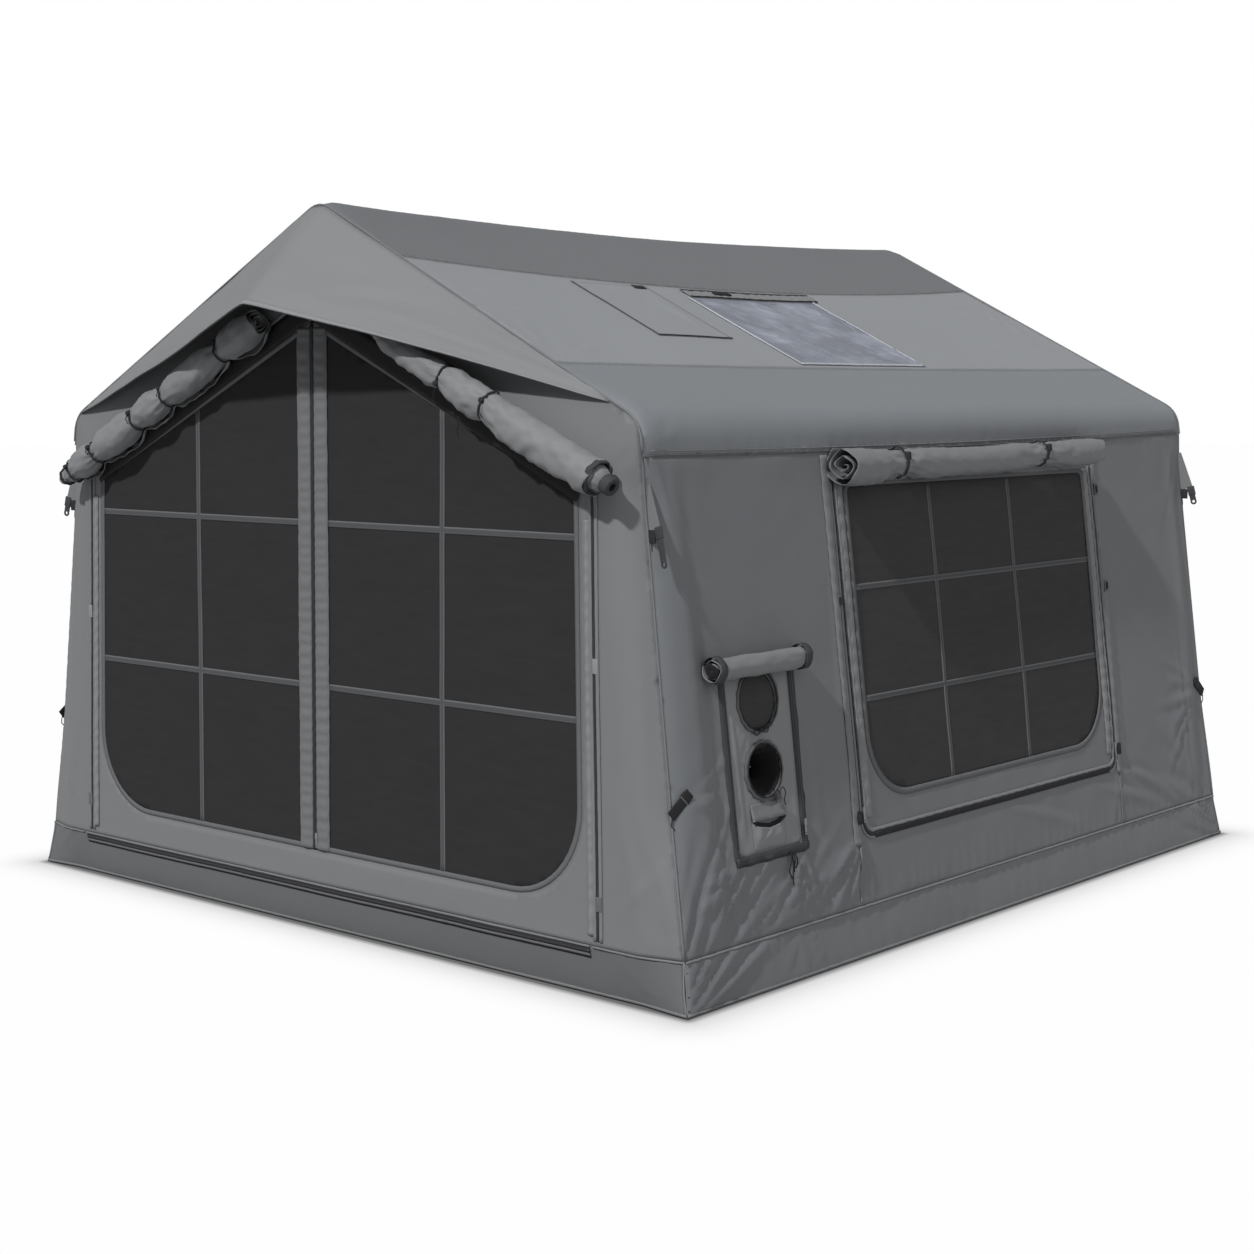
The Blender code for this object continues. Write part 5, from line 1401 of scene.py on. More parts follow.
    def tapes(self, name: str, tapes: Sequence[Tape], place: Place, over: Surface | None = None,
              body: str = "tent") -> bpy.types.Object:
        """Several tapes on one surface, as one piece.

        Args:
            name: name of the piece.
            tapes: the tapes.
            place: surface.
            over: panel that they lie on.
            body: body they ride on.
        Returns:
            The piece.
        """
        return join(name, [self.strip("tape", tape, place, over, body) for tape in tapes], body)

    def tube(self, name: str, path: Array, radii: Array, finish: Finish, around: int = 8,
             flute: Relief | None = None) -> bpy.types.Object:
        """Round piece along a path in space.

        Args:
            name: name of the piece.
            path: points of its axis.
            radii: radius at each.
            finish: its finish.
            around: points around.
            flute: share added to the radius from station share and angle.
        Returns:
            The piece.
        """
        points, faces = tube_mesh(path, radii, around, flute)
        return self.piece(name, points, faces, finish, flat_faces=2)


def tube_mesh(path: Array, radii: Array, around: int,
              flute: Relief | None = None) -> tuple[Array, list[tuple[int, ...]]]:
    """Points and faces of a round piece along a path.

    Args:
        path: points of its axis.
        radii: radius at each.
        around: points around.
        flute: share added to the radius from station share and angle.
    Returns:
        Points, and faces with the two ends last.
    """
    count = len(path)
    way = np.gradient(path, axis=0)
    way = way / np.linalg.norm(way, axis=1)[:, None]
    start = np.cross(way[0], (0.0, 0.0, 1.0))
    if np.linalg.norm(start) < 0.1:
        start = np.cross(way[0], (0.0, 1.0, 0.0))
    normals = [start / np.linalg.norm(start)]
    for k in range(1, count):
        moved = normals[-1] - way[k] * float(normals[-1] @ way[k])
        normals.append(moved / np.linalg.norm(moved))
    normal = np.array(normals)
    other = np.cross(way, normal)
    turns = np.tile(math.tau * np.arange(around) / around, count)
    radius = np.repeat(radii, around)
    if flute is not None:
        radius = radius * (1 + flute(np.repeat(np.arange(count) / (count - 1), around), turns))
    points = (np.repeat(path, around, axis=0) + np.repeat(normal, around, axis=0) *
              (radius * np.cos(turns))[:, None] + np.repeat(other, around, axis=0) *
              (radius * np.sin(turns))[:, None])
    faces = ring_faces(count, around, False)
    faces.append(tuple(range(around))[::-1])
    faces.append(tuple((count - 1) * around + j for j in range(around)))
    return points, faces


def join(name: str, pieces: Sequence[bpy.types.Object], body: str = "tent") -> bpy.types.Object:
    """Put several pieces into one piece of several shells.

    Args:
        name: name of the new piece.
        pieces: pieces to join.
        body: body it rides on.
    Returns:
        The piece.
    """
    points: list[Array] = []
    faces: list[tuple[int, ...]] = []
    finishes: list[bpy.types.Material] = []
    numbers: list[int] = []
    smooth_faces: list[bool] = []
    edges: list[Array] = []
    for piece in pieces:
        mesh = piece.data
        first = sum(len(part) for part in points)
        place = np.empty(len(mesh.vertices) * 3)
        mesh.vertices.foreach_get("co", place)
        points.append(place.reshape(-1, 3))
        edge = np.zeros(len(mesh.vertices), np.float32)
        if "edge" in mesh.attributes:
            mesh.attributes["edge"].data.foreach_get("value", edge)
        edges.append(edge)
        for material in mesh.materials:
            if material not in finishes:
                finishes.append(material)
        for face in mesh.polygons:
            faces.append(tuple(first + k for k in face.vertices))
            numbers.append(finishes.index(mesh.materials[face.material_index]))
            smooth_faces.append(face.use_smooth)
    mesh = bpy.data.meshes.new(name)
    mesh.from_pydata([tuple(point) for point in np.vstack(points)], [], faces)
    for material in finishes:
        mesh.materials.append(material)
    mesh.polygons.foreach_set("material_index", numbers)
    mesh.polygons.foreach_set("use_smooth", smooth_faces)
    layer = mesh.attributes.new("edge", "FLOAT", "POINT")
    layer.data.foreach_set("value", np.concatenate(edges))
    mesh.update()
    for piece in pieces:
        old = piece.data
        bpy.data.objects.remove(piece, do_unlink=True)
        bpy.data.meshes.remove(old)
    made = bpy.data.objects.new(name, mesh)
    bpy.context.scene.collection.objects.link(made)
    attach(made, body)
    LOG.info("%s: joined, %d faces on %s", name, len(faces), body)
    return made


# Sub-assemblies


@dataclass
class Shell:
    """The sewn outer panels: end walls, side walls, skirt and roof."""

    room: Workroom
    door_foot_x: float = 1.140
    door_shoulder_x: float = 1.108
    door_sill_z: float = 0.255
    door_corner_r: float = 0.270
    door_apex_drop: float = 0.360
    door_shoulder_drop: float = 0.2974
    window: tuple[float, float, float, float] = (-0.640, 0.785, 0.453, 1.402)
    port: tuple[float, float, float, float] = (-1.298, -1.003, 0.380, 0.905)
    skylight: tuple[float, float, float, float] = (-0.375, 0.335, 0.493, 0.968)
    flap: tuple[float, float, float, float] = (-0.875, -0.510, 0.430, 0.795)
    seam_lap: float = 0.0012
    corner_gap: float = 0.0015
    surfaces: dict[str, Surface] = field(default_factory=dict)

    @property
    def door_shoulder_z(self) -> float:
        """Height of the door opening's shoulders."""
        return float(SKIN.roof_line(self.door_shoulder_x)) - self.door_shoulder_drop

    @property
    def door_apex_z(self) -> float:
        """Height of the door opening's apex."""
        return SKIN.ridge_line_z - self.door_apex_drop

    @property
    def gable_slope(self) -> float:
        """Slope of the door opening's gable."""
        return (self.door_apex_z - self.door_shoulder_z) / self.door_shoulder_x

    def door_half(self, z: float) -> float:
        """Half-width of the door opening below its shoulders."""
        share = z / self.door_shoulder_z
        return self.door_foot_x - (self.door_foot_x - self.door_shoulder_x) * share

    def door_outline(self) -> list[tuple[float, float]]:
        """Edge of the door opening."""
        foot = self.door_half(self.door_sill_z)
        corners = [(-foot, self.door_sill_z), (foot, self.door_sill_z),
                   (self.door_shoulder_x, self.door_shoulder_z), (0.0, self.door_apex_z),
                   (-self.door_shoulder_x, self.door_shoulder_z)]
        return rounded(corners, (self.door_corner_r, self.door_corner_r, 0, 0, 0), 14)

    def end_outline(self) -> list[tuple[float, float]]:
        """Edge of an end wall, from the skirt seam to the ridge."""
        s = np.concatenate([np.linspace(0, SKIN.ridge_arc, 4), [SKIN.knee_start - 0.4],
                            np.linspace(SKIN.knee_start, SKIN.knee_end, 6), [SKIN.eave_seam_s]])
        x, z = SKIN.section(s, -self.seam_lap)
        right = [(float(SKIN.side_x(SKIN.skirt_top)) - self.seam_lap, SKIN.skirt_top)]
        right += list(zip(x[::-1].tolist(), z[::-1].tolist()))
        return right + [(-a, b) for a, b in reversed(right[:-1])]

    def window_outline(self, grow: float = 0.0) -> list[tuple[float, float]]:
        """Edge of a window, grown by a distance."""
        front, rear, low, high = self.window
        corners = box_outline(front - grow, rear + grow, low - grow, high + grow)
        return rounded(corners, (0.2 + grow, 0.2 + grow, 0.03 + grow, 0.03 + grow), 12)

    def port_outline(self, grow: float = 0.0) -> list[tuple[float, float]]:
        """Edge of the port, grown by a distance."""
        front, rear, low, high = self.port
        corners = box_outline(front - grow, rear + grow, low - grow, high + grow)
        return rounded(corners, (0.03 + grow,) * 4, 5)

    def dress(self) -> None:
        """Make every outer panel."""
        self.end_walls()
        self.side_walls()
        self.skirts()
        self.roof_panels()
        self.piping()

    def lay(self, name: str, node: str, outline: Outline,
            holes: Sequence[Outline], place: Place, finish: Finish,
            folds: Sequence[object], step: float, flat: tuple[float, float], calm: float = 0.03,
            swell: Relief | None = None) -> bpy.types.Object:
        """Args:
            name: name of the piece.
            node: node that it replaces.
            outline: outer edge.
            holes: openings.
            place: surface.
            finish: cloth.
            folds: fold fields.
            step: size of the net.
            flat: width and length of the cut cloth.
            calm: distance over which the folds grow.
            swell: extra height.
        Returns:
            The piece.
        """
        made = self.room.sheet(name, outline, holes, place, finish, folds, step, calm=calm, swell=swell)
        loops = [dense(loop, LOOP_STEP) for loop in (outline, *holes)]
        self.surfaces[node] = Surface(place, folds, loops, calm, swell)
        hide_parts(node)
        area = polygon_area(outline) - sum(polygon_area(hole) for hole in holes)
        self.room.hold(made, flat, Held.STRETCHED, area)
        return made

    def end_walls(self) -> None:
        """Front wall round the door, and the plain rear wall."""
        outline = self.end_outline()
        door = self.door_outline()
        folds: list[object] = [Waves(3, 0.55, 0.0035, 2.0, math.pi / 2), Waves(4, 0.12, 0.0008)]
        for side in (1, -1):
            x = side * 1.300
            folds += [Crease((x, 1.30), (x + side * 0.05, 0.30), 0.030, 0.0045, 0.01),
                      Crease((x - side * 0.06, 0.62), (x + side * 0.07, 0.16), 0.022, 0.0035),
                      Crease((side * 1.20, 0.20), (side * 1.44, 0.42), 0.020, 0.003)]
            folds += fan((side * 1.43, 0.20), (90 - side * 2, 90 + side * 42), 0.42, 0.020, 0.003, 5,
                         12 + side)
            folds += fan((side * 1.16, 1.47), (0, 60) if side > 0 else (180, 120), 0.20, 0.016, 0.003, 4, 31)
        self.lay("wall_front_cloth", "front_wall", outline, (door,), SKIN.front, CLOTH_WALL_END, folds, 0.020,
                 (2.80, 2.10))
        rear_folds: list[object] = [Waves(6, 0.60, 0.006, 1.6, math.pi / 2), Waves(7, 0.20, 0.0016)]
        for side in (1, -1):
            angles = (100, 150) if side > 0 else (80, 30)
            rear_folds += fan((side * 1.44, 0.17), angles, 0.70, 0.035, 0.006, 6, 40 + side)
            rear_folds += fan((side * 1.28, 1.56), (200, 250) if side > 0 else (340, 290), 0.45, 0.03, 0.005,
                              5, 44)
        rear_folds.append(Pucker(((-1.45, 0.15), (1.45, 0.15)), 0.085, 0.0022, 0.05, 8))
        self.lay("wall_rear_cloth", "rear_wall", outline, (), SKIN.rear, CLOTH_WALL_END, rear_folds, 0.026,
                 (2.98, 2.12))

    def foot_creases(self, word: str) -> list[Crease]:
        """Creases that run from the foot's corners up over skirt and wall.

        Args:
            word: which skirt: front, rear, left or right.
        Returns:
            Creases along the wall and in height.
        """
        if word == "right":
            return (fan((-1.66, -0.05), (17, 66), 1.15, 0.018, 0.0060, 17, 151)
                    + fan((1.64, -0.04), (128, 163), 0.75, 0.022, 0.0055, 8, 152))
        if word == "left":
            return (fan((-1.64, -0.04), (18, 60), 0.85, 0.024, 0.0070, 9, 153)
                    + fan((1.64, -0.04), (120, 163), 0.80, 0.024, 0.0070, 9, 154))
        power = 0.5 if word == "front" else 1.0
        return (fan((-1.54, -0.04), (30, 80), 0.50, 0.020, 0.0065 * power, 7, 155)
                + fan((1.54, -0.04), (100, 150), 0.50, 0.020, 0.0065 * power, 7, 156))

    def side_folds(self, side: Side) -> list[object]:
        """Folds of a side wall.

        Args:
            side: which wall.
        Returns:
            Fold fields in y and z.
        """
        seed = 60 if side is Side.RIGHT else 90
        folds: list[object] = [Waves(seed, 0.60, 0.0050, 1.5, math.pi / 2), Waves(seed + 1, 0.16, 0.0012)]
        folds += self.foot_creases(side.word)
        for end in (1, -1):
            far = end * 1.50
            near = end * 1.44
            folds.append(Crease((near, 1.50), (end * 1.43, 0.10), 0.040, 0.0080, 0.012, 0.3))
            folds.append(Crease((end * 1.37, 0.95), (end * 1.40, 0.12), 0.012, 0.0040, 0.004))
            folds += fan((far, 1.50), (235, 268) if end > 0 else (305, 272), 0.40, 0.024, 0.0022, 5, seed + 7)
            folds += fan((far + 0.02 * end, 0.56), (150, 235) if end > 0 else (30, -55), 0.42, 0.024, 0.0052,
                         7, seed + 2)
            folds += fan((far, 0.18), (95, 150) if end > 0 else (85, 30), 0.50, 0.030, 0.0055, 6, seed + 3)
            corner = -0.72 if end < 0 else 0.86
            folds += fan((corner, 0.34), (-170, -70) if end < 0 else (-110, -10), 0.34, 0.018, 0.0045, 8,
                         seed + 4)
            folds.append(Crease((corner - 0.02, 1.36), (corner + end * 0.05, 0.30), 0.022, 0.0042, 0.006))
        folds.append(Crease((0.90, 0.33), (1.35, 0.17), 0.030, 0.0055, 0.01))
        folds.append(Crease((0.70, 0.30), (1.20, 0.16), 0.024, 0.0045, 0.01))
        folds.append(Crease((0.10, 0.32), (0.62, 0.17), 0.022, 0.0035, 0.01))
        if side is Side.RIGHT:
            folds += fan((-1.30, 0.37), (190, 262), 0.26, 0.015, 0.0075, 7, 71)
            folds += fan((-1.00, 0.37), (-140, -60), 0.36, 0.016, 0.0075, 9, 72)
            folds += fan((-1.34, 0.93), (95, 200), 0.22, 0.016, 0.0016, 5, 73)
            folds.append(Crease((-0.98, 0.86), (-0.90, 0.33), 0.020, 0.0040, 0.01))
            folds += fan((-0.72, 0.36), (-160, -100), 0.42, 0.020, 0.0080, 7, 74)
            folds.append(Crease((-1.16, 0.35), (-0.92, 0.16), 0.014, 0.0045, 0.004))
        folds.append(Pucker(((-1.54, 0.15), (1.54, 0.15)), 0.055, 0.0026, 0.045, seed + 9))
        folds.append(Pucker(((-1.54, 1.515), (1.54, 1.515)), 0.070, 0.0012, 0.030, seed + 10))
        return folds

    def side_walls(self) -> None:
        """Side walls with their window and port openings."""
        low, high = SKIN.skirt_top, SKIN.eave_seam_z
        for side in Side:
            foot, crown = float(SKIN.end_y(low)), np.linspace(1, -1, 17) * float(SKIN.end_y(high))
            outline = [(-foot, low), (foot, low)]
            outline += list(zip(crown.tolist(), SKIN.section(SKIN.eave_seam(crown))[1].tolist()))
            holes = [self.window_outline()]
            if side is Side.RIGHT:
                holes.append(self.port_outline())
            name = side.word + "_wall"
            self.lay("wall_" + side.word + "_cloth", name, outline, holes, SKIN.side(side.value),
                     CLOTH_WALL_SIDE, self.side_folds(side), 0.0150, (3.13, 1.38), calm=0.020)

    def skirts(self) -> None:
        """Skirt panels, which meet at the corner seams."""
        rows = np.linspace(0.0, SKIN.skirt_top, 13)
        half_x = SKIN.side_foot_x + SKIN.flare_side - self.corner_gap
        half_y = SKIN.end_foot_y + SKIN.flare_end
        jobs = (("front", SKIN.skirt_end(-1), half_x, CLOTH_SKIRT_END, 0.35),
                ("rear", SKIN.skirt_end(1), half_x, CLOTH_SKIRT_END, 1.0),
                ("left", SKIN.skirt_side(-1), half_y, CLOTH_SKIRT_SIDE, 1.0),
                ("right", SKIN.skirt_side(1), half_y, CLOTH_SKIRT_SIDE, 1.0))
        for seed, (word, place, half, finish, power) in enumerate(jobs):
            name = "skirt_" + word
            end_folds: list[object] = [Waves(110 + seed, 0.30, 0.0030, 1.0), Waves(120 + seed, 0.07, 0.0008)]
            end_folds += self.foot_creases(word)
            end_folds.append(Pucker(((-half, 0.15), (half, 0.15)), 0.055, 0.0030 * power, 0.045, 69 + seed))
            end_folds.append(Pucker(((-half, 0.0), (half, 0.0)), 0.075, 0.0022 * power, 0.040, 75 + seed))
            for end in (-1, 1):
                inward = (180, 110) if end > 0 else (0, 70)
                end_folds += fan((end * (half - 0.01), 0.01), inward, 0.34, 0.012, 0.0040 * power, 7,
                                 130 + seed)
            if word == "right":
                end_folds += fan((-1.05, 0.16), (-150, -30), 0.22, 0.012, 0.0035, 6, 140)

            def narrow(flat: Array, word: str = word, half: float = half) -> Array:
                """Take the panel's ends in to the corner seam, which leans."""
                if word in ("left", "right"):
                    return flat
                top = (float(SKIN.side_x(SKIN.skirt_top)) - self.corner_gap) / half
                share = 1 + (top - 1) * flat[:, 1] / SKIN.skirt_top
                return np.stack([flat[:, 0] * share, flat[:, 1]], 1)

            stations = np.linspace(-half, half, int(2 * half / 0.018) + 1)
            made = self.room.grid(name + "_cloth", stations, rows, place, finish, end_folds, calm=0.012,
                                  warp=narrow)
            loop = dense(box_outline(-half, half, 0.0, SKIN.skirt_top), LOOP_STEP)
            over = Surface(place, end_folds, [loop], 0.012)
            self.surfaces[name] = over
            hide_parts("skirt_" + word)
            self.room.hold(made, (2 * half, SKIN.skirt_top + 0.01), Held.STRETCHED)
            top = float(SKIN.side_x(SKIN.skirt_top)) if word in ("front", "rear") else half - 0.003
            runs = [(-top, -1.240), (1.170, top)] if word == "front" else [(-top, top)]
            welts = [Tape([(low, 0.1465), (high, 0.1465)], 0.006, CLOTH_WELT, 0.0006, 0.0014, 0.016, 3,
                          0.0030, (0.0008, 0.050)) for low, high in runs]
            welts.append(Tape([(-half, 0.008), (half, 0.008)], 0.009, CLOTH_WELT, 0.0006, 0.0012, 0.018, 3,
                              0.0022, (0.0006, 0.060)))
            self.room.sew(name + "_cloth", self.room.tapes(name + "_welts", welts, place, over))

    def piping(self) -> None:
        """Fine piping up the corner seams and over the gables, and down the skirt's corners."""
        rows = np.linspace(SKIN.eave_seam_z, SKIN.skirt_top, 40)
        s = np.linspace(SKIN.eave_seam_s, 0.0, 70)
        for word, end, wall in (("front", -1, SKIN.front), ("rear", 1, SKIN.rear)):
            x, z = SKIN.section(s)
            crown = np.stack([x, end * (SKIN.end_y(z) + 0.0002), z], 1)
            corner = wall(SKIN.side_x(rows) - self.seam_lap, rows, 0.0)
            right = np.vstack([corner[::-1], crown])
            path = np.vstack([right, (right * np.array([-1, 1, 1]))[::-1][1:]])
            made = self.room.tube("piping_" + word, path, np.full(len(path), 0.0034), CLOTH_PIPING)
            self.room.sew("wall_" + word + "_cloth", made)
            place = SKIN.skirt_end(end)
            low = np.linspace(0.004, SKIN.skirt_top, 8)
            edge = SKIN.side_foot_x + SKIN.flare_side - self.corner_gap
            top = float(SKIN.side_x(SKIN.skirt_top)) - self.corner_gap
            far = edge + (top - edge) * low / SKIN.skirt_top
            pipes = [self.room.tube("pipe", place(sign * far, low, 0.0), np.full(len(low), 0.0030),
                                    CLOTH_WELT)
                     for sign in (-1, 1)]
            self.room.sew("skirt_" + word + "_cloth", join("skirt_piping_" + word, pipes))

    def roof_panels(self) -> None:
        """Ridge panel, two middle panels and two eave panels, seam to seam."""
        ys = np.linspace(-1, 1, 25)

        def edge_y(s: Array) -> Array:
            """Half-length of the roof at a distance from the ridge."""
            return SKIN.end_y(SKIN.section(np.abs(s))[1]) - 0.0008

        def band(low: Callable[[Array], Array], high: Callable[[Array], Array],
                 marks: Sequence[float]) -> list[tuple[float, float]]:
            """Outline between two seams.

            Args:
                low: first seam from y.
                high: second seam from y.
                marks: distances at which the end edges bend.
            Returns:
                The outline, anticlockwise in s and y.
            """
            def seam(line: Callable[[Array], Array], stations: Array) -> list[tuple[float, float]]:
                """Points of one seam, whose ends lie on the end edges."""
                made = []
                for y in stations * SKIN.end_top_y:
                    s = float(line(np.array(y)))
                    at_end = abs(abs(y) - SKIN.end_top_y) < 1e-6
                    made.append((s, math.copysign(float(edge_y(np.array(s))), y) if at_end else float(y)))
                return made

            ahead = [(mark, -float(edge_y(np.array(mark)))) for mark in marks]
            behind = [(mark, float(edge_y(np.array(mark)))) for mark in reversed(marks)]
            return seam(low, ys[::-1]) + ahead + seam(high, ys) + behind

        seam_eave = float(SKIN.slope_s(SKIN.eave_seam_x))
        ridge = band(lambda y: -SKIN.ridge_seam(y), SKIN.ridge_seam,
                     [-0.2, -SKIN.ridge_arc, 0.0, SKIN.ridge_arc, 0.2])

        def ridge_swell(uv: Array, edge: Array) -> Array:
            """Round the ridge panel over the ridge beam."""
            return 0.012 * np.exp(-(uv[:, 0] / 0.14) ** 2) * smooth(edge / 0.05)

        folds: list[object] = [Waves(201, 0.50, 0.0030, 2.0, math.pi / 2), Waves(202, 0.10, 0.0006)]
        seam = tuple((float(SKIN.ridge_seam(np.array(y))), float(y)) for y in ys * 1.55)
        folds.append(Pucker(seam, 0.06, 0.0014, 0.03, 203))
        folds.append(Pucker(tuple((-s, y) for s, y in seam), 0.06, 0.0014, 0.03, 204))
        self.lay("roof_ridge_cloth", "roof_ridge", ridge, (), SKIN.roof, CLOTH_ROOF_RIDGE, folds, 0.022,
                 (0.92, 3.10), swell=ridge_swell)
        lap = 0.020
        front, rear, high, low = self.skylight
        flap_front, flap_rear, flap_high, flap_low = self.flap
        opening = box_outline(float(SKIN.slope_s(high + lap)), float(SKIN.slope_s(low - lap)), front + lap,
                              rear - lap)
        lap = 0.06
        patch = box_outline(float(SKIN.slope_s(flap_high + lap)), float(SKIN.slope_s(flap_low - lap)),
                            flap_front + lap, flap_rear - lap)
        for side in Side:
            sign = side.value

            def place(s: Array, y: Array, rise: Array | float = 0.0, sign: int = sign) -> Array:
                """Roof on this side, from unsigned distances."""
                return SKIN.roof(s, y, rise) * np.array([sign, 1, 1])

            mid = band(SKIN.ridge_seam, lambda y: seam_eave + 0 * y, [0.7, 0.9])
            mid_folds: list[object] = [Waves(210 + sign, 0.55, 0.0040, 1.6, 0.9), Waves(212, 0.12, 0.0008)]
            mid_folds.append(Pucker(seam, 0.06, 0.0016, 0.03, 203))
            mid_folds.append(Pucker(((seam_eave, -1.54), (seam_eave, 1.54)), 0.075, 0.0012, 0.03, 214))
            for end in (-1, 1):
                mid_folds += fan((0.50, end * 1.52), (-20, -85) if end > 0 else (20, 85), 0.45, 0.022, 0.0035,
                                 5, 216)
                mid_folds += fan((seam_eave - 0.02, end * 1.52), (180, 255) if end > 0 else (180, 105), 0.40,
                                 0.020, 0.0030, 5, 217)
            holes = (opening, patch) if side is Side.RIGHT else ()
            self.lay("roof_middle_" + side.word + "_cloth", "roof_mid_" + side.word, mid, holes, place,
                     CLOTH_ROOF_MID, mid_folds, 0.020, (0.68, 3.10))
            marks = [SKIN.knee_start, (SKIN.knee_start + SKIN.knee_end) / 2, SKIN.knee_end]
            eave = band(lambda y: seam_eave + 0 * y, SKIN.eave_seam, marks)

            def eave_swell(uv: Array, edge: Array) -> Array:
                """Round the eave panel over the eave beam."""
                return (0.010 * np.exp(-((uv[:, 0] - SKIN.knee_start + 0.03) / 0.13) ** 2)
                        * smooth(edge / 0.05))

            eave_folds: list[object] = [Waves(220 + sign, 0.45, 0.0035, 2.0, math.pi / 2),
                                        Waves(222, 0.10, 0.0007)]
            eave_folds.append(Pucker(((seam_eave, -1.54), (seam_eave, 1.54)), 0.075, 0.0012, 0.03, 214))
            eave_folds.append(Pucker(((SKIN.eave_seam_s, -1.54), (SKIN.eave_seam_s, 1.54)), 0.065, 0.0016,
                                     0.03, 224))
            for end in (-1, 1):
                eave_folds += fan((SKIN.eave_seam_s - 0.01, end * 1.53), (180, 262) if end > 0 else (180, 98),
                                  0.30, 0.018, 0.0040, 6, 226)
            name = "roof_eave_" + side.word
            self.lay(name + "_cloth", name, eave, (), place, CLOTH_ROOF_EAVE, eave_folds, 0.020, (0.50, 3.13),
                     swell=eave_swell)
            end = SKIN.end_y(SKIN.eave_seam_z) - 0.03
            run = np.linspace(-end, end, 17)
            welts = [Tape(list(zip((SKIN.eave_seam(run) - far).tolist(), run.tolist())), width, finish,
                          0.0004, 0.0012, 0.020, 3, 0.0008)
                     for far, width, finish in ((0.0034, 0.0048, CLOTH_RING),
                                                (0.0150, 0.0050, CLOTH_WELT_DULL))]
            self.room.sew(name + "_cloth", self.room.tapes(name + "_welts", welts, place,
                                                           self.surfaces[name]))


def polygon_area(outline: Outline) -> float:
    """Area inside an outline."""
    points = np.array(outline)
    after = np.roll(points, -1, axis=0)
    return abs(float((points[:, 0] * after[:, 1] - after[:, 0] * points[:, 1]).sum())) / 2


@dataclass
class Hood:
    """Hood sewn to the roof's front edge, with its bound free edge."""

    room: Workroom
    reach: float = 0.306
    tip_drop: float = 0.317
    end_margins: tuple[float, float] = (0.036, 0.108)
    arch: tuple[float, float] = (-0.012, 0.010)
    end_drop: float = 0.006
    end_reach: float = 0.006

    def end_s(self, sign: int) -> float:
        """Distance from the ridge at which the hood ends on one side."""
        return float(SKIN.slope_s(SKIN.knee_x - self.end_margins[sign > 0]))

    def base(self, s: Array, share: Array) -> Array:
        """Point of the hood.

        Args:
            s: signed distance from the ridge along the sewn edge.
            share: nought at the seam, one at the free edge.
        Returns:
            Points.
        """
        end_s = np.where(s > 0, self.end_s(1), self.end_s(-1))
        x, z = SKIN.section(np.abs(s))
        sewn = np.stack([np.copysign(x, s), -SKIN.end_y(z) - 0.0006, z], 1)
        end_x, end_z = SKIN.section(end_s)
        end = np.stack([np.copysign(end_x, s), -SKIN.end_y(end_z) - self.end_reach, end_z - self.end_drop], 1)
        tip = np.array([0.0, -SKIN.end_top_y - self.reach, SKIN.ridge_line_z - self.tip_drop])
        part = (np.abs(s) / end_s)[:, None]
        free = tip * (1 - part) + end * part
        free[:, 2] += np.where(s > 0, *self.arch[::-1]) * np.sin(np.clip(part[:, 0], 0, 1) * math.pi)
        share = share[:, None]
        return sewn * (1 - share) + free * share

    def place(self, s: Array, share: Array, rise: Array | float = 0.0) -> Array:
        """Points of the hood with a rise above its face."""
        centre = self.base(s, share)
        across = self.base(s + 1e-4, share) - centre
        down = self.base(s, share + 0.01) - centre
        normal = np.cross(across, down)
        normal /= np.maximum(np.linalg.norm(normal, axis=1), 1e-12)[:, None]
        normal *= np.where(normal[:, 1] > 0, -1.0, 1.0)[:, None]
        return centre + normal * np.reshape(rise * np.ones(len(s)), (-1, 1))

    def dress(self) -> None:
        """Make the hood and its binding."""
        half = np.linspace(0.0, 1.0, 66)[1:] ** 1.25
        stations = np.concatenate([-half[::-1] * self.end_s(-1), [0.0], half * self.end_s(1)])
        rows = np.linspace(0.0, 1.0, 17)
        folds: list[object] = []
        draw = np.random.RandomState(5)
        for side in (1, -1):
            for _ in range(9):
                start = side * draw.uniform(0.02, 0.12)
                far = side * draw.uniform(0.35, 1.25)
                folds.append(Crease((start, draw.uniform(0.75, 1.0)), (far, draw.uniform(0.1, 0.9)), 0.05,
                                    0.0028))
        folds.append(Waves(301, 0.35, 0.0035, 1.0))

        def edge_swell(uv: Array, edge: Array) -> Array:
            """Thicker free edge and a pinched seam."""
            pucker = 0.0022 * np.sin(uv[:, 0] * 78 + 3 * np.sin(uv[:, 0] * 9)) * np.exp(-uv[:, 1] / 0.10)
            return pucker * smooth(uv[:, 1] / 0.04) - 0.004 * np.exp(-np.abs(uv[:, 0]) / 0.02)

        made = self.room.grid("hood_cloth", stations, rows, self.place, CLOTH_HOOD, folds, calm=0.0,
                              swell=edge_swell)
        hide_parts("hood")
        self.room.hold(made, (2.75, 0.46), Held.STRETCHED, area_of(made) / 2)
        line = np.stack([stations, np.full(len(stations), 0.985)], 1)
        height = edge_swell(line, line[:, 0]) + lift_of(folds, line)
        index = np.arange(len(line) - 1)
        faces = np.stack([index, index + 1, index + 1 + len(line), index + len(line)], 1)
        rims = []
        for word, finish, rise, wide in (("top", TAPE_LIGHT, 0.0006, 1.0),
                                         ("under", TAPE_GREY, -0.0030, 0.8)):
            outer, inner = (np.vstack([self.place(line[:, 0], line[:, 1] + aside, height + rise + thickness)
                                       for aside in (-0.022 * wide, 0.020)]) for thickness in (0.0012, 0.0))
            rims.append(self.room.closed("hood_binding_" + word, outer, inner, faces, finish))
        self.room.sew("hood_cloth", join("hood_binding", rims))


def area_of(piece: bpy.types.Object) -> float:
    """Surface area of a piece's mesh."""
    return sum(face.area for face in piece.data.polygons)


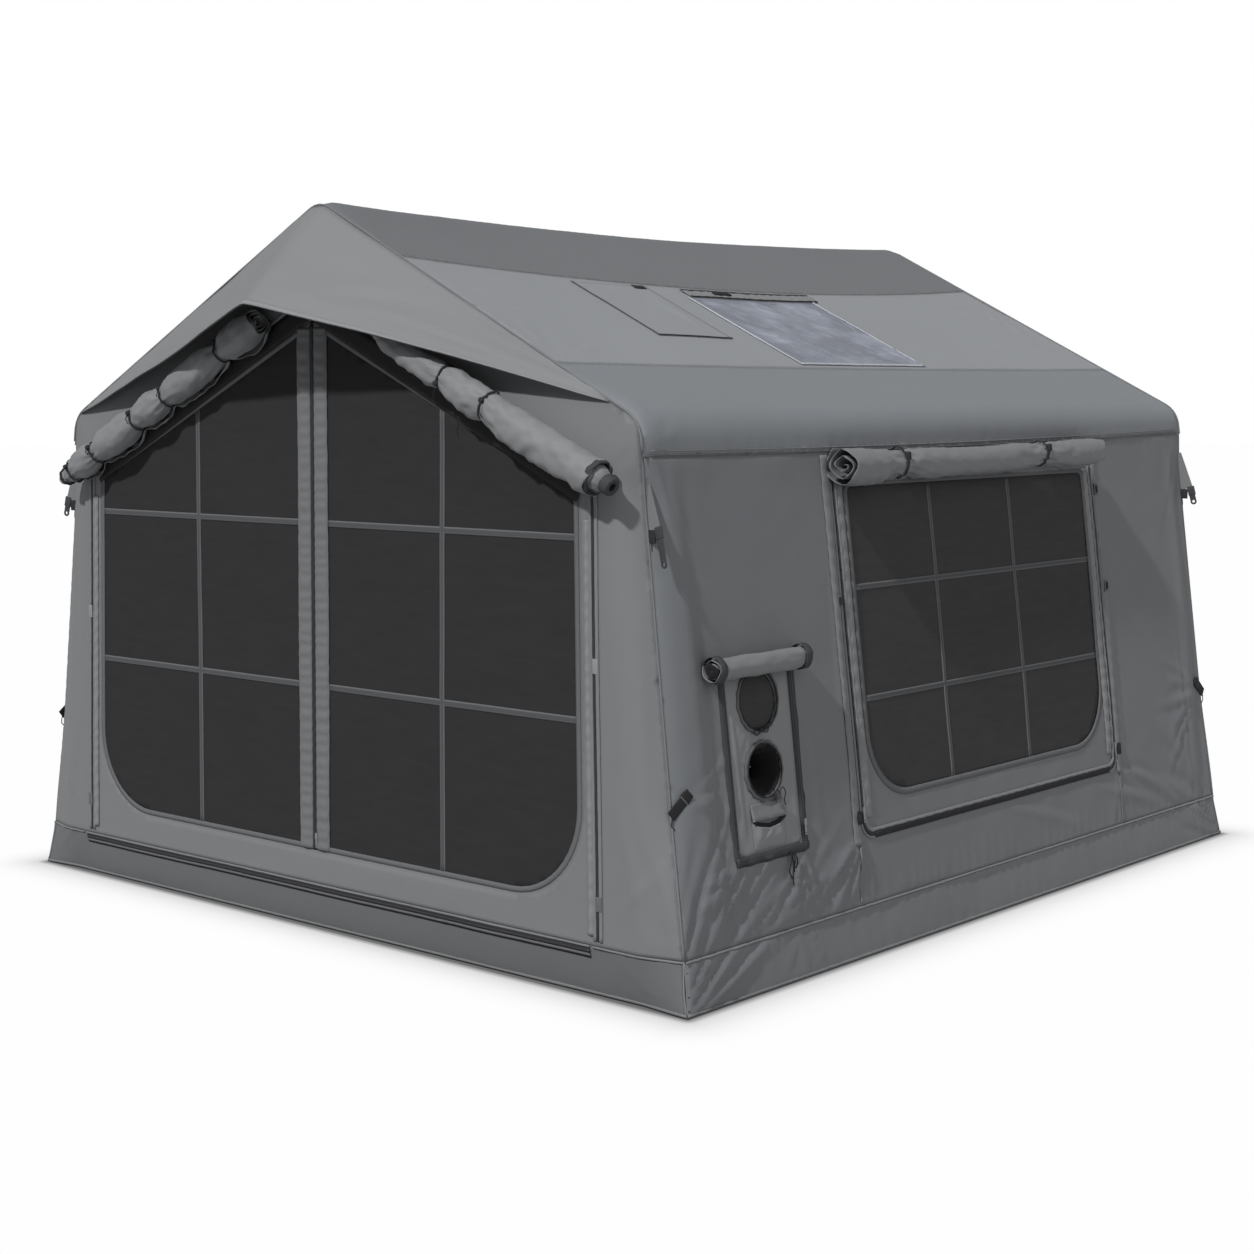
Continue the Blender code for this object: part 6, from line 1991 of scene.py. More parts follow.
def arc_length(points: Array) -> float:
    """Length of a polyline in space."""
    return float(np.linalg.norm(np.diff(points, axis=0), axis=1).sum())


def soft_path(points: Sequence[Sequence[float]], step: float = 0.006) -> Array:
    """Smooth curve through some points.

    Args:
        points: points it passes through.
        step: distance between the points of the curve.
    Returns:
        Points of the curve.
    """
    given = np.asarray(points, float)
    full = np.vstack([2 * given[0] - given[1], given, 2 * given[-1] - given[-2]])
    made = []
    for k in range(1, len(full) - 2):
        a, b, c, d = full[k - 1:k + 3]
        count = max(2, math.ceil(float(np.linalg.norm(c - b)) / step))
        for t in np.arange(count) / count:
            made.append(0.5 * (2 * b + (c - a) * t + (2 * a - 5 * b + 4 * c - d) * t ** 2
                               + (3 * b - a - 3 * c + d) * t ** 3))
    made.append(full[-2])
    return np.array(made)


def lathe_mesh(origin: Array, axis: Array, profile: Outline, around: int,
               flute: Relief | None = None) -> tuple[Array, list[tuple[int, ...]]]:
    """Closed turned shape.

    Args:
        origin: point on the axis.
        axis: direction of the axis.
        profile: closed section as (radius, height).
        around: points around.
        flute: share added to the radius from height and angle.
    Returns:
        Points and faces.
    """
    axis = np.asarray(axis, float) / np.linalg.norm(axis)
    first = np.cross(axis, (0.0, 0.0, 1.0))
    if np.linalg.norm(first) < 0.2:
        first = np.cross(axis, (1.0, 0.0, 0.0))
    first /= np.linalg.norm(first)
    second = np.cross(axis, first)
    turns = math.tau * np.arange(around) / around
    rings = []
    for radius, height in profile:
        reach = radius * (1 + (flute(np.full(around, height), turns) if flute else 0.0)) * np.ones(around)
        rings.append(np.asarray(origin) + axis * height + first * (reach * np.cos(turns))[:, None]
                     + second * (reach * np.sin(turns))[:, None])
    return np.vstack(rings), ring_faces(len(profile), around, True)


def outward(points: Array, faces: list[tuple[int, ...]]) -> list[tuple[int, ...]]:
    """Faces of a closed shape, turned so that they look outward."""
    build = bmesh.new()
    made = [build.verts.new(tuple(point)) for point in points]
    for face in faces:
        build.faces.new([made[k] for k in face])
    build.verts.index_update()
    volume = build.calc_volume(signed=True)
    build.free()
    return faces if volume > 0 else [face[::-1] for face in faces]


@dataclass
class Trims:
    """Small sewn and moulded parts that several sub-assemblies share."""

    room: Workroom

    def turned(self, name: str, origin: Array, axis: Array, profile: Outline, finish: Finish,
               around: int = 32, flute: Relief | None = None) -> bpy.types.Object:
        """Turned piece from a closed section.

        Args:
            name: name of the piece.
            origin: point on the axis.
            axis: direction of the axis.
            profile: closed section as (radius, height).
            finish: its finish.
            around: points around.
            flute: share added to the radius.
        Returns:
            The piece.
        """
        points, faces = lathe_mesh(origin, axis, profile, around, flute)
        return self.room.piece(name, points, outward(points, faces), finish)

    def ring(self, name: str, centre: Array, axis: Array, reach: float, radius: float, finish: Finish,
             flat: float = 1.0, around: int = 36, flute: Relief | None = None) -> bpy.types.Object:
        """Ring of round or oval section.

        Args:
            name: name of the piece.
            centre: its middle.
            axis: direction of its axis.
            reach: radius of the ring.
            radius: radius of the section across the ring.
            finish: its finish.
            flat: height of the section against its width.
            around: points around.
            flute: share added to the radius.
        Returns:
            The piece.
        """
        turns = [math.tau * k / 10 for k in range(10)]
        section = [(reach + radius * math.cos(turn), flat * radius * math.sin(turn)) for turn in turns]
        return self.turned(name, centre, axis, section, finish, around, flute)

    def block(self, name: str, centre: Array, axes: tuple[Array, Array, Array],
              size: tuple[float, float, float], finish: Finish, bevel: float = 0.3) -> bpy.types.Object:
        """Small block with rounded edges.

        Args:
            name: name of the piece.
            centre: its middle.
            axes: its three directions.
            size: its three sizes.
            finish: its finish.
            bevel: share of the smallest size that is rounded.
        Returns:
            The piece.
        """
        build = bmesh.new()
        bmesh.ops.create_cube(build, size=1.0)
        for vertex in build.verts:
            vertex.co = Vector([vertex.co[k] * size[k] for k in range(3)])
        bmesh.ops.bevel(build, geom=list(build.edges), offset=min(size) * bevel, segments=2, affect="EDGES",
                        profile=0.6)
        basis = np.array([np.asarray(axis, float) / np.linalg.norm(axis) for axis in axes])
        points = np.array([tuple(vertex.co) for vertex in build.verts]) @ basis + np.asarray(centre)
        build.verts.index_update()
        faces = [tuple(vertex.index for vertex in face.verts) for face in build.faces]
        build.free()
        return self.room.piece(name, points, outward(points, faces), finish)

    def cord(self, name: str, points: Sequence[Sequence[float]], diameter: float, far_end: str,
             lay: str = "hanging") -> bpy.types.Object:
        """Cord along a smooth path.

        Args:
            name: name of the piece.
            points: points it passes through, from where it leaves the tent.
            diameter: its diameter.
            far_end: what is at its other end; not used.
            lay: how it lies; not used.
        Returns:
            The piece.
        """
        path = soft_path(points, 0.004)
        made = self.room.tube(name, path, np.full(len(path), diameter / 2), CORD_BLACK)
        return made


@dataclass(frozen=True)
class RollShape:
    """Rolled cover: a sheet wound round an axis, waisted at its ties."""

    start: tuple[float, float, float]
    end: tuple[float, float, float]
    out: tuple[float, float, float]
    radius: float
    ties: tuple[float, ...]
    waist: float
    turns: float = 3.2
    core: float = 0.010
    lump: float = 0.10
    crumple: float = 0.055
    end_share: float = 0.8
    start_share: float = 0.8
    edge_turn: float = 0.6
    taper: float = 0.0
    gather: float = 0.32
    twist: float = 6.0
    sag: float = 0.006
    reach: float = 0.040
    flatten: float = 0.92
    ragged: float = 0.006
    seed: int = 1

    @property
    def length(self) -> float:
        """Length of the axis."""
        return math.dist(self.start, self.end)

    def axis(self, share: Array) -> Array:
        """Points of the axis, which sags between the ties."""
        start, end = np.array(self.start), np.array(self.end)
        marks = np.array(sorted({0.0, *self.ties, 1.0}))
        index = np.clip(np.searchsorted(marks, share, side="right") - 1, 0, len(marks) - 2)
        inner = (share - marks[index]) / (marks[index + 1] - marks[index])
        span = marks[index + 1] - marks[index]
        drop = self.sag * np.sin(np.clip(inner, 0, 1) * math.pi) * span * 3
        points = start + (end - start) * share[:, None]
        points[:, 2] -= drop
        return points

    def size(self, share: Array) -> Array:
        """Radius at each share of the length."""
        noise = Grain(self.seed + 3).waves(np.stack([share * self.length, 0 * share], 1), 0.22, octaves=2)
        size = self.radius * (1 + self.lump * noise) * (1 - self.taper * (1 - smooth(share / 0.45)))
        for tie in self.ties:
            far = (share - tie) * self.length
            size = size * (1 - (1 - self.waist) * np.exp(-np.abs(far / self.reach) ** 1.5))
        size = size * (self.start_share + (1 - self.start_share) * smooth(share * self.length / 0.06))
        return size * (self.end_share + (1 - self.end_share) * smooth((1 - share) * self.length / 0.06))

    def flute(self, share: Array, turn: Array) -> Array:
        """Share that folds add to the radius.

        Args:
            share: share of the length.
            turn: angle round the axis.
        Returns:
            Share of the radius.
        """
        far = share * self.length
        uv = np.stack([turn * self.radius + 0.10 * far * self.twist / 6.0, far], 1)
        broad = Grain(self.seed).waves(uv, 0.070, 2.0, math.pi / 2 - 0.35, 2)
        crisp = 1 - 2.6 * np.abs(Grain(self.seed + 1).waves(uv, 0.050, 3.0, math.pi / 2 + 0.75, 1))
        cross = 1 - 2.6 * np.abs(Grain(self.seed + 2).waves(uv, 0.062, 3.5, 0.35, 1))
        total = self.crumple * (0.80 * broad + 0.45 * crisp + 0.35 * cross)
        for k, tie in enumerate(self.ties):
            near = np.abs(share - tie) * self.length
            around = np.stack([turn * 0.05, near * 0.25 + 0.31 * k], 1)
            gather = 1 - 2 * np.abs(Grain(self.seed + 7 + k).waves(around, 0.026, 1.0, 0.0, 1))
            fade = np.exp(-near / (self.reach * 1.5)) * smooth(near / 0.012 + 0.30)
            total = total + self.gather * (gather - 0.4) * fade
        return total

    def frame(self) -> tuple[Array, Array, Array]:
        """Axis, outward and third direction."""
        way = np.array(self.end) - np.array(self.start)
        way /= np.linalg.norm(way)
        out = np.array(self.out, float)
        out -= way * float(out @ way)
        out /= np.linalg.norm(out)
        return way, out, np.cross(way, out)

    def wound(self, room: Workroom, name: str, finish: Finish, steps: int = 40,
              thickness: float = 0.0013) -> bpy.types.Object:
        """Make the wound sheet.

        Args:
            room: where it is made.
            name: name of the piece.
            finish: its cloth.
            steps: points to a turn.
            thickness: thickness of the cloth.
        Returns:
            The piece.
        """
        count = int(self.turns * steps)
        rows = int(self.length / 0.0085)
        k = np.arange(count + 1) / count
        j = np.arange(rows + 1) / rows
        grid_k, grid_j = np.meshgrid(k, j, indexing="ij")
        k_flat, j_flat = grid_k.ravel(), grid_j.ravel()
        turn = self.edge_turn - math.tau * self.turns * (1 - k_flat)
        way, out, other = self.frame()
        size = self.size(j_flat)
        layer = self.core + (size - self.core) * k_flat ** 0.85
        angle = np.mod(turn, math.tau)
        stretch = 1 + self.flute(j_flat, angle) * k_flat
        seam = smooth((angle / math.tau - 0.93) / 0.07)
        first = 1 + self.flute(j_flat, angle - math.tau) * k_flat
        stretch = stretch * (1 - seam) + first * seam
        ends = self.ragged * np.sin(3.1 * turn + self.seed) * (np.exp(-j_flat * 18)
                                                               - np.exp(-(1 - j_flat) * 18))
        middle = self.axis(j_flat) + way * ends[:, None]

        def shell(extra: float) -> Array:
            """Points at a distance from the middle of the cloth."""
            reach = layer * stretch + extra
            return (middle + out * (reach * np.cos(turn) * self.flatten)[:, None]
                    + other * (reach * np.sin(turn))[:, None])

        columns = rows + 1
        index = np.arange((count + 1) * columns).reshape(count + 1, columns)
        made = room.closed(name, shell(thickness / 2), shell(-thickness / 2), quads(index), finish)
        ring = np.stack([layer * np.cos(turn), layer * np.sin(turn)], 1).reshape(count + 1, columns, 2)
        wide = float(np.linalg.norm(np.diff(ring[:, columns // 2], axis=0), axis=1).sum())
        room.hold(made, (wide, self.length), Held.FOLDED, area=area_of(made) / 2 / 1.05)
        return made

    def tie(self, trims: Trims, name: str, share: float, width: float, finish: Finish) -> bpy.types.Object:
        """Strap round the roll at a tie.

        Args:
            trims: maker of small parts.
            name: name of the piece.
            share: place along the roll.
            width: width of the strap.
            finish: its finish.
        Returns:
            The piece.
        """
        _, out, other = self.frame()
        around = 48
        turns = math.tau * np.arange(around) / around
        rings = []
        profile = [(-1.0, 0.0004), (-0.8, 0.0026), (0.8, 0.0026), (1.0, 0.0004), (0.8, -0.0006),
                   (-0.8, -0.0006)]
        for along, rise in profile:
            shares = np.full(around, share + along * (width / 2) / self.length)
            reach = self.size(shares) * (1 + self.flute(shares, turns) * 0.6) + rise + 0.001
            rings.append(self.axis(shares) + out * (reach * np.cos(turns) * self.flatten)[:, None]
                         + other * (reach * np.sin(turns))[:, None])
        points = np.vstack(rings)
        return trims.room.piece(name, points, outward(points, ring_faces(len(profile), around, True)), finish)

    def surface_point(self, share: float, turn: float, rise: float = 0.0) -> Array:
        """Point on the outside of the roll."""
        _, out, other = self.frame()
        at = np.array([share])
        reach = float((self.size(at) * (1 + self.flute(at, np.array([turn]))))[0]) + rise
        return self.axis(at)[0] + out * reach * math.cos(turn) * self.flatten + other * reach * math.sin(turn)


@dataclass
class Door:
    """Two netting leaves, their tapes and zips, and the rolled outer door."""

    room: Workroom
    trims: Trims
    shell: Shell
    rails: tuple[float, float] = (0.7738, 1.2791)
    post: float = 0.572
    tape: float = 0.020

    def leaf_place(self, side: Side) -> Place:
        """Front surface, mirrored for the left leaf."""
        def place(x: Array, z: Array, rise: Array | float = 0.0) -> Array:
            """Points of this leaf's plane."""
            return SKIN.front(x, z, rise) * np.array([side.value, 1, 1])

        return place

    def leaf_outline(self, edge: float, parting: float) -> list[tuple[float, float]]:
        """Outline of the right leaf, drawn in by one distance at the rim and another at the parting."""
        shell = self.shell
        low = shell.door_sill_z + edge
        foot = shell.door_half(low) - edge
        slope = shell.gable_slope
        drop = edge * math.sqrt(1 + slope ** 2)
        shoulder_x = shell.door_shoulder_x - edge
        corners = [(parting, low), (foot, low), (shoulder_x, shell.door_apex_z - drop - slope * shoulder_x),
                   (parting, shell.door_apex_z - drop - slope * parting)]
        return rounded(corners, (0, shell.door_corner_r - edge, 0, 0), 12)

    def dress(self) -> None:
        """Leaves, zips and rolls."""
        for side in Side:
            self.leaf(side)
            self.side_zip(side)
        self.bottom_zip()
        self.rolls()

    def leaf(self, side: Side) -> None:
        """One netting leaf with its tapes.

        Args:
            side: which leaf.
        """
        shell, place = self.shell, self.leaf_place(side)
        body = "door_leaf_" + side.word
        outline = self.leaf_outline(0.0012, 0.0006)
        seed = 400 + side.value
        folds: list[object] = [Waves(seed, 0.45, 0.0030, 1.5, 1.2), Waves(seed + 1, 0.10, 0.0006)]
        folds += fan((1.10, 0.30), (100, 175), 0.50, 0.020, 0.0022, 6, seed + 2)
        folds.append(Pucker(((0.06, 0.25), (0.06, 1.85)), 0.06, 0.0016, 0.05, seed + 3))
        net = self.room.sheet("door_net_" + side.word, outline, (), place, NET, folds, 0.030, 0.0008,
                              rise=-0.0015, calm=0.05, body=body)
        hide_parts("door_mesh_" + side.word)
        over = Surface(place, folds, [dense(outline, LOOP_STEP)], 0.05)
        tapes = [Tape(self.leaf_outline(0.009, 0.010), 0.017, TAPE_GREY, -0.0014, 0.0022, 0.022, arch=0.0012,
                      closed=True)]
        tapes += [Tape([(0.060, rail), (shell.door_half(rail) - 0.012, rail)], self.tape, BAR, -0.0013,
                       0.0014, 0.03, 4, 0.0006) for rail in self.rails]
        top = shell.door_apex_z - shell.gable_slope * self.post - 0.012
        tapes.append(Tape([(self.post, shell.door_sill_z + 0.012), (self.post, top)], self.tape, BAR, -0.0011,
                          0.0014, 0.03, 4, 0.0006))
        grid = self.room.tapes("door_tapes_" + side.word, tapes, place, over, body)
        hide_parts("door_bars_" + side.word)
        low, high = shell.door_sill_z + 0.004, shell.door_apex_z - shell.gable_slope * 0.036 - 0.010
        wrinkled = Tape([(0.0375, low), (0.0375, high)], 0.058, CLOTH_BAND, 0.0008, 0.0012, 0.008, 8, 0.0045,
                        (0.0042, 0.034))
        band = self.room.strip("door_band_" + side.word, wrinkled, place, over, body)
        coil = [Tape([(0.0055, low), (0.0055, high + 0.01)], 0.009, TAPE_BLACK, 0.0004, 0.0016, arch=0.001),
                Tape([(0.0024, low), (0.0024, high + 0.01)], 0.0036, ZIP_TEETH, 0.0012, 0.0022, 0.01, 2,
                     0.0008, (0.0005, 0.012))]
        hem = Tape([(0.066, low), (0.066, high - 0.01)], 0.006, CLOTH_BAND, 0.0006, 0.0020, arch=0.001)
        zipper = self.room.tapes("door_zip_coil_" + side.word, coil, place, over, body)
        hems = self.room.tapes("door_band_hem_" + side.word, [hem], place, over, body)
        self.room.hold(net, (1.14, 1.65), Held.STRETCHED, area=polygon_area(outline),
                       with_pieces=[grid, band, zipper, hems])

    def side_zip(self, side: Side) -> None:
        """Zip up one side and under the gable, between its two cloth lips.

        Args:
            side: which side.
        """
        over = self.shell.surfaces["front_wall"]
        sign = side.value
        path, outer, inner, margin, border = (
            [(sign * x, z) for x, z in line] for line in (
                ((1.192, 0.165), (1.160, 1.420), (0.040, 1.950)),
                ((1.203, 0.165), (1.171, 1.428), (0.046, 1.960)),
                ((1.180, 0.165), (1.149, 1.412), (0.034, 1.939)), ((1.1665, 0.180), (1.1385, 1.330)),
                ((1.118, 1.405), (0.022, 1.924))))
        strips = [Tape(path, 0.024, TAPE_BLACK, 0.0003),
                  Tape(path, 0.0050, ZIP_TEETH, 0.0012, 0.0018, 0.012, 2, 0.0008, (0.0004, 0.011)),
                  Tape(outer, 0.0130, CLOTH_PLACKET, 0.0012, 0.0014, 0.014, 3, 0.0022, (0.0012, 0.060)),
                  Tape(inner, 0.0120, CLOTH_PLACKET, 0.0012, 0.0014, 0.014, 3, 0.0018, (0.0012, 0.050)),
                  Tape(margin, 0.026, CLOTH_FLAP, 0.0010, 0.0012, 0.010, 4, 0.0016, (0.0040, 0.046)),
                  Tape(border, 0.062, NET, 0.0052, 0.0010, 0.03, 4)]
        made = self.room.tapes("door_side_zip_" + side.word + "_sewn", strips, SKIN.front, over)
        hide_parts("door_side_zip_" + side.word)
        self.room.sew("wall_front_cloth", made)
        tabs = []
        for k, z in enumerate((0.270, 0.930)):
            x = float(1.192 - 0.032 * (z - 0.165) / 1.255)
            centre = over.point(sign * (x + 0.006), z, 0.0045)
            tabs.append(self.trims.block("tab", centre, ((1, 0, 0), (0, 0, 1), (0, 1, 0)),
                                         (0.020, 0.042, 0.0032), TAPE_LIGHT if k else TAPE_GREY, 0.35))
        self.room.sew("wall_front_cloth", join("door_zip_tabs_" + side.word, tabs))

    def bottom_zip(self) -> None:
        """Zip band along the foot of the front."""
        rows = ((0.129, 0.034, TAPE_BLACK, 0.0003, 0.0012, 0.03),
                (0.133, 0.006, ZIP_TEETH, 0.0012, 0.0020, 0.014, 2, 0.001, (0.0004, 0.011)),
                (0.1215, 0.008, TAPE_GREY, 0.0012, 0.0014, 0.02, 3, 0.0022, (0.0008, 0.08)),
                (0.1465, 0.007, CLOTH_PLACKET, 0.0008, 0.0014, 0.02, 3, 0.002, (0.0008, 0.09)))
        strips = [Tape([(-1.230, z), (1.160, z)], *rest) for z, *rest in rows]
        made = self.room.tapes("door_bottom_zip_sewn", strips, SKIN.skirt_end(-1),
                               self.shell.surfaces["skirt_front"])
        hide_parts("door_bottom_zip")
        self.room.sew("skirt_front_cloth", made)

    def roll_shape(self, side: Side) -> RollShape:
        """Shape of one rolled door panel."""
        top, low = (point_of(SKIN.front, x, float(SKIN.roof_line(x)) - drop, 0.0578) * (side.value, 1, 1)
                    for x, drop in ((0.360, 0.2312), (1.195, 0.1912)))
        if side is Side.RIGHT:
            return RollShape(tuple(top + (0, 0, 0.008)), tuple(low + (low - top) * 0.04), (0.0, -1.0, 0.0),
                             0.0545,
                             (0.33, 0.53), 0.68, lump=0.06, crumple=0.185, edge_turn=2.3, start_share=0.60,
                             end_share=0.93, taper=0.38, seed=31)
        start = top + (top - low) * 0.21 - (0, 0, 0.030)
        finish = low + (low - start) * 0.035 - (0, 0, 0.053)
        return RollShape(tuple(start), tuple(finish), (0.0, -1.0, 0.0), 0.0600,
                         (0.173, 0.450, 0.605, 0.825, 0.950),
                         0.58, lump=0.10, crumple=0.165, edge_turn=-2.0, start_share=0.75, end_share=0.38,
                         gather=0.36, seed=57)

    def rolls(self) -> None:
        """Both rolled panels of the outer door with their ties."""
        for side in Side:
            shape = self.roll_shape(side)
            name = "door_roll_" + side.word
            roll = shape.wound(self.room, name + "_cloth", CLOTH_ROLL)
            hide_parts(name)
            ties = [shape.tie(self.trims, "tie", share, 0.007, TAPE_BLACK) for share in shape.ties]
            axes = shape.frame()
            first, step = (0.5, 0.9) if side is Side.RIGHT else (0.9, 0.15)
            for k, share in enumerate(shape.ties):
                knot = shape.surface_point(share, first - step * k, 0.004)
                ties.append(self.trims.block("knot", knot, axes, (0.017, 0.012, 0.015), TAPE_BLACK, 0.45))
            self.room.sew(name + "_cloth", join(name + "_ties", ties))
            for k, share in enumerate(shape.ties[:4]):
                start = shape.surface_point(share, first - step * k, 0.006)
                drop = np.array([[0, 0, 0], [0.004, -0.006, -0.018], [-0.003, -0.004, -0.040],
                                 [0.004, 0.0, -0.062]])
                self.trims.cord(name + "_tie_end_" + str(k), start + drop * (1, 1, 1 - 0.2 * k), 0.0030,
                                "knot")
            self.roll_end(side, shape)

    def roll_end(self, side: Side, shape: RollShape) -> None:
        """Bound rim and hollow core end of a rolled panel; on the right panel a near-black disc and bore
        paint the shade inside the hollow.

        Args:
            side: which panel.
            shape: its roll.
        """
        way = shape.frame()[0]
        end = shape.axis(np.array([1.0]))[0]
        grain = Grain(71)

        def gathered(height: Array, turn: Array) -> Array:
            """Gathers of the cloth at the rim."""
            return (0.05 * np.sin(turn * 9 + 2 * grain.at(turn, height * 20))
                    * np.exp(-np.abs(height + 0.01) / 0.03))

        right = side is Side.RIGHT
        reach = 0.045 if right else 0.026
        wide = 0.0075 if right else 0.0035
        rim = [(reach, -wide), (reach + 0.0045, -wide - 0.001), (reach + 0.0055, 0.0),
               (reach + 0.0045, wide + 0.001), (reach, wide), (reach - 0.0015, 0.0)]
        pieces = [self.trims.turned("rim", end - way * 0.004, way, rim, TAPE_DARK if right else TAPE_BLACK,
                                    48, gathered)]
        rows = [("cone", [(0.010, -0.020), (reach, -0.006), (reach - 0.002, 0.010), (0.016, 0.026),
                          (0.007, 0.034), (0.003, 0.030)], CLOTH_ROLL, 48, gathered)]
        if right:
            rows = [("cone", [(0.038, -0.020), (0.039, -0.018), (0.0335, 0.012), (0.0245, 0.034),
                              (0.0225, 0.034), (0.0315, 0.010)], CLOTH_FLAP, 56, gathered),
                    # Near-black disc and bore: painted shade inside the roll's hollow end.
                    ("lining", [(0.004, -0.012), (0.0455, -0.014), (0.0455, -0.010), (0.004, -0.009)],
                     CLOTH_PAINTED_SHADE, 32),
                    ("core", [(0.0115, 0.004), (0.0250, 0.004), (0.0265, 0.030), (0.0262, 0.056),
                              (0.0240, 0.059), (0.0125, 0.059)], TAPE_DARK, 40),
                    ("bore", [(0.0020, 0.006), (0.0118, 0.006), (0.0118, 0.057), (0.0108, 0.057),
                              (0.0108, 0.008), (0.0020, 0.008)], CLOTH_PAINTED_SHADE, 24)]
        pieces += [self.trims.turned(name, end, way, *row) for name, *row in rows]
        self.room.sew("door_roll_" + side.word + "_cloth", join("door_roll_" + side.word + "_end", pieces))


@dataclass
class Window:
    """Side window: netting, tapes, zip with its plackets, hook tabs and rolled cover."""

    room: Workroom
    trims: Trims
    shell: Shell
    side: Side
    posts: tuple[float, float] = (-0.1897, 0.2848)
    rails: tuple[float, float] = (0.7548, 1.0898)

    def dress(self) -> None:
        """Everything of one window."""
        word = self.side.word
        place = SKIN.side(self.side.value)
        wall = "wall_" + word + "_cloth"
        outline = self.shell.window_outline(-0.0010)
        folds: list[object] = [Waves(500 + self.side.value, 0.40, 0.0030, 1.4, 0.3)]
        folds += fan((-0.60, 0.50), (20, 75), 0.40, 0.018, 0.0016, 4, 503)
        net = self.room.sheet("window_net_" + word, outline, (), place, NET_SIDE, folds, 0.030, 0.0008,
                              rise=-0.0012, calm=0.05)
        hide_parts("window_mesh_" + word)
        over = Surface(place, folds, [dense(outline, LOOP_STEP)], 0.05)
        ground = self.shell.surfaces[word + "_wall"]
        front, rear, low, high = self.shell.window
        rim = Tape(self.shell.window_outline(0.0), 0.020, TAPE_GREY, 0.0004, 0.0020, 0.020, arch=0.0012,
                   closed=True)
        bars = [([(front + 0.008, rail), (rear - 0.008, rail)], -0.0011) for rail in self.rails]
        bars += [([(post, low + 0.008), (post, high - 0.008)], -0.0009) for post in self.posts]
        tapes = [self.room.strip("rim", rim, place, ground)]
        tapes += [self.room.strip("bar", Tape(line, 0.018, BAR, rise, 0.0014, 0.03, 4, 0.0006), place, over)
                  for line, rise in bars]
        grid = join("window_tapes_" + word, tapes)
        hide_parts("window_bars_" + word)
        self.room.hold(net, (1.423, 0.947), Held.STRETCHED, area=polygon_area(outline), with_pieces=[grid])
        self.zip(place, ground, wall)
        self.tabs(ground, wall)
        self.cover()

    def track(self, grow: float) -> list[tuple[float, float]]:
        """U-shaped line along the zip, grown by a distance."""
        front, rear, low, high = -0.699 - grow, 0.844 + grow, 0.353 - grow, 1.414
        corners = rounded([(front, high + 0.5), (front, low), (rear, low), (rear, high + 0.5)],
                          (0, 0.045 + grow * 0.7, 0.045 + grow * 0.7, 0), 6)
        return [(front, high)] + corners[1:-1] + [(rear, high)]

    def zip(self, place: Place, ground: Surface, wall: str) -> None:
        """Zip and its plackets.

        Args:
            place: surface of the wall.
            ground: the wall's own folds.
            wall: name of the wall's piece.
        """
        word = self.side.word
        line = self.track(0.0)
        strips = [Tape(line, 0.020, TAPE_BLACK, 0.0004, 0.0012, 0.016),
                  Tape(line, 0.0050, ZIP_TEETH, 0.0012, 0.0020, 0.010, 2, 0.0008, (0.0004, 0.011)),
                  Tape(self.track(-0.0105), 0.013, CLOTH_PLACKET, 0.0010, 0.0014, 0.012, 3, 0.0024,
                       (0.0016, 0.055)),
                  Tape(self.track(0.0105), 0.009, CLOTH_FLAP_DULL, 0.0006, 0.0014, 0.012, 3, 0.0008,
                       (0.0006, 0.045)),
                  Tape([(-0.650, 0.353), (0.795, 0.353)], 0.026, TAPE_BLACK, 0.0030, 0.0012, 0.03, 2, 0.0012)]
        made = self.room.tapes("window_zip_" + word + "_sewn", strips, place, ground)
        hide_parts("window_zip_" + word)
        self.room.sew(wall, made)
        flaps = []
        for y, width, wave in ((-0.734, 0.038, 0.055), (0.870, 0.026, 0.060)):
            aside = y + 0.062 * (1 if y < 0 else -1)
            flaps += [Tape([(y, 1.488), (y - 0.004, 0.330)], width, CLOTH_FLAP_DULL, 0.0008, 0.0014, 0.012, 6,
                           0.0030, (0.0034, wave)),
                      Tape([(aside, 1.405), (aside, 0.405)], 0.034, CLOTH_MARGIN, 0.0008, 0.0012, 0.010, 5,
                           0.0020, (0.0042, 0.050)),
                      Tape([(y, 0.330), (y - 0.008, 0.158)], 0.008, CLOTH_FLAP_DULL, 0.0004, 0.0012, 0.010, 3,
                           0.0018, (0.0016, 0.040))]
        self.room.sew(wall, self.room.tapes("window_placket_" + word, flaps, place, ground))

    def tabs(self, ground: Surface, wall: str) -> None:
        """Hook tabs beside the zip.

        Args:
            ground: the wall's own folds.
            wall: name of the wall's piece.
        """
        tabs = []
        for y, z, finish in ((-0.728, 1.055, TAPE_GREY), (-0.726, 0.410, TAPE_BLACK),
                             (0.872, 0.990, TAPE_GREY),
                             (0.868, 0.415, TAPE_BLACK), (0.868, 1.330, TAPE_GREY)):
            centre = ground.point(y, z, 0.0078)
            out = ground.point(y, z, 0.1078) - centre
            up = np.cross(out, (0.0, 1.0, 0.0)) * self.side.value
            tabs.append(self.trims.block("tab", centre, ((0, 1, 0), up, out), (0.022, 0.040, 0.004), finish,
                                         0.35))
            tabs.append(self.trims.block("hook", centre + out * 0.035, ((0, 1, 0), up, out),
                                         (0.011, 0.024, 0.004), TAPE_BLACK, 0.4))
        self.room.sew(wall, join("window_tabs_" + self.side.word, tabs))

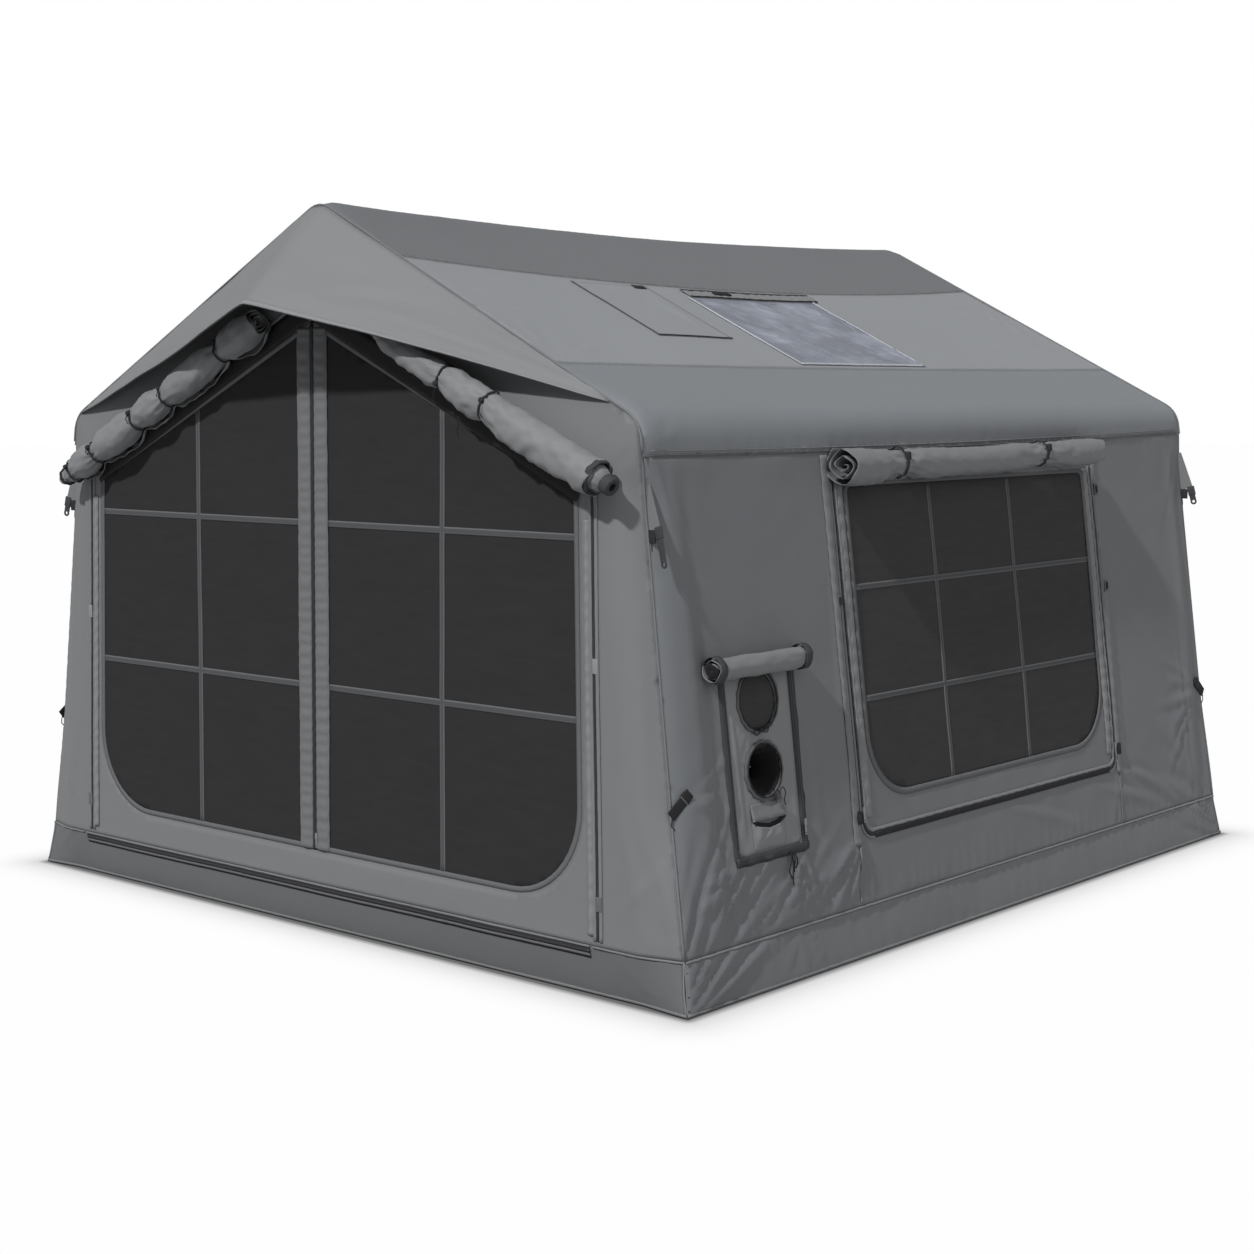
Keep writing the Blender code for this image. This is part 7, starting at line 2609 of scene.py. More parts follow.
    def cover(self) -> None:
        """Rolled cover with two elastic ties."""
        name = "window_roll_" + self.side.word
        sign = self.side.value
        place = SKIN.side(sign)
        ends = place(np.array([-0.724, 0.812]), np.array([1.450, 1.465]), 0.0600)
        out = point_of(place, 0.0, 1.450, 0.2) - point_of(place, 0.0, 1.450)
        shape = RollShape(tuple(ends[0]), tuple(ends[1]), tuple(out), 0.0510, (0.186, 0.736), 0.72, turns=2.7,
                          core=0.010, lump=0.05, crumple=0.070, start_share=1.0, end_share=0.84, taper=-0.24,
                          edge_turn=-2.2 * sign, gather=0.46, reach=0.085, sag=0.004, ragged=0.010,
                          seed=83 + sign)
        roll = shape.wound(self.room, name + "_cloth", CLOTH_ROLL_SIDE, steps=36)
        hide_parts(name)
        parts = []
        for share in shape.ties:
            parts.append(shape.tie(self.trims, "tie", share, 0.010, TAPE_BLACK))
            at = shape.surface_point(share + 0.004, -0.35 * sign, 0.005)
            parts.append(self.trims.block("toggle", at, shape.frame(), (0.020, 0.012, 0.026), TAPE_BLACK,
                                          0.45))
        self.room.sew(name + "_cloth", join(name + "_ties", parts))


@dataclass
class Port:
    """Utility port of the right wall: netted eye, open cable hole, pocket, zip and rolled cover."""

    room: Workroom
    trims: Trims
    shell: Shell
    eye: tuple[float, float] = (-1.155, 0.808)
    eye_r: float = 0.084
    hole: tuple[float, float] = (-1.155, 0.610)
    hole_r: float = 0.075
    panel: Surface = field(default_factory=lambda: Surface(SKIN.side(1)))
    out: Array = field(default_factory=lambda: np.array([1.0, 0.0, 0.0]))
    up: Array = field(default_factory=lambda: UP)

    def at(self, y: float, z: float, rise: float = 0.0) -> Array:
        """Point of the port's panel."""
        return self.panel.point(y, z, rise)

    def dress(self) -> None:
        """Everything of the port."""
        place = SKIN.side(1)
        self.out = point_of(place, -1.15, 0.6, 1.0) - point_of(place, -1.15, 0.6)
        self.up = np.cross(self.out, (0.0, 1.0, 0.0))
        outline = self.shell.port_outline(-0.0008)
        folds: list[object] = [Waves(601, 0.12, 0.0030, 2.2, math.pi / 2 - 0.2), Waves(602, 0.045, 0.0008)]
        folds += fan(self.eye, (200, 330), 0.19, 0.010, 0.0032, 7, 603)
        folds += fan(self.hole, (20, 160), 0.15, 0.009, 0.0028, 6, 604)
        folds += fan(self.hole, (215, 325), 0.14, 0.009, 0.0030, 5, 605)
        folds += [Crease((-1.285, 0.86), (-1.262, 0.42), 0.010, 0.0034, 0.004),
                  Crease((-1.030, 0.84), (-1.018, 0.42), 0.010, 0.0030, -0.004)]
        eye, hole = circle(self.eye, self.eye_r), circle(self.hole, self.hole_r)
        panel = self.room.sheet("port_panel_cloth", outline, (eye, hole), place, CLOTH_PORT, folds, 0.008,
                                calm=0.012)
        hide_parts("port_panel")
        self.panel = Surface(place, folds, [dense(loop, 0.02) for loop in (outline, eye, hole)], 0.012)
        cut = polygon_area(outline) - polygon_area(eye) - polygon_area(hole)
        self.room.hold(panel, (0.295, 0.525), Held.STRETCHED, cut)
        self.net(place)
        self.rings()
        self.pocket(place)
        self.zip(place)
        self.cover()
        self.cords()

    def net(self, place: Place) -> None:
        """Netting of the eye, slack and creased."""
        disc = circle(self.eye, self.eye_r - 0.001)
        folds = [Waves(611, 0.06, 0.0030, 2.0, 1.4),
                 *fan((-1.155, 0.735), (60, 120), 0.14, 0.008, 0.004, 4, 612)]
        net = self.room.sheet("port_net", disc, (), place, NET_SIDE, folds, 0.008, 0.0008, rise=-0.002,
                              calm=0.02)
        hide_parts("port_mesh")
        self.room.hold(net, (0.154, 0.154), Held.STRETCHED, polygon_area(disc))

    def rings(self) -> None:
        """Drawn hems of the eye and of the cable hole, and the hole's sleeve, near-black as painted shade."""
        grain = Grain(621)

        def drawn(height: Array, turn: Array) -> Array:
            """Uneven reach of a drawn hem."""
            return (0.020 * np.sin(turn * 15 + 3 * grain.at(turn * 1.5, turn * 0))
                    + 0.02 * np.sin(2 * turn + 0.4))

        for name, node, spot, radius in (("port_eye_hem", "port_mesh_ring", self.eye, self.eye_r),
                                         ("port_cuff_hem", "port_cuff", self.hole, self.hole_r)):
            parts = [self.trims.ring("hem", self.at(spot[0], spot[1] + radius, 0.003) - self.up * radius,
                                     self.out, radius + 0.006, 0.0062, CLOTH_RING, 0.75, 64, flute=drawn),
                     self.trims.ring("cord", self.at(spot[0], spot[1] + radius, 0.007) - self.up * radius,
                                     self.out, radius + 0.002, 0.0022, TAPE_BLACK, 1.0, 48)]
            if node == "port_cuff":
                centre = self.at(spot[0], spot[1] + radius, 0.0) - self.up * radius
                # Near-black sleeve: painted shade inside the open cable hole.
                sleeve = [(radius + 0.001, 0.003), (radius - 0.006, -0.010), (radius - 0.016, -0.050),
                          (radius - 0.022, -0.085), (radius - 0.0232, -0.085), (radius - 0.018, -0.050),
                          (radius - 0.008, -0.010), (radius - 0.001, 0.002)]
                parts.append(self.trims.turned("sleeve", centre, self.out, sleeve, CLOTH_PAINTED_SHADE, 64,
                                               flute=drawn))
            made = join(name, parts)
            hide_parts(node)
            self.room.sew("port_panel_cloth", made)

    def pocket(self, place: Place) -> None:
        """Pocket with a curved mouth below the cable hole, and a near-black strip that paints the shadow
        under its flap.
        """
        corners = box_outline(-1.228, -1.082, 0.392, 0.520)
        mouth = [(-1.228, 0.472), (-1.205, 0.458), (-1.155, 0.449), (-1.108, 0.456), (-1.082, 0.470)]
        outline = [corners[0], corners[1], *mouth[::-1]]
        folds: list[object] = [Waves(631, 0.07, 0.0026, 1.5, 0.8),
                               Crease((-1.21, 0.40), (-1.12, 0.46), 0.008, 0.003)]

        def full(uv: Array, edge: Array) -> Array:
            """Fullness of the pocket, open at its mouth."""
            side = smooth(np.minimum(uv[:, 0] + 1.228, -1.082 - uv[:, 0]) / 0.030)
            return 0.0080 * side * smooth((uv[:, 1] - 0.392) / 0.04)

        bag = self.room.sheet("port_pocket_cloth", outline, (), place, CLOTH_PORT, folds, 0.006, rise=0.0022,
                              calm=0.008, over=self.panel, swell=full)
        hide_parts("port_pocket")
        flap = [(-1.231, 0.522), (-1.231, 0.474), (-1.155, 0.472), (-1.079, 0.474), (-1.079, 0.522)][::-1]

        def lid(uv: Array, edge: Array) -> Array:
            """Height of the pocket's flap over its mouth."""
            return 0.0105 * smooth((0.522 - uv[:, 1]) / 0.05) * smooth(edge / 0.006 + 0.5)

        cover = self.room.sheet("port_pocket_flap", flap, (), place, CLOTH_FLAP_DULL,
                                [Waves(633, 0.05, 0.002)], 0.006,
                                rise=0.0030, calm=0.008, over=self.panel, swell=lid)
        # Near-black strip along the mouth: painted shadow under the flap.
        hem = Tape([(y, z + 0.006) for y, z in mouth], 0.013, CLOTH_PAINTED_SHADE, 0.0060, 0.0012, 0.006, 3)
        mouth_shadow = self.room.strip("port_pocket_lip", hem, place, self.panel)
        self.room.hold(bag, (0.146, 0.070), Held.STRETCHED, polygon_area(outline), with_pieces=[mouth_shadow])
        self.room.hold(cover, (0.152, 0.062), Held.HUNG, polygon_area(flap))

    def zip(self, place: Place) -> None:
        """Black zip round the port, its bottom bar and the cover's side bindings."""
        track = [(-1.309, 0.900), (-1.309, 0.369), (-0.992, 0.369), (-0.992, 0.900)]
        strips = [Tape(track, 0.025, TAPE_DARK, 0.0010, 0.0014, 0.012, 2, 0.0010),
                  Tape(track, 0.0050, ZIP_TEETH, 0.0022, 0.0020, 0.010, 2, 0.0008, (0.0004, 0.011)),
                  Tape([(-1.320, 0.373), (-0.981, 0.373)], 0.024, TAPE_DARK, 0.0042, 0.0016, 0.012, 3,
                       0.0020)]
        made = self.room.tapes("port_zip_sewn", strips, place, self.shell.surfaces["right_wall"])
        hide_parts("port_zip")
        self.room.sew("wall_right_cloth", made)

    def cover(self) -> None:
        """Rolled cover above the port with bound ends."""
        place = SKIN.side(1)
        ends = place(np.array([-1.388, -0.966]), np.array([0.912, 0.916]), 0.0383)
        shape = RollShape(tuple(ends[0]), tuple(ends[1]), tuple(self.out), 0.0345, (), 1.0, turns=3.0,
                          core=0.006,
                          lump=0.06, crumple=0.155, start_share=1.0, end_share=0.97, edge_turn=-2.4, sag=0.0,
                          ragged=0.003, seed=91)
        roll = shape.wound(self.room, "port_roll_cloth", CLOTH_ROLL_SIDE, steps=32, thickness=0.0012)
        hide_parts("port_roll")
        rings = [shape.tie(self.trims, "binding", share, 0.030, TAPE_DARK) for share in (0.036, 0.964)]
        grain = Grain(93)

        def crushed(height: Array, turn: Array) -> Array:
            """Uneven edge of the roll's hollow."""
            return 0.16 * np.sin(2 * turn + 0.6) + 0.10 * grain.at(turn * 1.2, turn * 0)

        # Near-black disc in the roll's open end: painted shade inside the hollow.
        hollow = [(0.0010, -0.0046), (0.0215, -0.0046), (0.0215, 0.0060), (0.0010, 0.0060)]
        rings.append(self.trims.turned("hollow", shape.axis(np.array([0.0]))[0], shape.frame()[0], hollow,
                                       CLOTH_PAINTED_SHADE, flute=crushed))
        self.room.sew("port_roll_cloth", join("port_roll_bindings", rings))

    def cords(self) -> None:
        """Drawstrings, their locks, and the bunch of pulls below the zip."""
        out, up = self.out, self.up
        across = np.array([0.0, 1.0, 0.0])
        bow = self.at(-1.160, 0.726, 0.012)
        loops = (((0, 0), (-0.020, 0.008), (-0.036, -0.004), (-0.024, -0.014), (-0.004, -0.002)),
                 ((0, 0), (0.014, 0.010), (0.028, 0.004), (0.020, -0.010), (0.002, -0.004)))
        for k, shape in enumerate(loops):
            points = [bow + across * a + up * b + out * (0.002 * k + 0.001) for a, b in shape]
            self.trims.cord("port_eye_bow_" + str(k), points, 0.0028, "object")
        locks = [self.trims.block("lock", self.at(-1.122, 0.536, 0.018), (across, up, out),
                                  (0.020, 0.026, 0.014), PLASTIC, 0.35),
                 self.trims.block("lock", self.at(-1.160, 0.726, 0.012), (across, up, out),
                                  (0.014, 0.010, 0.008), TAPE_BLACK, 0.4)]
        self.room.sew("port_panel_cloth", join("port_cord_locks", locks))
        start = self.at(-1.120, 0.540, 0.018)
        for k, shape in enumerate((((0, 0), (0.018, 0.016), (0.030, 0.000), (0.022, -0.020), (0.026, -0.036)),
                                   ((0, 0), (-0.012, 0.010), (-0.024, -0.002), (-0.018, -0.022)))):
            points = [start + across * a + up * b + out * (0.004 + 0.002 * k) for a, b in shape]
            self.trims.cord("port_hole_cord_" + str(k), points, 0.0030, "knot")
        foot = self.shell.surfaces["right_wall"].point(-1.075, 0.368, 0.012)
        draw = np.random.RandomState(9)
        for k, drop in enumerate((0.075, 0.095, 0.060, 0.050)):
            side = (k - 1.5) * 0.008
            points = [foot + across * side * 0.4, foot + across * side + up * -0.35 * drop + out * 0.006,
                      foot + across * (side * 1.6 + draw.uniform(-0.004, 0.004)) + up * -0.7 * drop
                      + out * 0.003,
                      foot + across * (side + draw.uniform(-0.006, 0.008)) + up * -drop + out * 0.002]
            self.trims.cord("port_pull_" + str(k), points, 0.0040, "bare")


@dataclass
class RoofFittings:
    """Clear roof window with its zip band, and the stove patch with its hinged rain flap."""

    room: Workroom
    trims: Trims
    shell: Shell

    def dress(self) -> None:
        """Window, zip band, patch and flap."""
        ground = self.shell.surfaces["roof_mid_right"]
        front, rear, high, low = self.shell.skylight
        high_s, low_s = float(SKIN.slope_s(high)), float(SKIN.slope_s(low))
        outline = box_outline(high_s, low_s, front, rear)
        folds: list[object] = [Waves(701, 0.16, 0.0050, 1.8, 0.5, 3), Waves(702, 0.05, 0.0030, 2.0, 1.1, 2)]
        draw = np.random.RandomState(703)
        for _ in range(36):
            s, y = draw.uniform(high_s + 0.03, low_s - 0.03), draw.uniform(front + 0.03, rear - 0.03)
            turn = draw.uniform(0.2, 1.4)
            reach = draw.uniform(0.06, 0.20)
            folds.append(Crease((s, y), (s + reach * math.cos(turn), y + reach * math.sin(turn)),
                                draw.uniform(0.004, 0.008), draw.uniform(0.0030, 0.0060), 0.01))
        film = self.room.sheet("skylight_film", outline, (), ground.place, VINYL, folds, 0.009, 0.0008,
                               rise=0.0022, calm=0.03, over=ground)
        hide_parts("skylight")
        hems = [Tape(line, 0.014, VINYL_HEM, 0.0030, 0.0008, arch=0.0006) for line in (
            [(high_s, front + 0.006), (low_s, front + 0.006)],
            [(high_s, rear - 0.006), (low_s, rear - 0.006)], [(low_s - 0.006, front), (low_s - 0.006, rear)])]
        hem = self.room.tapes("skylight_hem", hems, ground.place, ground)
        self.room.hold(film, (low_s - high_s, rear - front), Held.STRETCHED, with_pieces=[hem])
        self.zip_band(ground, high)
        self.stove(ground)

    def zip_band(self, ground: Surface, high: float) -> None:
        """Zip band along the upper edge of the roof window.

        Args:
            ground: the roof panel's own folds.
            high: half-width of the window's upper edge.
        """
        low_s = float(SKIN.slope_s(high)) - 0.001
        high_s = low_s - 0.062
        middle = (high_s + low_s) / 2
        rows = ((0.5, 0.060, CLOTH_ZIP_BAND, 0.0012, 0.0014, 0.012, 6, 0.0024, (0.0026, 0.050)),
                (0.10, 0.009, ZIP_TEETH, 0.0035, 0.0018, 0.010, 2, 0.001, (0.0012, 0.030)),
                (0.92, 0.007, TAPE_BLACK, 0.0035, 0.0016, 0.010, 2, 0.001, (0.0016, 0.040)))
        strips = [Tape([(high_s + (low_s - high_s) * share, y) for y in (-0.350, 0.360)], *rest)
                  for share, *rest in rows]
        strips.append(Tape([(middle, -0.205), (middle, -0.115)], 0.020, TAPE_BLACK, 0.0075, 0.0020,
                           arch=0.001))
        made = self.room.tapes("skylight_zip_sewn", strips, ground.place, ground)
        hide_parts("skylight_zip")
        self.room.sew("roof_middle_right_cloth", made)

    def stove(self, ground: Surface) -> None:
        """Heat-proof patch under the roof cloth and the rain flap that hinges over it, with painted shadow
        strips along two of the flap's edges.

        Args:
            ground: the roof panel's own folds.
        """
        front, rear, high, low = self.shell.flap
        high_s, low_s = float(SKIN.slope_s(high)), float(SKIN.slope_s(low))
        under = box_outline(high_s + 0.034, low_s - 0.034, front + 0.034, rear - 0.034)
        middle = ((high_s + low_s) / 2, (front + rear) / 2)
        patch = self.room.sheet("stove_patch_cloth", under, (), ground.place, CLOTH_HEAT,
                                [Waves(711, 0.12, 0.0015)], 0.016, 0.0014, rise=-0.0030)
        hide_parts("stove_patch")
        rings = [Tape(circle(middle, radius), 0.006, TAPE_GREY, -0.0029, 0.0012, 0.012, closed=True)
                 for radius in (0.052, 0.075)]
        stitching = self.room.tapes("stove_patch_stitching", rings, ground.place)
        self.room.hold(patch, (low_s - high_s - 0.07, rear - front - 0.07), Held.STRETCHED,
                       with_pieces=[stitching])
        outline = box_outline(high_s, low_s, front, rear)
        folds: list[object] = [Waves(721, 0.25, 0.0022),
                               Crease((high_s + 0.05, rear - 0.02), (low_s - 0.04, rear - 0.08), 0.018,
                                      0.0018)]
        flap = self.room.sheet("stove_flap_cloth", outline, (), ground.place, CLOTH_ROOF_FLAP, folds, 0.014,
                               0.0012, rise=0.0024, calm=0.03, body="stove_rain_flap", over=ground)
        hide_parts("stove_flap")
        # The black strips along the flap's front and lower edges are painted shadow under those edges; the
        # third is a black tab near its upper edge.
        trims = [Tape([(high_s, front + 0.003), (low_s, front + 0.003)], 0.005, TAPE_BLACK, 0.0026),
                 Tape([(low_s - 0.003, front), (low_s - 0.003, rear)], 0.006, TAPE_BLACK, 0.0026, 0.0014),
                 Tape([(high_s + 0.012, rear - 0.078), (high_s + 0.012, rear - 0.020)], 0.024, TAPE_BLACK,
                      0.0028, 0.0016)]
        edge = self.room.tapes("stove_flap_edges", trims, ground.place, ground, "stove_rain_flap")
        self.room.hold(flap, (low_s - high_s, rear - front), Held.HUNG, with_pieces=[edge])


@dataclass
class GuyPoints:
    """Upper guy flaps with webbing and ring, and lower tabs, all with their cord ends."""

    room: Workroom
    trims: Trims
    shell: Shell

    def dress(self) -> None:
        """All four corners."""
        for side in Side:
            for word, end in (("front", -1), ("rear", 1)):
                self.upper(side, word, end)
                self.lower(side, word, end)

    def upper(self, side: Side, word: str, end: int) -> None:
        """Cloth triangle with strap, ring and cord end.

        Args:
            side: which side wall.
            word: front or rear.
            end: sign of its Y.
        """
        name = word + "_" + side.word
        foot = point_of(SKIN.side(side.value), end * (float(SKIN.end_y(1.37)) - 0.006), 1.370, 0.001)
        out = np.array([side.value * 0.985, end * 0.17, 0.0])
        across = np.array([-out[1], out[0], 0.0])

        def at(reach: float, rise: float, aside: float = 0.0) -> Array:
            """Point of the gusset's plane."""
            return foot + out * reach + UP * rise + across * aside

        rim = [(-0.006, 0.075), (0.004, 0.075), (0.052, -0.054), (0.028, -0.061), (-0.001, -0.067)]
        faces = [tuple(range(5)), tuple(range(9, 4, -1))]
        faces += [(k, k + 5, (k + 1) % 5 + 5, (k + 1) % 5) for k in range(5)]
        points = np.array([at(reach, rise, aside) for aside in (-0.0009, 0.0009) for reach, rise in rim])
        flap = self.room.piece("guy_flap_" + name, points, outward(points, faces), CLOTH_FLAP, flat_faces=7)
        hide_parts("guy_point_" + name)
        down = (at(0.066, -0.145) - at(0.043, -0.055)) / 0.0928
        flat = np.cross(down, across)
        axes = (flat, down, across)
        top = at(0.0425, -0.0525)
        strap = 0.098 if end < 0 and side is Side.RIGHT else 0.052
        parts = [self.trims.block("strap", top + down * strap / 2, axes, (0.022, strap, 0.0040), TAPE_DARK,
                                  0.3),
                 self.trims.block("strap fold", at(0.047, -0.068), axes, (0.027, 0.034, 0.0064), TAPE_DARK,
                                  0.3),
                 self.trims.block("short strap", at(0.018, -0.080), (out, UP, across), (0.030, 0.036, 0.0050),
                                  TAPE_BLACK, 0.3),
                 self.trims.ring("ring", top + down * (strap + 0.0046), across, 0.0085, 0.0034, TAPE_DARK,
                                 0.9, 32)]
        made = join("guy_strap_" + name, parts)
        self.room.hold(flap, (0.060, 0.142), Held.HUNG, 0.0046, with_pieces=[made])
        shape = ((0.010, -0.088), (0.004, -0.104), (0.002, -0.124), (0.010, -0.134), (0.014, -0.118),
                 (0.012, -0.098))
        self.trims.cord("guy_cord_" + name, [at(reach, rise, 0.003) for reach, rise in shape], 0.0034, "knot")

    def lower(self, side: Side, word: str, end: int) -> None:
        """Black tab that stands off the corner, with its cord.

        Args:
            side: which side wall.
            word: front or rear.
            end: sign of its Y.
        """
        place = SKIN.side(side.value)
        edge_y = float(SKIN.end_y(0.56))

        def at(away: float, z: float, rise: float) -> Array:
            """Point at a distance from the corner."""
            return point_of(place, end * (edge_y - away), z, rise)

        start, tip = at(0.060, 0.585, 0.004), at(-0.016, 0.545, 0.010)
        way = tip - start
        out = at(0.05, 0.6, 0.1) - at(0.05, 0.6, 0.0)
        flat = np.cross(way, out)
        parts = [self.trims.block(part, start + way * share, (way, flat, out), size, finish)
                 for part, share, size, finish in (("tab", 0.5, (0.086, 0.034, 0.0040), TAPE_BLACK),
                                                   ("fold", 0.10, (0.018, 0.038, 0.0062), TAPE_BLACK),
                                                   ("stitch", 0.24, (0.004, 0.034, 0.0052), TAPE_LIGHT))]
        made = join("guy_tab_" + word + "_" + side.word, parts)
        self.room.sew("wall_" + side.word + "_cloth", made)
        across = way / np.linalg.norm(way)
        shape = ((0.0, 0.0), (0.008, -0.012), (0.010, -0.030), (0.002, -0.040), (-0.004, -0.052))
        self.trims.cord("guy_tab_cord_" + word + "_" + side.word,
                        [tip + across * a + UP * b for a, b in shape], 0.0034, "knot")


@dataclass
class AirFrame:
    """Inflated beams in their sleeves, and the ground sheet."""

    room: Workroom
    trims: Trims
    radius: float = 0.085
    ridge_radius: float = 0.078
    arch_y: float = 1.434
    slack: float = 0.010

    def dress(self) -> None:
        """Beams and ground sheet."""
        for word, end in (("front", -1), ("rear", 1)):
            self.arch(word, end)
        depth = self.slack + self.radius
        reach = self.arch_y - self.radius - 0.003
        self.straight("ridge_beam", SKIN.section(np.array([0.0]), -self.slack - self.ridge_radius), 1.0,
                      reach, self.ridge_radius)
        knee = (SKIN.knee_start + SKIN.knee_end) / 2
        for side in Side:
            self.straight("eave_beam_" + side.word, SKIN.section(np.array([knee]), -depth - 0.012),
                          float(side.value), reach, self.radius)
        self.ground()

    def sleeve(self, seed: int, length: float) -> Relief:
        """Wrinkles of a beam's sleeve.

        Args:
            seed: for their unevenness.
            length: length of the beam.
        Returns:
            Share added to the radius.
        """
        def flute(share: Array, turn: Array) -> Array:
            """Share of the radius."""
            along = share * length
            uv = np.stack([along, np.cos(turn) * 0.08 + 0.02 * np.sin(2 * turn)], 1)
            return (0.012 * Grain(seed).waves(uv, 0.16, 1.0)
                    + 0.006 * np.sin(along * 40) * np.cos(turn * 3) ** 2)

        return flute

    def arch(self, word: str, end: int) -> None:
        """Pre-bent arch at one end.

        Args:
            word: front or rear.
            end: sign of its Y.
        """
        depth = self.slack + self.radius
        lean = SKIN.wall_lean
        angle = SKIN.roof_angle
        foot_z = 0.012
        slope_z = SKIN.ridge_line_z - depth / math.cos(angle)
        wall_x = SKIN.side_foot_x - depth / math.cos(lean)
        pitch, fall = math.tan(angle), math.tan(lean)
        knee_x = (wall_x - fall * slope_z) / (1 - fall * pitch)
        knee_z = slope_z - pitch * knee_x
        corners = [(-(wall_x - fall * foot_z), foot_z), (-knee_x, knee_z), (0.0, slope_z), (knee_x, knee_z),
                   (wall_x - fall * foot_z, foot_z)]
        bent = []
        for k in range(1, 4):
            arc = rounded([corners[k - 1], corners[k], corners[k + 1]], (0, 0.17, 0), 8)
            bent += arc[1:-1]
        path = dense([corners[0], *bent, corners[-1]], 0.03, closed=False)
        points = np.stack([path[:, 0], np.full(len(path), end * self.arch_y), path[:, 1]], 1)
        length = arc_length(points)
        share = np.linspace(0, 1, len(points))
        radii = self.radius * (1 - 0.35 * np.exp(-share * length / 0.02)
                               - 0.35 * np.exp(-(1 - share) * length / 0.02))
        made = self.room.tube(word + "_arch_sleeve", points, radii, CLOTH_SLEEVE, 28,
                              self.sleeve(801 + end, length))
        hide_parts(word + "_arch_beam")

    def straight(self, node: str, spot: tuple[Array, Array], sign: float, reach: float,
                 radius: float) -> None:
        """Straight beam between the arches.

        Args:
            node: node that it replaces.
            spot: X and Z of its axis.
            sign: side that it is on.
            reach: half its length.
            radius: its radius.
        """
        ys = np.linspace(-reach, reach, 60)
        x = float(spot[0][0]) * sign
        points = np.stack([0 * ys + x, ys, float(spot[1][0]) - SKIN.dip(0 * ys + abs(x), ys)], 1)
        far = reach - np.abs(ys)
        radii = radius * (1 - 0.25 * np.exp(-far / 0.015))
        made = self.room.tube(node + "_sleeve", points, radii, CLOTH_SLEEVE, 28,
                              self.sleeve(810 + len(node), 2 * reach))
        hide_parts(node)

    def ground(self) -> None:
        """Ground sheet, creased from packing."""
        def place(x: Array, y: Array, rise: Array | float = 0.0) -> Array:
            """Points of the floor."""
            return np.stack([x, y, 0.0035 + rise + 0 * x], 1)

        folds: list[object] = [Waves(901, 0.35, 0.0012, 1.0, 0.4, 3)]
        for k in range(-2, 3):
            folds.append(Crease((k * 0.48, -1.5), (k * 0.48, 1.5), 0.006, 0.0012))
            folds.append(Crease((-1.4, k * 0.5), (1.4, k * 0.5), 0.006, 0.0010))
        steps_x, steps_y = np.linspace(-1.482, 1.482, 110), np.linspace(-1.560, 1.560, 116)
        made = self.room.grid("ground_cloth", steps_x, steps_y, place, CLOTH_GROUND, folds, 0.0012)
        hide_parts("groundsheet")
        self.room.hold(made, (2.964, 3.120), Held.LAID)


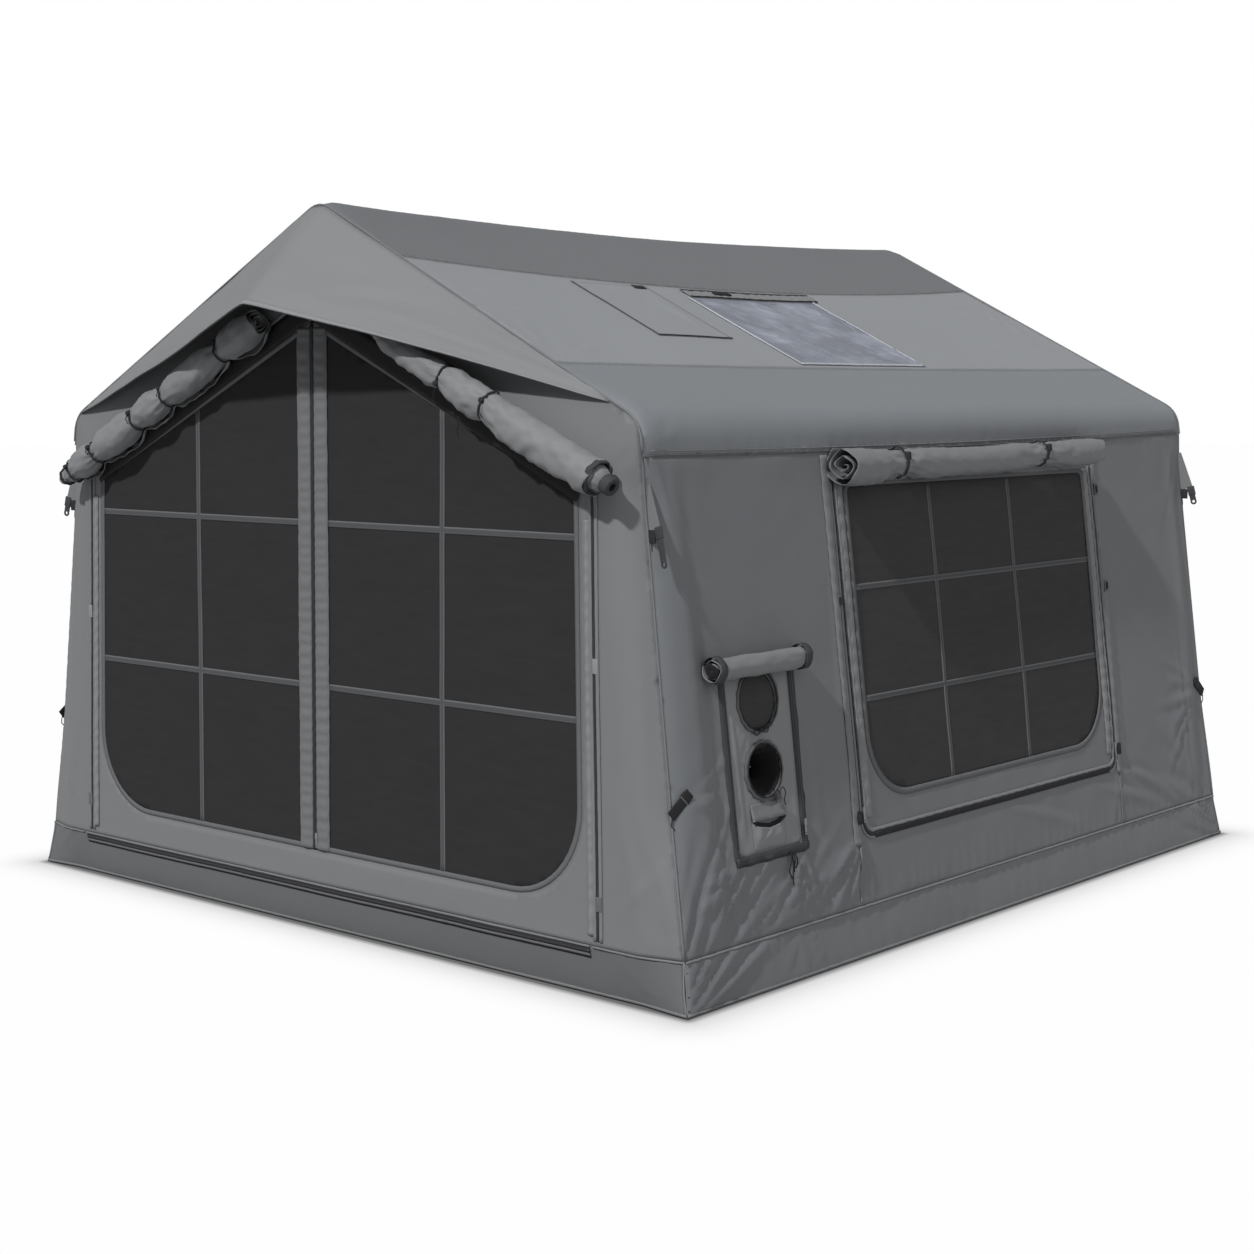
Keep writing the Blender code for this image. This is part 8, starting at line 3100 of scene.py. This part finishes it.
@dataclass
class Studio:
    """Camera, lamps and floor."""

    eye: tuple[float, float, float] = (5.0197, -5.8359, 1.6661)
    azimuth: float = 41.296
    pitch: float = 6.261
    roll: float = -0.2145
    lens: float = 60.62
    sky_power: float = 0.24
    suns: tuple[tuple[str, float, float, tuple[float, float, float]], ...] = (
        ("sun", 3.75, 3.0, (0.02, -0.70, 0.71)), ("fill", 1.15, 60.0, (0.82, -0.20, 0.54)))

    def camera(self) -> None:
        """Camera at the photograph's place."""
        turn, dip, roll = (math.radians(angle) for angle in (self.azimuth, self.pitch, self.roll))
        forward = Vector((-math.sin(turn) * math.cos(dip), math.cos(turn) * math.cos(dip), -math.sin(dip)))
        right = Vector((math.cos(turn), math.sin(turn), 0.0))
        up = right.cross(forward)
        across = right * math.cos(roll) + up * math.sin(roll)
        above = up * math.cos(roll) - right * math.sin(roll)
        data = bpy.data.cameras.new("camera")
        data.lens = self.lens
        data.sensor_width = 36.0
        data.sensor_fit = "HORIZONTAL"
        data.clip_end = 100.0
        made = bpy.data.objects.new("camera", data)
        pose = Matrix((across, above, -forward)).transposed().to_4x4()
        pose.translation = Vector(self.eye)
        made.matrix_world = pose
        bpy.context.scene.collection.objects.link(made)
        bpy.context.scene.camera = made

    def lamps(self) -> None:
        """Sun from the front, a wide fill from the right, and a white sky."""
        for name, power, spread, toward in self.suns:
            data = bpy.data.lights.new(name, "SUN")
            data.energy = power
            data.angle = math.radians(spread)
            sun = bpy.data.objects.new(name, data)
            sun.matrix_world = Vector(toward).to_track_quat("Z", "Y").to_matrix().to_4x4()
            bpy.context.scene.collection.objects.link(sun)
        world = bpy.data.worlds.new("studio")
        bpy.context.scene.world = world
        world.use_nodes = True
        graph = Graph(world.node_tree)
        seen = graph.node("ShaderNodeLightPath")[0]
        light, wall = (graph.node("ShaderNodeBackground", {},
                                  {"Color": (1.0, 1.0, 1.0, 1.0), "Strength": power})[0]
                       for power in (self.sky_power, 1.0))
        shade = graph.node("ShaderNodeMixShader", {}, {0: seen, 1: light, 2: wall})[0]
        graph.node("ShaderNodeOutputWorld", {}, {0: shade})

    def floor(self) -> None:
        """Pale floor."""
        mesh = bpy.data.meshes.new("floor")
        mesh.from_pydata([(-60, -60, 0), (60, -60, 0), (60, 60, 0), (-60, 60, 0)], [], [(0, 1, 2, 3)])
        mesh.materials.append(PaleFloor("floor_pale", (0.99, 0.99, 0.99)).material())
        made = bpy.data.objects.new("floor", mesh)
        bpy.context.scene.collection.objects.link(made)

    def set_up(self) -> None:
        """Everything of the studio."""
        self.camera()
        self.lamps()
        self.floor()
        bpy.context.scene.view_settings.view_transform = "Standard"
        bpy.context.scene.view_settings.look = "None"


def dress_solids(finishes: dict[str, Finish]) -> None:
    """Give carried-over nodes their finish by record slot.

    Args:
        finishes: finish of each slot.
    """
    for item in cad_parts.values():
        if item.type != "MESH":
            continue
        word = item.data.materials[0].name if item.data.materials else ""
        for key, finish in finishes.items():
            if key in word:
                item.data.materials.clear()
                item.data.materials.append(finish.material())
                break


def main() -> None:
    """Dress the tent."""
    logging.basicConfig(level=logging.INFO, format="%(name)s: %(message)s", stream=sys.stdout)
    room = Workroom()
    shell = Shell(room)
    shell.dress()
    Hood(room).dress()
    trims = Trims(room)
    Door(room, trims, shell).dress()
    for side in Side:
        Window(room, trims, shell, side).dress()
    Port(room, trims, shell).dress()
    RoofFittings(room, trims, shell).dress()
    GuyPoints(room, trims, shell).dress()
    AirFrame(room, trims).dress()
    dress_solids({"oxford": CLOTH_PLACKET, "net": NET, "webbing": TAPE_GREY, "zip_black": ZIP_TEETH,
                  "vinyl": VINYL, "heat": CLOTH_HEAT, "zip_metal": METAL, "valve": PLASTIC,
                  "ground": CLOTH_GROUND, "beam": CLOTH_SLEEVE})
    room.declare()
    Studio().set_up()


if __name__ == "__main__":
    main()
